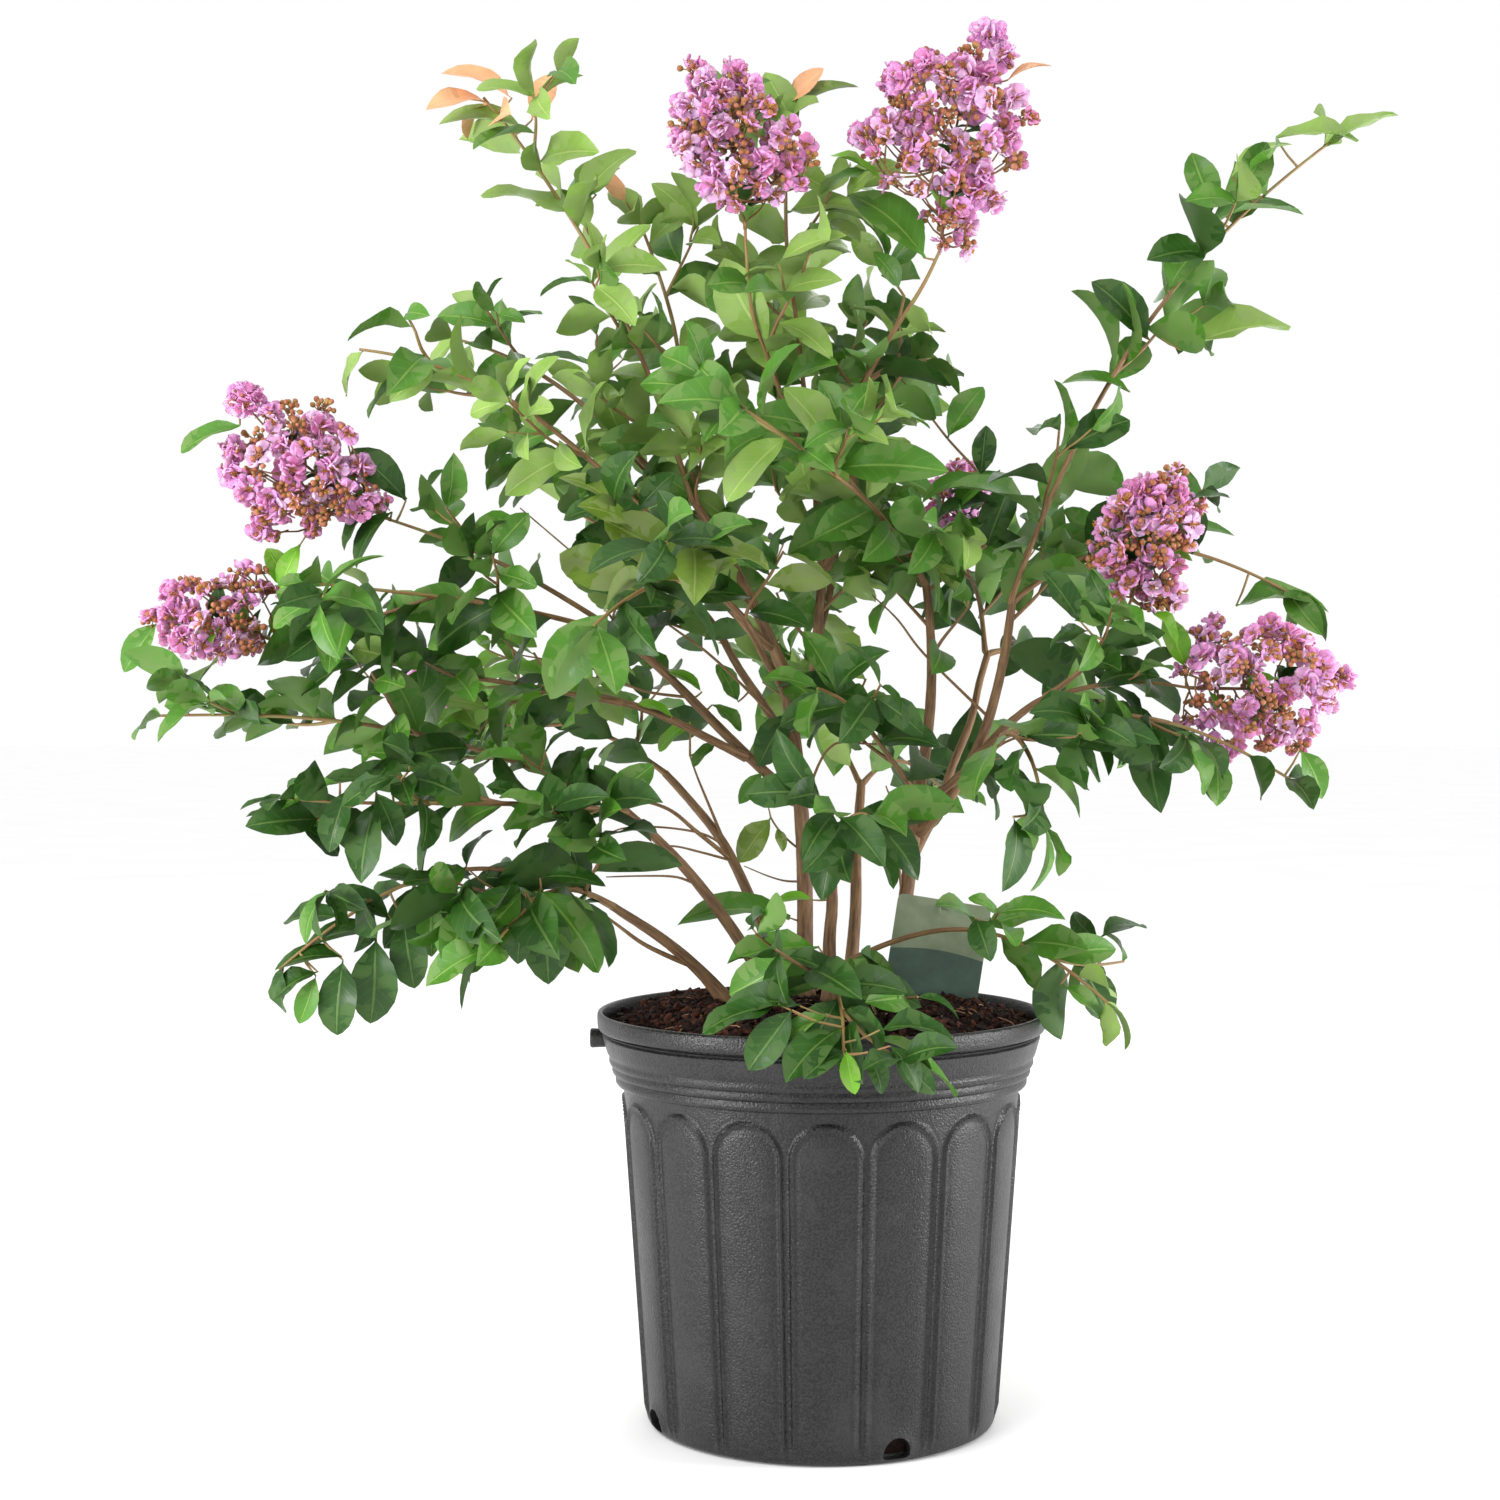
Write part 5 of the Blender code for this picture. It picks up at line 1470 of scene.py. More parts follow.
@dataclass
class Foliage:
    """All leaves and twigs, grown on from the sprays' stems by the solids' rule, carried finer."""

    skeleton: Skeleton
    space: Space
    first_leaf: float = 9.0
    leaf_tries: int = 6
    leaf_spread: float = radians(54.0)
    leaf_sway: float = 0.28
    leaf_turn: float = 1.15
    tip_spread: float = 0.12
    look_scatter: float = 1.25
    look_up: float = 0.62
    hang: float = 0.20
    end_from: float = 0.86
    end_chance: float = 0.7
    young_from: float = 0.93
    first_chance: float = 0.68
    twig_every: int = 3
    twig_last: float = 0.86
    twig_tries: int = 3
    twig_spread: float = radians(48.0)
    twig_turn: float = 0.8
    twig_lift: float = 0.25
    twig_length: float = 74.0
    twig_radii: tuple[float, float] = (1.3, 0.7)
    twiglet_length: float = 34.0
    twiglet_radii: tuple[float, float] = (0.9, 0.5)
    upright: float = 0.35
    lowest_shoot: float = 455.0
    shoot_spacing: float = 26.0
    depth_cost: float = 500.0
    order_sizes: tuple[float, float, float] = (1.0, 0.92, 0.78)
    order_spacings: tuple[float, float, float] = (1.0, 0.9, 0.8)
    order_starts: tuple[float, float, float] = (1.0, 0.8, 0.7)
    leaves: dict[Tint, Scatter] = field(default_factory=dict)
    joints: list[tuple[Vector, str, float]] = field(default_factory=list)
    held: dict[str, float] = field(default_factory=dict)

    def prepare(self) -> None:
        """Makes the leaf shapes, one scatter for each tint and the bundles of twigs."""
        self.shapes = LeafShapes().make()
        for tint in Tint:
            name, _, fresh, under, _ = tint.value
            skins = [LeafBlade(tint).make(),
                     LeafSkin(f"leaf_underside_{name}", under, fresh).make()]
            self.leaves[tint] = Scatter(f"leaves_{name}", self.shapes, skins,
                                        17 + list(Tint).index(tint), 0.05)
        brown = Bark("twig_bark", "#6b4a2c", "#9a7a50", 1.6, 0.6).make()
        green = Bark("green_shoot_bark", "#7c8a45", "#a65e48", 1.4, 0.5).make()
        self.twigs = Tubes("twigs", brown, 8, 3.0, 0.25, 5.0)
        self.shoots = Tubes("shoots", green, 6, 4.0)

    def side(self, axis: Vector, rank: int, turn: float) -> Vector:
        """The way out from an axis for one of its two ranks of leaves.

        Args:
            axis: the way the shoot grows.
            rank: 1 or -1.
            turn: a turn round the axis.

        Returns:
            The direction.
        """
        flat = axis.cross(UP)
        if flat.length < self.upright:
            flat = axis.cross(Vector((0.0, 1.0, 0.0)))
        flat = flat.normalized() * rank
        flat.rotate(Matrix.Rotation(turn, 3, axis))
        return flat

    def tint(self, spray: Spray, share: float, rng: Random, is_tip: bool) -> Tint:
        """Deals a leaf its tint: the spray's own, its second, or its tip's.

        Args:
            spray: the spray.
            share: how far out the leaf grows, from 0 to 1.
            rng: the spray's random numbers.
            is_tip: whether it grows at the end of a shoot.

        Returns:
            The tint.
        """
        first, second, end = spray.tints
        if end is YOUNG:
            end = YOUNG if share > self.young_from else first
        if share > self.end_from or (is_tip and rng.random() < self.end_chance):
            return end
        return first if rng.random() < self.first_chance else second

    def add_leaf(self, spray: Spray, root: Vector, axis: Vector, rank: int, size: float,
                 share: float, rng: Random) -> bool:
        """Adds a leaf, or skips it where no try finds room.

        Args:
            spray: the spray it belongs to.
            root: where it leaves the shoot.
            axis: the way the shoot grows there.
            rank: its side of the shoot, or 0 at the tip.
            size: its size as a share of the spray's leaf length.
            share: how far out on the spray it grows.
            rng: the spray's random numbers.

        Returns:
            Whether it found room.
        """
        outward = Vector((root.x, root.y, 0.0))
        quarter = atan2(outward.y, outward.x) if outward.length > 0.03 else -pi / 2.0
        for attempt in range(self.leaf_tries):
            spread = self.tip_spread
            if rank:
                spread = self.leaf_spread + rng.uniform(-self.leaf_sway, self.leaf_sway)
            side = self.side(axis, rank or 1, rng.uniform(-self.leaf_turn, self.leaf_turn))
            along = axis * cos(spread) + side * sin(spread) - UP * self.hang
            along.normalize()
            look = quarter + rng.gauss(0.0, self.look_scatter)
            face = UP * self.look_up + Vector((cos(look), sin(look), 0.0))
            face = (face - along * face.dot(along)).normalized()
            length = spray.leaf * MM * size * (rng.uniform(0.82, 1.16) - 0.05 * attempt)
            middle = root + along * (length * 0.5)
            tip = root + along * (length * 0.98) - face * (length * 0.1)
            across = along.cross(face) * (length * 0.24)
            probes = (root + along * (length * 0.3), middle - across, middle + across, tip)
            if self.space.is_free(spray, probes) and self.space.claim(middle):
                tint = self.tint(spray, share, rng, rank == 0)
                self.leaves[tint].add(root, along, face, length, spray.name)
                return True
        return False

    def leaf_out(self, spray: Spray, line: Line, order: int, base: float, reach: float,
                 rng: Random) -> float:
        """Sets leaves in two ranks along a shoot, and side twigs where it bears them.

        Args:
            spray: the spray.
            line: the shoot.
            order: 0 for the spray's stem, 1 for a twig, 2 for a twiglet.
            base: how far out on the spray the shoot starts.
            reach: how far out on the spray it ends.
            rng: the spray's random numbers.

        Returns:
            How far along the shoot the last leaf or twig grew, or 0 if none did.
        """
        last = 0.0
        distance = self.first_leaf * MM * self.order_starts[order]
        rank = rng.choice((-1, 1))
        index = 0
        while distance < line.length * 0.96:
            t = distance / line.length
            share = base + (reach - base) * t
            bears = (order == 0 and index % self.twig_every == 1 and t < self.twig_last) or \
                (order == 1 and index == 2)
            if bears and self.add_twig(spray, line, order + 1, t, rank, share, rng):
                last = t
            size = (1.0 - 0.26 * t) * self.order_sizes[order]
            if self.add_leaf(spray, line.point(t), line.tangent(t), rank, size, share, rng):
                last = t
            rank = -rank
            index += 1
            distance += spray.spacing * self.order_spacings[order] * MM * rng.uniform(0.8, 1.2)
        if spray.bloom_end and order == 0:
            return 1.0
        for rank in (-1, 1, 0):
            if self.add_leaf(spray, line.point(0.985), line.tangent(1.0), rank, 0.66, reach, rng):
                last = 1.0
        return last

    def add_twig(self, spray: Spray, parent: Line, order: int, t: float, rank: int, share: float,
                 rng: Random) -> bool:
        """Grows a side twig as far as its last leaf, unless it would leave the space.

        Args:
            spray: the spray.
            parent: the shoot that bears it.
            order: 1 for a twig, 2 for a twiglet.
            t: where it leaves its parent.
            rank: its side.
            share: how far out on the spray it starts.
            rng: the spray's random numbers.

        Returns:
            Whether a twig grew.
        """
        axis = parent.tangent(t)
        root = parent.point(t)
        full = self.twig_length if order == 1 else self.twiglet_length
        for attempt in range(self.twig_tries):
            side = self.side(axis, rank, rng.uniform(-self.twig_turn, self.twig_turn))
            out = axis * cos(self.twig_spread) + side * sin(self.twig_spread)
            out += UP * self.twig_lift
            length = full * MM * rng.uniform(0.75, 1.15) * (1.0 - 0.35 * t) * (1.0 - 0.2 * attempt)
            tip = root + out.normalized() * length
            bow = UP * (-0.05 * length) + side * (rng.uniform(-0.04, 0.06) * length)
            radii = self.twig_radii if order == 1 else self.twiglet_radii
            twig = Line(root, axis, tip, bow, radii)
            if self.space.is_free(spray, [p for p, _ in twig.samples(0.010)[1:]]):
                bundle = self.twigs if order == 1 and share < 0.6 else self.shoots
                last = self.leaf_out(spray, twig, order, share, min(0.86, share + 0.3), rng)
                spots = twig.samples(0.006)
                if last:
                    bundle.add(spots[:max(2, ceil(len(spots) * last))], spray.name)
                return last > 0.0
        return False

    def grow(self) -> None:
        """Grows every spray, after the twigs and leaves that the photograph sets."""
        self.lay_bare_twigs()
        flat = [(VIEW.pixel(place), place, limb, t) for place, limb, t in self.joints]
        for name, leaves in KEY_LEAVES.items():
            for tint, *ends in leaves:
                self.key_leaf(name, tint, ends[:2], ends[2:], flat)
        for seed, spray in enumerate(SPRAYS):
            rng = Random(900 + seed)
            last = self.leaf_out(spray, self.skeleton.lines[spray.name], 0, 0.0, 1.0, rng)
            spots = self.skeleton.tube(spray.name, 5.0)
            spots = spots[:max(3, ceil(len(spots) * max(last, self.held.get(spray.name, 0.0))))]
            split = round(len(spots) * 0.55)
            self.twigs.add(spots[:split + 1], spray.name)
            self.shoots.add(spots[split:], spray.name)
        self.side_shoots()

    def side_shoots(self) -> None:
        """Grows short leafy twigs along the upper boughs."""
        rng = Random(77)
        for limb in (*STEMS, *BOUGHS):
            line = self.skeleton.lines[limb.name]
            distance = 14.0 * MM
            while distance < line.length:
                t = distance / line.length
                root = line.point(t)
                if root.z > self.lowest_shoot * MM:
                    near = min(SPRAYS, key=lambda s: self.space.own[s.name].nearest(root))
                    self.add_twig(near, line, 1, t, rng.choice((-1, 1)), 0.3, rng)
                distance += self.shoot_spacing * MM * rng.uniform(0.7, 1.3)

    def lay_bare_twigs(self) -> None:
        """Lays the thin bare twigs, and lists every point that a set leaf can grow from."""
        for name, line in self.skeleton.lines.items():
            count = max(2, round(line.length / 0.004))
            self.joints += [(line.point(k / count), name, k / count) for k in range(count + 1)]
        for name, along, pixels, depth, radius in BARE_TWIGS:
            root = self.skeleton.lines[name].point(along)
            spots = [root] + [
                VIEW.at(px, py, root.y + (depth * MM - root.y) * (k + 1) / len(pixels))
                for k, (px, py) in enumerate(pixels)]
            near = min(SPRAYS, key=lambda s: self.space.own[s.name].nearest(spots[-1]))
            line = smoothed(spots)
            self.twigs.add([(spot, radius * (1.0 - 0.6 * k / len(line)) * MM)
                            for k, spot in enumerate(line)], near.name)
            self.joints += [(spot, "", 0.0) for spot in line]

    def key_leaf(self, name: str, tint: Tint, root: Sequence, tip: Sequence,
                 joints: Sequence) -> None:
        """Sets one leaf by the photograph, on a short twig from the nearest limb.

        Args:
            name: the spray.
            tint: its colour.
            root: its root in pixels.
            tip: its tip in pixels.
            joints: the pixel, place, limb and share of each point of the limbs.
        """
        spray = next(s for s in SPRAYS if s.name == name)
        depth = vector(spray.tip).y
        heads = [(VIEW.pixel(place), place, "", 0.0) for place, _ in bloom_line(spray)]
        _, near, limb, t = min([*joints, *heads], key=lambda f: hypot(
            f[0][0] - root[0], f[0][1] - root[1]) + self.depth_cost * abs(f[1].y - depth))
        self.held[limb] = max(t, self.held.get(limb, 0.0))
        start = VIEW.at(*root, near.y - 4.0 * MM)
        end = VIEW.at(*tip, near.y - 10.0 * MM)
        along = end - start
        # A leaf that lies level shows more of its edge than one that hangs.
        face = Vector((0.0, -0.8, 0.6) if abs(along.z) > abs(along.x) else (0.0, -0.5, 0.87))
        self.space.claim(start.lerp(end, 0.5))
        self.leaves[tint].add(start, along, face, along.length, name)
        if (start - near).length > 3.0 * MM:
            middle = start.lerp(near, 0.5) - UP * (0.06 * (start - near).length)
            self.shoots.add([(near, 0.8 * MM), (middle, 0.7 * MM), (start, 0.5 * MM)], name)

    def build(self) -> None:
        """Joins the leaves tint by tint and the twigs, and shows them."""
        every = [spray.name for spray in SPRAYS]
        for scatter in self.leaves.values():
            count = len(scatter.spots)
            show(scatter.build(), sorted(scatter.nodes))
            LOG.info("%s: %d leaves", scatter.name, count)
        for bundle in (self.twigs, self.shoots):
            show(bundle.build(), every)
        drop_collection(self.shapes)


@dataclass
class FlowerShapes:
    """Petals, buds, calyces and stamens one unit long."""

    petals: int = 7
    buds: int = 3
    tufts: int = 3
    threads: int = 9

    def make(self) -> dict[str, Collection]:
        """Builds the shapes.

        Returns:
            A collection of variants by kind.
        """
        rng = Random(73)
        return {
            "petal": shape_collection("petal_shape", [self.petal(rng) for _ in range(self.petals)]),
            "bud": shape_collection("bud_shape", [self.bud(rng) for _ in range(self.buds)]),
            "tuft": shape_collection("tuft_shape", [self.tuft(rng) for _ in range(self.tufts)]),
        }

    def petal(self, rng: Random) -> Mesh:
        """A petal on a thin claw, its blade crinkled like crape, closed and thin.

        Args:
            rng: fixes its crinkles.

        Returns:
            The mesh.
        """
        rows = ((0.0, 0.022), (0.32, 0.03), (0.42, 0.25), (0.60, 0.42), (0.82, 0.46), (1.0, 0.30))
        bm = bmesh.new()
        grid = []
        for u, half in rows:
            row = []
            for k, v in enumerate((-1.0, -0.5, 0.0, 0.5, 1.0)):
                # The rim is frilled: every other column stands up, and its ends are uneven.
                frill = 0.0
                if u >= 0.4:
                    frill = (0.07 if k % 2 else -0.05) * u + rng.uniform(-0.04, 0.04)
                uneven = rng.uniform(-0.06, 0.06) if u > 0.8 else 0.0
                place = (u - 0.10 * abs(v) * u + uneven, v * half, 0.14 * u * u + frill)
                row.append(bm.verts.new(Vector(place)))
            grid.append(row)
        under = [bm.verts.new(Vector((u, 0.0, 0.16 * u * u - 0.05))) for u, _ in rows]
        add_skin(bm, [[*row, keel] for row, keel in zip(grid, under)])
        bm.faces.new([*reversed(grid[0]), under[0]])
        bm.faces.new([*grid[-1], under[-1]])
        bmesh.ops.recalc_face_normals(bm, faces=bm.faces)
        part = bm.faces.layers.int.new("part")
        for face in bm.faces:
            face[part] = 0
        return mesh_from("petal", bm)

    def lathe(self, name: str, profile: Sequence[tuple[float, float]], sides: int,
              ribs: float, parts: Sequence[int]) -> Mesh:
        """Turns a profile round the X axis, closed by a point at each end.

        Args:
            name: the mesh's name.
            profile: distance along X and radius at each ring.
            sides: how many sides it has.
            ribs: how far every other side is drawn in.
            parts: the part of the faces that follow each ring.

        Returns:
            The mesh.
        """
        bm = bmesh.new()
        part = bm.faces.layers.int.new("part")
        rings = []
        for x, radius in profile:
            full, drawn = circle(sides, radius), circle(sides, radius * (1.0 - ribs))
            rings.append([bm.verts.new(Vector((x, *(drawn if k % 2 else full)[k])))
                          for k in range(sides)])
        strips = [add_skin(bm, pair) for pair in zip(rings, rings[1:])]
        strips[0] += add_fan(bm, Vector((profile[0][0] - 0.02, 0.0, 0.0)), rings[0], -1)
        strips[-1] += add_fan(bm, Vector((profile[-1][0] + 0.05, 0.0, 0.0)), rings[-1])
        for faces, kind in zip(strips, parts):
            for face in faces:
                face[part] = kind
        bmesh.ops.recalc_face_normals(bm, faces=bm.faces)
        return mesh_from(name, bm)

    def bud(self, rng: Random) -> Mesh:
        """A round bud with a small point, olive at its foot and copper above.

        Args:
            rng: fixes how fat it is.

        Returns:
            The mesh.
        """
        fat = rng.uniform(0.9, 1.1)
        profile = ((0.0, 0.12), (0.22, 0.36 * fat), (0.52, 0.46 * fat), (0.82, 0.28 * fat))
        return self.lathe("bud", profile, 6, 0.08, (0, 0, 1))

    def tuft(self, rng: Random) -> Mesh:
        """A tuft of stamens: thin threads that widen to their golden ends.

        Args:
            rng: fixes their spread.

        Returns:
            The mesh.
        """
        bm = bmesh.new()
        part = bm.faces.layers.int.new("part")
        for k in range(self.threads):
            angle = GOLDEN_TURN * k
            lean = 0.12 + 0.48 * k / self.threads
            out = Vector((1.0, cos(angle) * lean, sin(angle) * lean)).normalized()
            reach = rng.uniform(0.7, 1.0)
            side = out.orthogonal().normalized()
            other = out.cross(side)
            root = bm.verts.new(out * 0.05)
            ring = [bm.verts.new(out * reach + (side * x + other * y) * 0.075)
                    for x, y in circle(3, 1.0)]
            faces = [bm.faces.new((root, ring[(j + 1) % 3], ring[j])) for j in range(3)]
            faces.append(bm.faces.new(ring))
            for face in faces:
                face[part] = 0
        bmesh.ops.recalc_face_normals(bm, faces=bm.faces)
        return mesh_from("tuft", bm, smooth=False)


@dataclass
class Blossom:
    """The flower heads: branched stalks that end in groups of crape flowers and buds."""

    skeleton: Skeleton
    foliage: Foliage
    petal_length: float = 9.2
    petals_a_flower: int = 6
    petal_shares: tuple[float, float, float] = (0.5, 0.28, 0.22)
    bud_size: float = 4.3
    tuft_size: float = 5.0
    flower_reach: float = 5.4
    leaves_a_head: int = 16
    slant: float = 1.6
    depth_share: float = 0.36
    far_groups: int = 34
    pixels_a_mm: float = 1.68

    def prepare(self) -> None:
        """Makes the shapes, the scatters and the bundle of stalks."""
        self.shapes = FlowerShapes().make()
        # Each petal's second colour is the painted shade that the Petal material mixes in on its
        # crinkles.
        skins = (("petals_pink", "orchid_pink_petal", "#e39fd4", "#cd7cba"),
                 ("petals_pale", "pale_pink_petal", "#edbfe4", "#da9acd"),
                 ("petals_rose", "rose_pink_petal", "#dc8cc1", "#bf699e"))
        self.petals = [Scatter(name, self.shapes["petal"], [Petal(skin, colour, fold).make()],
                               5 + k, 0.16)
                       for k, (name, skin, colour, fold) in enumerate(skins)]
        copper = BudSkin("copper_bud_skin", "#8f4d2a", "#ab6c50").make()
        olive = BudSkin("olive_calyx_skin", "#8a6a30", "#a8803e").make()
        gold = BudSkin("golden_stamen", "#d09a44", "#a96a34", 0.6).make()
        self.buds = Scatter("buds", self.shapes["bud"], [olive, copper], 9, 0.2)
        self.tufts = Scatter("stamens", self.shapes["tuft"], [gold], 10, 0.12)
        stalk = Bark("flower_stalk_bark", "#6d3a28", "#8c6a3a", 1.4, 0.55).make()
        self.stalks = Tubes("flower_stalks", stalk, 5, 5.0)

    def flower(self, place: Vector, out: Vector, length: float, node: str,
               rng: Random) -> None:
        """Adds an open flower: calyx, six ruffled petals and a tuft of stamens.

        Args:
            place: where its stalk ends.
            out: the way it faces.
            length: its petals' length in metres.
            node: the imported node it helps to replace.
            rng: the head's random numbers.
        """
        side = out.orthogonal().normalized()
        self.buds.add(place - out * (self.bud_size * 0.6 * MM), out, side,
                      self.bud_size * 0.9 * MM, node)
        self.tufts.add(place, out, side, self.tuft_size * MM, node)
        open_angle = radians(rng.uniform(52.0, 88.0))
        start = rng.uniform(0.0, tau)
        petals = rng.choices(self.petals, self.petal_shares)[0]
        for k in range(self.petals_a_flower):
            turn = start + tau * (k + rng.uniform(-0.35, 0.35)) / self.petals_a_flower
            radial = Quaternion(out, turn) @ side
            lean = open_angle + rng.uniform(-0.45, 0.35)
            along = radial * sin(lean) + out * cos(lean)
            face = out * sin(lean) - radial * cos(lean)
            face = face + radial.cross(out) * rng.uniform(-0.8, 0.8)
            petals.add(place, along, face, length, node)

    def groups(self, spray: Spray, rng: Random) -> list[tuple[Vector, float, bool]]:
        """The groups of a head, spread over its front, its middle and its back.

        Args:
            spray: the spray.
            rng: the head's random numbers.

        Returns:
            Centre, radius and whether it is mostly buds.
        """
        depth = vector(spray.bloom_end).y
        thick = spray.bloom_width * self.depth_share * MM
        middle = (vector(spray.tip) + vector(spray.bloom_end)) / 2.0
        found = []
        if spray.name in GROUPS:
            for px, py, radius in GROUPS[spray.name]:
                is_bud = radius < 0
                edge = VIEW.at(px, py, depth)
                far = (edge - middle).length / (spray.bloom_width * 0.62 * MM)
                bulge = thick * sqrt(max(0.06, 1.0 - min(1.0, far) ** 2))
                reach = abs(radius) / self.pixels_a_mm * MM
                for layer in ((-1.0, 0.0, 1.0) if far < 0.62 else (-0.8, 0.6)):
                    y = depth + layer * bulge * (rng.uniform(1.0, 1.25) if is_bud else
                                                 rng.uniform(0.5, 0.95))
                    spot = VIEW.at(px + rng.uniform(-2, 2) - 6.0 * (layer > 0.0), py, y)
                    found.append((spot, reach, is_bud))
            return found
        foot, axis = vector(spray.tip), vector(spray.bloom_end) - vector(spray.tip)
        side = axis.orthogonal().normalized()
        for k in range(self.far_groups):
            share = (k + 0.5) / self.far_groups
            radial = Quaternion(axis.normalized(), GOLDEN_TURN * k) @ side
            out = spray.bloom_width * 0.5 * MM * bloom_shape(share) - 6.0 * MM
            place = foot + axis * (0.05 + 0.9 * share) + radial * (out * rng.uniform(0.55, 1.0))
            found.append((place, rng.uniform(5.0, 8.0) * MM, k % 4 == 1))
        return found

    def head(self, spray: Spray, seed: int) -> None:
        """Builds one flower head on the tip of its spray.

        Args:
            spray: the spray.
            seed: fixes the head's shape.
        """
        rng = Random(300 + seed)
        foot = vector(spray.tip)
        groups = self.groups(spray, rng)
        top = max(groups, key=lambda g: (g[0] - foot).length)[0]
        core = sum((g[0] for g in groups), Vector()) / len(groups)
        spine = Line(self.skeleton.lines[spray.name].point(0.97), (core - foot).normalized(),
                     top, (core - (foot + top) / 2.0) * 0.5, (1.2, 0.5))
        self.stalks.add(spine.samples(0.006), spray.name)
        for _ in range(self.leaves_a_head):
            self.leaf_among(spine, spray.name, rng)
        along = (top - foot).normalized()
        axis = [spine.point(k / 24.0) for k in range(24)]
        joints = list(axis)
        groups.sort(key=lambda g: min((g[0] - p).length for p in axis))
        for centre, reach, is_bud in groups:
            # A stalk leaves its bearer below the group, at a slant.
            root = min(joints, key=lambda p: (centre - p).length + self.slant *
                       max(0.0, (p - centre).dot(along) + 0.5 * (centre - p).length))
            bend = root.lerp(centre, 0.5) - along * (0.10 * (centre - root).length)
            joints += [root.lerp(centre, 0.4) - along * (0.08 * (centre - root).length),
                       root.lerp(centre, 0.75)]
            self.stalks.add([(root, 0.75 * MM), (bend, 0.6 * MM), (centre, 0.42 * MM)], spray.name)
            near = min(axis, key=lambda p: (centre - p).length)
            out = (centre - near).normalized()
            self.group(centre, (out + along * 0.2).normalized(), reach, is_bud, spray.name, rng)

    def group(self, centre: Vector, out: Vector, reach: float, is_bud: bool, node: str,
              rng: Random) -> None:
        """Adds one group of flowers and buds round the end of its stalk.

        Args:
            centre: the group's middle.
            out: the way it faces.
            reach: its radius in metres.
            is_bud: whether it is mostly buds.
            node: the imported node.
            rng: the head's random numbers.
        """
        side = out.orthogonal().normalized()
        wide = reach / (self.flower_reach * MM)
        if is_bud:
            flowers, buds = rng.randint(0, 1), rng.randint(6, 9)
        else:
            flowers, buds = max(1, round(wide * wide * 1.45)), rng.randint(1, 3)
        total = flowers + buds
        order = [True] * flowers + [False] * buds
        rng.shuffle(order)
        for k, is_flower in enumerate(order):
            angle = GOLDEN_TURN * k + rng.uniform(-0.3, 0.3)
            lean = 1.35 * sqrt((k + 0.3) / total)
            way = out * cos(lean) + (Quaternion(out, angle) @ side) * sin(lean)
            length = rng.uniform(0.82, 1.0) * min(self.petal_length * MM, reach + 3.0 * MM)
            depth = max(2.0 * MM, reach - (0.62 * length if is_flower else 1.5 * MM))
            place = centre + way * (depth * rng.uniform(0.75, 1.0))
            self.stalks.add([(centre, 0.4 * MM), (place, 0.28 * MM)], node)
            if is_flower:
                self.flower(place, way, length, node, rng)
            else:
                size = self.bud_size * rng.uniform(0.62, 1.15) * MM
                self.buds.add(place, way, side, size, node)

    def leaf_among(self, spine: Line, node: str, rng: Random) -> None:
        """Sets a small leaf among the flowers, out from the head's spine.

        Args:
            spine: the head's middle stalk.
            node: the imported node.
            rng: the head's random numbers.
        """
        t = rng.uniform(0.02, 0.75)
        axis = spine.tangent(t)
        side = Quaternion(axis, rng.uniform(0.0, tau)) @ axis.orthogonal().normalized()
        along = axis * 0.45 + side
        size = rng.uniform(19.0, 34.0) * MM * (1.0 - 0.4 * t)
        tint = rng.choice((BRIGHT, DEEP, DEEP, MID, DEEP))
        face = UP * 0.7 + axis * 0.5 - Vector((0.0, 0.4, 0.0))
        self.foliage.leaves[tint].add(spine.point(t), along, face, size, node)

    def grow(self) -> None:
        """Builds every head."""
        for seed, spray in enumerate(SPRAYS):
            if spray.bloom_end:
                self.head(spray, seed)

    def build(self) -> None:
        """Joins the petals, buds, stamens and stalks, each kind apart, and shows them."""
        for piece in (*self.petals, self.buds, self.tufts, self.stalks):
            show(piece.build(), sorted(piece.nodes))
        for shapes in self.shapes.values():
            drop_collection(shapes)


@dataclass
class Limbs:
    """The clump of stems and the boughs, in bark."""

    skeleton: Skeleton

    def build(self) -> None:
        """Grows the bark round the stems and boughs and shows it."""
        bark = Bark("young_myrtle_bark", "#5d412b", "#93714c").make()
        for name, limbs, sides in (("stems", STEMS, 18), ("boughs", BOUGHS, 12)):
            bundle = Tubes(name, bark, sides, 1.8, 0.55, 7.0)
            for limb in limbs:
                bundle.add(self.skeleton.tube(limb.name), limb.name)
            show(bundle.build(), [limb.name for limb in limbs])


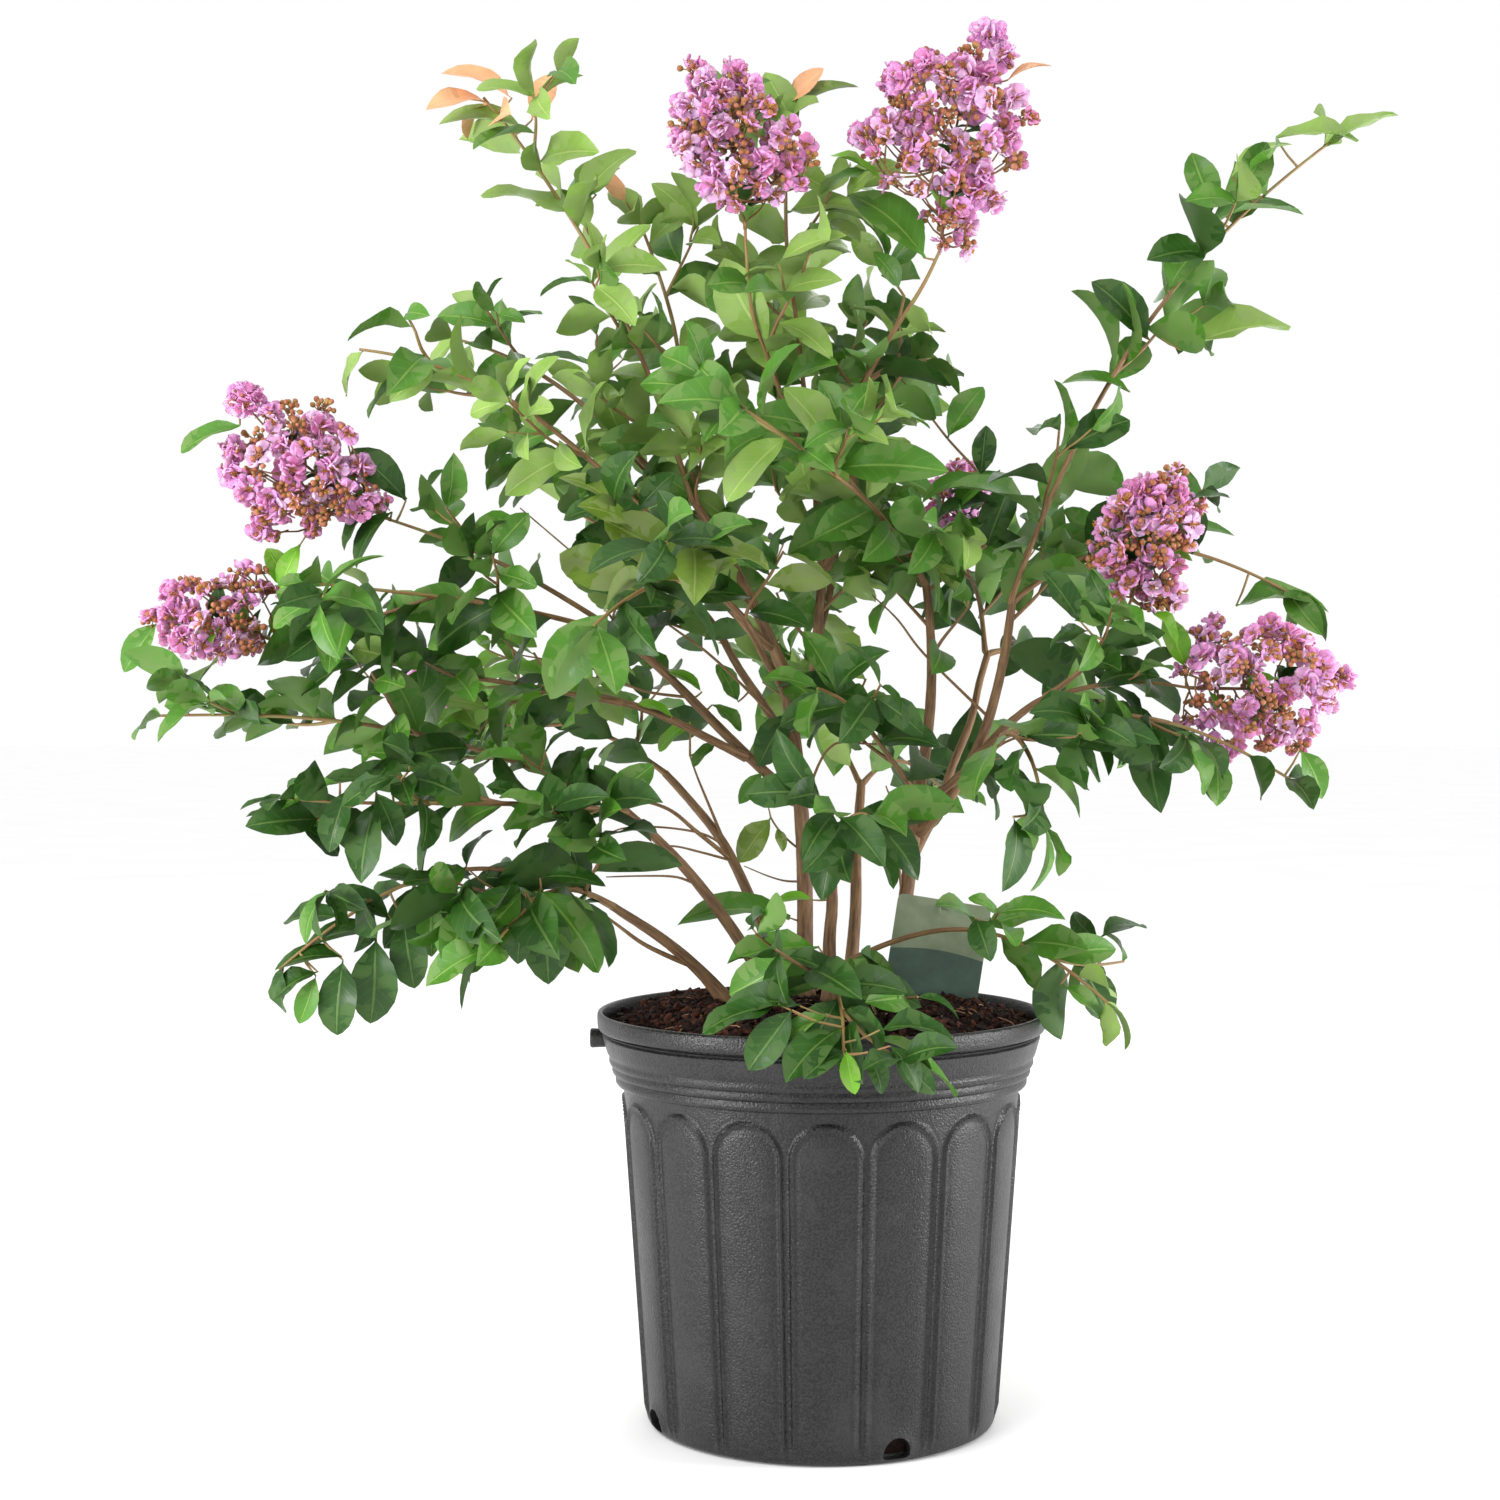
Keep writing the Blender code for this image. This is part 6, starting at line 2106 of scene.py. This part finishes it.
def panel_tree() -> NodeTree:
    """Builds the tree that sets a wall panel round the container and welds the seams.

    Returns:
        The tree. Every fourth place takes the panel with the drainage hole.
    """
    tree = new_tree("panels", [("Drain Panel", "NodeSocketObject"), ("Count", "NodeSocketInt"),
                               ("Drain Every", "NodeSocketInt"), ("First Drain", "NodeSocketInt"),
                               ("Weld", "NodeSocketFloat"), ("Material", "NodeSocketMaterial")])
    node, given = partial(add_node, tree), tree.nodes["Group Input"].outputs
    spots = node("GeometryNodePoints", {"Count": given["Count"]})
    index = node("GeometryNodeInputIndex")
    step = node("ShaderNodeMath", {0: tau, 1: given["Count"]}, operation="DIVIDE")
    angle = node("ShaderNodeMath", {0: index, 1: step}, operation="MULTIPLY")
    turn = node("ShaderNodeCombineXYZ", {"Z": angle})
    rest = node("ShaderNodeMath", {0: index, 1: given["Drain Every"]}, operation="MODULO")
    is_drain = node("FunctionNodeCompare", {0: rest, 1: given["First Drain"], "Epsilon": 0.1},
                    data_type="FLOAT", operation="EQUAL")
    plain = node("FunctionNodeBooleanMath", {0: is_drain}, operation="NOT")
    drain = node("GeometryNodeObjectInfo", {"Object": given["Drain Panel"]}).outputs["Geometry"]
    both = node("GeometryNodeJoinGeometry")
    for chosen, shape in ((plain, given["Geometry"]), (is_drain, drain)):
        feed(tree, both, {0: node("GeometryNodeInstanceOnPoints", {
            "Points": spots, "Selection": chosen, "Instance": shape, "Rotation": turn})})
    real = node("GeometryNodeRealizeInstances", {0: both})
    weld = node("GeometryNodeMergeByDistance", {"Geometry": real, "Distance": given["Weld"]})
    done = node("GeometryNodeSetMaterial", {"Geometry": weld, "Material": given["Material"]})
    feed(tree, tree.nodes["Group Output"], {0: done})
    return tree


@dataclass
class Container:
    """The nursery container: sixteen arched panels, a stepped rim, drain holes and a lug."""

    base_radius: float = 106.5
    wall_top: float = 205.0
    wall_top_radius: float = 120.5
    panels: int = 16
    arch_top: float = 198.0
    arch_share: float = 0.86
    bulge: float = 1.1
    rib: float = 1.9
    rib_width: float = 1.2
    drain_width: float = 17.0
    drain_foot: float = 2.4
    drain_height: float = 15.5
    drain_collar: float = 1.2
    drain_every: int = 4
    first_drain: int = 1
    lug_height: float = 232.5
    lug_sides: int = 28
    lug_profile: tuple[tuple[float, float], ...] = (
        (131.0, 5.6), (137.0, 5.8), (139.6, 6.0), (140.7, 5.6), (141.0, 4.6), (140.8, 3.6),
        (139.9, 2.9), (139.6, 1.6))
    outer_rim: tuple[tuple[float, float], ...] = (
        (120.6, 205.2), (122.6, 205.6), (124.4, 206.2), (125.3, 207.4), (125.4, 209.2),
        (125.0, 210.6), (124.9, 211.6), (125.8, 212.4), (127.0, 213.0), (127.5, 214.2),
        (127.4, 215.8), (127.1, 217.0), (127.6, 217.8), (128.7, 218.4), (129.3, 219.6),
        (129.3, 221.4), (129.0, 222.8), (129.5, 223.8), (130.3, 224.8), (130.9, 226.4),
        (131.9, 230.0), (133.0, 233.8), (133.4, 235.4), (132.9, 236.2), (132.0, 236.6),
        (132.2, 237.2), (133.4, 237.5), (133.7, 237.9), (133.0, 238.3), (132.8, 238.7),
        (133.6, 239.1), (135.4, 239.5), (136.1, 240.4), (136.4, 242.6), (136.5, 246.2),
        (136.4, 248.4), (136.0, 249.4), (135.2, 249.9))
    inner: tuple[tuple[float, float], ...] = (
        (134.4, 250.0), (133.6, 249.6), (133.1, 248.4), (132.6, 243.0), (132.4, 238.0),
        (128.6, 226.0), (124.4, 214.0), (116.4, 203.0), (114.6, 180.0), (109.0, 100.0),
        (103.4, 12.0), (102.0, 5.0), (99.0, 3.5), (60.0, 3.5), (30.0, 3.5))
    columns: tuple[float, ...] = (0.0, 0.13, 0.26, 0.38, 0.48, 0.57, 0.65, 0.72, 0.77, 0.805,
                                  0.835, 0.86, 0.885, 0.92, 0.96, 1.0)

    def wall_radius(self, z: float) -> float:
        """The plain wall's radius at a height."""
        share = (z - 4.0) / (self.wall_top - 4.0)
        return self.base_radius + (self.wall_top_radius - self.base_radius) * share

    def relief(self, f: float, z: float) -> float:
        """How far the wall stands out, f from 0 at a panel's middle to 1 at its side.

        Args:
            f: the place across the half panel.
            z: the height.

        Returns:
            The relief in millimetres: a pillow inside the arch and a fine rib along it.
        """
        half = self.wall_radius(z) * pi / self.panels
        x = abs(f) * half
        arch = self.arch_share * half
        spring = self.arch_top - self.arch_share * self.wall_top_radius * pi / self.panels
        if z > spring:
            inside = arch - hypot(x, z - spring)
        else:
            inside = arch - x
        line = exp(-(inside / self.rib_width) ** 2)
        dip = exp(-((inside - 2.6) / 1.1) ** 2) + exp(-((inside + 2.4) / 1.1) ** 2)
        share = max(0.0, min(1.0, inside / 11.0))
        pillow = self.bulge * (1.0 - (1.0 - share) ** 2)
        foot = max(0.0, min(1.0, (z - 4.0) / 8.0))
        fade = max(0.0, min(1.0, (202.0 - z) / 3.0))
        return (pillow + self.rib * line - 0.35 * dip) * foot * fade

    def levels(self) -> list[float]:
        """Heights of the wall's rows, closer round the arches' tops."""
        low = [4.0, 5.5, 7.5, 10.0, 13.0, 16.0, 20.0]
        low += [20.0 + 5.0 * k for k in range(1, 31)]
        return low + [170.0 + 1.1 * k for k in range(1, 30)] + [203.5]

    def sector(self, name: str, with_drain: bool) -> Object:
        """Builds one panel from the underside's middle, over the rim, to the floor's middle.

        Args:
            name: the helper object's name.
            with_drain: whether it has the drainage hole.

        Returns:
            The helper, centred on -Y.
        """
        bm = bmesh.new()
        shares = [-f for f in reversed(self.columns[1:])] + list(self.columns)
        angles = [f * pi / self.panels for f in shares]
        wall = [(self.wall_radius(z), z, True) for z in self.levels()]
        foot = [(30.0, 0.0, False), (70.0, 0.0, False), (97.0, 0.0, False), (103.0, 0.3, False),
                (105.4, 1.4, False), (106.2, 2.8, False)]
        rows = foot + wall + [(r, z, False) for r, z in (*self.outer_rim, *self.inner)]
        grid = []
        for radius, z, is_wall in rows:
            row = []
            for f, angle in zip(shares, angles):
                own = radius + (self.relief(f, z) if is_wall else 0.0)
                if with_drain and is_wall:
                    own += self.collar(f, z)
                spot = Vector((sin(angle) * own, -cos(angle) * own, z)) * MM
                row.append(bm.verts.new(spot))
            grid.append(row)
        add_skin(bm, grid, False)
        add_fan(bm, Vector((0.0, 0.0, foot[0][1])) * MM, grid[0], -1, False)
        add_fan(bm, Vector((0.0, 0.0, self.inner[-1][1])) * MM, grid[-1], 1, False)
        return new_object(name, mesh_from(name, bm))

    def collar(self, f: float, z: float) -> float:
        """The swelling round a drainage hole, in millimetres."""
        x = f * self.wall_radius(z) * pi / self.panels
        half = self.drain_width / 2.0
        away = abs(hypot(x, max(0.0, z - self.drain_height + half)) - half)
        return self.drain_collar * exp(-(away / 2.6) ** 2) * min(1.0, z / 6.0)

    def cut_drains(self, pot: Object) -> None:
        """Cuts the arched drainage holes through the foot of the wall.

        Args:
            pot: the closed container.
        """
        half = self.drain_width / 2.0
        middle, foot = self.drain_height - half, self.drain_foot
        outline = [(cos(pi * k / 16.0) * half, middle + sin(pi * k / 16.0) * half)
                   for k in range(17)]
        outline += [(-half, foot + 2.0), (-half + 1.5, foot + 0.4), (-half + 4.0, foot),
                    (half - 4.0, foot), (half - 1.5, foot + 0.4), (half, foot + 2.0)]
        bm = bmesh.new()
        for k in range(self.first_drain, self.panels, self.drain_every):
            turn = Matrix.Rotation(tau * k / self.panels, 3, "Z")
            ends = [[bm.verts.new(turn @ Vector((x, -reach, z)) * MM) for x, z in outline]
                    for reach in (100.6, 116.0)]
            bm.faces.new(ends[0])
            bm.faces.new(ends[1])
            for j, vert in enumerate(ends[0]):
                after = (j + 1) % len(outline)
                bm.faces.new((vert, ends[0][after], ends[1][after], ends[1][j]))
        bmesh.ops.recalc_face_normals(bm, faces=bm.faces)
        cutter = new_object("drain_cutter", mesh_from("drain_cutter", bm, smooth=False))
        cutter.data.materials.append(pot.data.materials[0])
        cut = pot.modifiers.new("drains", "BOOLEAN")
        cut.object = cutter
        cut.operation = "DIFFERENCE"
        cut.solver = "EXACT"
        bake_object(pot)
        bpy.data.objects.remove(cutter)

    def lug(self, material: Material) -> Object:
        """Builds the moulded lug on the rim's left: a round boss with a dished end.

        Args:
            material: the container's plastic.

        Returns:
            The finished piece.
        """
        bm = bmesh.new()
        rings = [[bm.verts.new(Vector((-reach, y, self.lug_height + z)) * MM)
                  for y, z in circle(self.lug_sides, radius)] for reach, radius in self.lug_profile]
        add_skin(bm, rings)
        bm.faces.new(rings[0])
        bm.faces.new(rings[-1])
        bmesh.ops.recalc_face_normals(bm, faces=bm.faces)
        mesh = mesh_from("pot_lug", bm, sharp_angle=50.0)
        mesh.materials.append(material)
        return new_object("pot_lug", mesh)

    def build(self) -> None:
        """Builds the container and its lug and shows them."""
        plastic = MouldedPolyethylene().make()
        pot = self.sector("pot_body", False)
        drain = self.sector("drain_panel", True)
        run_tree(pot, panel_tree(), {
            "Drain Panel": drain, "Count": self.panels, "Drain Every": self.drain_every,
            "First Drain": self.first_drain, "Weld": 0.02 * MM, "Material": plastic})
        bpy.data.objects.remove(drain)
        self.cut_drains(pot)
        pot.data.materials.clear()
        pot.data.materials.append(plastic)
        pot.data.polygons.foreach_set("material_index", [0] * len(pot.data.polygons))
        pot.data.set_sharp_from_angle(angle=radians(42.0))
        show(pot, ["pot"])
        show(self.lug(plastic), ["pot"])


@dataclass
class Soil:
    """Potting mix: a closed mound under a layer of loose crumbs and a few fibres."""

    edge_radius: float = 131.6
    edge_height: float = 240.5
    top: float = 255.4
    sides: int = 96
    rings: int = 30
    crumbs: int = 5200
    fibres: int = 90

    def height(self, x: float, y: float) -> float:
        """The mound's surface at a place, in millimetres."""
        r = hypot(x, y)
        share = max(0.0, min(1.0, (self.edge_radius - r) / (self.edge_radius - 74.0)))
        mound = self.edge_height + (self.top - self.edge_height) * sin(share * pi / 2.0)
        rough = noise.noise(Vector((x, y, 3.0)) * 0.045) * 1.6
        rough += noise.noise(Vector((x, y, 9.0)) * 0.14) * 0.9
        return mound + rough * min(1.0, share * 4.0) - 0.4

    def mound(self) -> Object:
        """Builds the mound as a closed solid.

        Returns:
            The object.
        """
        bm = bmesh.new()
        side = [(100.6, 4.0), (111.0, 150.0), (115.0, 202.0), (self.edge_radius - 2.0, 236.0)]
        grid = [[bm.verts.new(Vector((x, y, z)) * MM) for x, y in circle(self.sides, r)]
                for r, z in side]
        for j in range(self.rings):
            grid.append([bm.verts.new(Vector((x, y, self.height(x, y))) * MM)
                         for x, y in circle(self.sides, self.edge_radius * (1.0 - j / self.rings))])
        add_skin(bm, grid)
        add_fan(bm, Vector((0.0, 0.0, side[0][1])) * MM, grid[0], -1)
        add_fan(bm, Vector((0.0, 0.0, self.height(0.0, 0.0))) * MM, grid[-1])
        return new_object("soil_mound", mesh_from("soil_mound", bm))

    def crumb_shapes(self) -> Collection:
        """Builds uneven crumbs of twenty faces.

        Returns:
            Their collection.
        """
        rng = Random(12)
        meshes = []
        for _ in range(6):
            bm = bmesh.new()
            part = bm.faces.layers.int.new("part")
            bmesh.ops.create_icosphere(bm, subdivisions=1, radius=0.5)
            long = rng.uniform(1.0, 1.9)
            for vert in bm.verts:
                vert.co *= rng.uniform(0.68, 1.2)
                vert.co.x *= long
                vert.co.z *= 0.66
            for face in bm.faces:
                face[part] = 0
            meshes.append(mesh_from("crumb", bm, smooth=False))
        return shape_collection("crumb_shape", meshes)

    def spot(self, rng: Random) -> Vector:
        """A random place on the mound, clear of the label."""
        while True:
            r = (self.edge_radius - 2.5) * sqrt(rng.random())
            angle = rng.uniform(0.0, tau)
            x, y = cos(angle) * r, sin(angle) * r
            if not (42.0 < x < 104.0 and 10.5 < y < 17.5):
                return Vector((x, y, self.height(x, y)))

    def build(self) -> None:
        """Builds the mound, the crumbs in two shades and the fibres, and shows them."""
        rng = Random(64)
        mound = self.mound()
        mound.data.materials.append(BarkMix("moist_potting_mix", "#120908", "#2c1a15").make())
        show(mound, ["soil"])
        shapes = self.crumb_shapes()
        shades = (BarkMix("dark_bark_crumb", "#110806", "#281510"),
                  BarkMix("red_bark_crumb", "#2a140c", "#553021"))
        for index, (shade, share) in enumerate(zip(shades, (0.58, 0.42))):
            crumbs = Scatter(f"soil_crumbs_{index + 1}", shapes, [shade.make()], 31 + index, 0.3)
            for _ in range(round(self.crumbs * share)):
                place = self.spot(rng)
                size = rng.choice((2.4, 3.0, 3.6, 4.6, 6.2))
                way = Vector((rng.gauss(0, 1), rng.gauss(0, 1), rng.gauss(0, 0.5)))
                face = Vector((rng.gauss(0, 0.5), rng.gauss(0, 0.5), 1.0))
                crumbs.add((place + UP * (size * 0.12)) * MM, way, face, size * MM, "soil")
            show(crumbs.build(), ["soil"])
        coir = Bark("coir_fibre", "#7a5236", "#b08a66", 1.2, 0.8).make()
        fibres = Tubes("soil_fibres", coir, 5, 3.0)
        for _ in range(self.fibres):
            place = self.spot(rng)
            way = Vector((rng.gauss(0, 1), rng.gauss(0, 1), 0.0)).normalized()
            reach = rng.uniform(4.0, 11.0)
            spots = []
            for share, lift in zip((-1.0, 0.0, 1.0), (0.6, 2.2, 0.9)):
                p = place + way * (reach * share)
                r = min(hypot(p.x, p.y), self.edge_radius - 3.0) / max(1.0, hypot(p.x, p.y))
                x, y = p.x * r, p.y * r
                spots.append((Vector((x, y, self.height(x, y) + lift)) * MM, 0.42 * MM))
            fibres.add(spots, "soil")
        show(fibres.build(), ["soil"])
        drop_collection(shapes)


@dataclass
class Label:
    """The bare plant label: a card with a keyhole, pale above and dark green below."""

    width: float = 58.0
    height: float = 66.0
    thickness: float = 0.8
    corner: float = 4.0
    hole: float = 3.5
    hole_drop: float = 2.5
    place: tuple[float, float, float] = (72.0, 14.0, 283.0)
    tilt: float = radians(9.0)
    lean: float = radians(4.0)
    border: float = -1.0
    sorting: tuple[float, float, float] = (1.0, 7.3, 3.1)

    def outline(self) -> list[tuple[float, float]]:
        """The card's outline round its middle, with round corners and the keyhole."""
        half_width, half_height = self.width / 2.0, self.height / 2.0
        points = []
        for corner, (sx, sz) in enumerate(((1, 1), (-1, 1), (-1, -1), (1, -1))):
            for k in range(7):
                angle = pi / 2.0 * (corner + k / 6.0)
                points.append((sx * (half_width - self.corner) + cos(angle) * self.corner,
                               sz * (half_height - self.corner) + sin(angle) * self.corner))
            if corner == 0:
                points += self.keyhole(half_height)
        return points

    def keyhole(self, top: float) -> list[tuple[float, float]]:
        """The keyhole in the card's top edge, by which it would hang."""
        neck = self.hole * 0.4
        turn = asin(neck / self.hole)
        centre = top - self.hole - self.hole_drop
        notch = [(neck, top)]
        for k in range(19):
            angle = pi / 2.0 - turn - (tau - 2.0 * turn) * k / 18.0
            notch.append((cos(angle) * self.hole, centre + sin(angle) * self.hole))
        return [*notch, (-neck, top)]

    def build(self) -> None:
        """Builds the card with its two plain inks and shows it."""
        bm = bmesh.new()
        near = [bm.verts.new(Vector((x, -self.thickness / 2.0, z))) for x, z in self.outline()]
        front = bm.faces.new(near)
        bmesh.ops.triangulate(bm, faces=[front])
        # The ink changes along a shallow curve, which is cut into the card's faces.
        for k in range(8):
            x0, x1 = (-self.width / 2.0 + self.width * s / 8.0 for s in (k, k + 1))
            z0, z1 = (self.border + 3.0 * cos(pi * x / self.width) for x in (x0, x1))
            faces = [f for f in bm.faces if min(v.co.x for v in f.verts) < x1
                     and max(v.co.x for v in f.verts) > x0]
            parts = dict.fromkeys([p for f in faces for p in (*f.verts, *f.edges)])
            bmesh.ops.bisect_plane(bm, geom=[*parts, *faces], dist=1e-4,
                                   plane_co=Vector((x0, 0.0, z0)),
                                   plane_no=Vector((z1 - z0, 0.0, x0 - x1)))
        for face in bm.faces:
            spot = face.calc_center_median()
            border = self.border + 3.0 * cos(pi * spot.x / self.width)
            face.material_index = 0 if spot.z > border else 1
        bmesh.ops.solidify(bm, geom=list(bm.faces), thickness=self.thickness)
        bmesh.ops.recalc_face_normals(bm, faces=bm.faces)
        lowest = min(v.co.y for v in bm.verts)
        highest = max(v.co.y for v in bm.verts)
        shift = Matrix.Translation(Vector((0.0, -(lowest + highest) / 2.0, 0.0)))
        turn = Matrix.Rotation(-self.lean, 4, "X") @ Matrix.Rotation(self.tilt, 4, "Y")
        place = Matrix.Translation(Vector(self.place) * MM)
        bmesh.ops.transform(bm, matrix=place @ turn @ Matrix.Scale(MM, 4) @ shift, verts=bm.verts)
        # The card's sides come out in any order, so they get one that is the same each run.
        order = Vector(self.sorting)
        bm.verts.sort(key=lambda v: v.co.dot(order))
        bm.faces.sort(key=lambda f: f.calc_center_median().dot(order))
        mesh = mesh_from("label_card", bm, smooth=False)
        mesh.materials.append(LabelCard("printed_card_sage", "#7d8a6c", "#a4ad93").make())
        mesh.materials.append(LabelCard("printed_card_green", "#3a5346", "#5b7566").make())
        show(new_object("label_card", mesh), ["plant_tag"])


@dataclass
class Studio:
    """Floor, soft lights, world and the camera at the photograph's angle."""

    world_light: float = 1.0
    floor_size: float = 20.0

    def area(self, name: str, place: tuple, size: float, power: float) -> None:
        """Adds a square soft light that points at the middle of the plant.

        Args:
            name: its name.
            place: where it hangs, in metres.
            size: its side in metres.
            power: its power in watts.
        """
        light = bpy.data.lights.new(name, "AREA")
        light.shape = "SQUARE"
        light.size = size
        light.energy = power
        obj = bpy.data.objects.new(name, light)
        obj.location = place
        way = Vector((0.0, 0.0, 0.45)) - Vector(place)
        obj.rotation_euler = way.to_track_quat("-Z", "Y").to_euler()
        bpy.context.scene.collection.objects.link(obj)

    def build(self) -> None:
        """Builds the studio. Colours go to the picture as they are, as in the photograph."""
        scene = bpy.context.scene
        scene.view_settings.view_transform = "Standard"
        data = bpy.data.cameras.new("camera")
        data.lens = VIEW.lens
        data.sensor_width = 36.0
        data.clip_end = 50.0
        camera = bpy.data.objects.new("camera", data)
        camera.location = VIEW.place
        camera.rotation_euler = (pi / 2.0 - VIEW.dip, 0.0, 0.0)
        scene.collection.objects.link(camera)
        scene.camera = camera
        world = bpy.data.worlds.new("studio")
        world.use_nodes = True
        world.node_tree.nodes["Background"].inputs[1].default_value = self.world_light
        world.node_tree.nodes["Background"].inputs[0].default_value = (1.0, 1.0, 1.0, 1.0)
        scene.world = world
        self.area("key", (-1.0, -1.5, 1.9), 0.9, 22.0)
        self.area("left_strip", (-1.25, -0.80, 0.35), 0.35, 13.0)
        self.area("right_strip", (1.3, -0.25, 0.35), 0.35, 13.0)
        self.area("back", (0.3, 1.6, 1.7), 1.2, 10.0)
        bm = bmesh.new()
        bmesh.ops.create_grid(bm, x_segments=2, y_segments=2, size=self.floor_size)
        floor = new_object("floor", mesh_from("floor", bm, smooth=False))
        floor.location.z = -0.5 * MM
        # Matt paper: hardly any shine, with a haze 300 mm wide that is nearly too faint to see.
        sweep = Skin("matt_white_sweep", "#ffffff", "#fcfcfc")
        floor.data.materials.append(
            sweep.mottled(0.95, 1.5, 300.0, 2.0, (0.3, 0.7, 1.0))[0].material)


def main() -> None:
    """Builds the studio and the plant's classes in order."""
    logging.basicConfig(level=logging.INFO, format="%(message)s")
    Studio().build()
    Container().build()
    Soil().build()
    Label().build()
    skeleton = Skeleton()
    skeleton.grow()
    Limbs(skeleton).build()
    space = Space(skeleton)
    space.prepare()
    foliage = Foliage(skeleton, space)
    foliage.prepare()
    foliage.grow()
    blossom = Blossom(skeleton, foliage)
    blossom.prepare()
    blossom.grow()
    foliage.build()
    blossom.build()


if __name__ == "__main__":
    main()
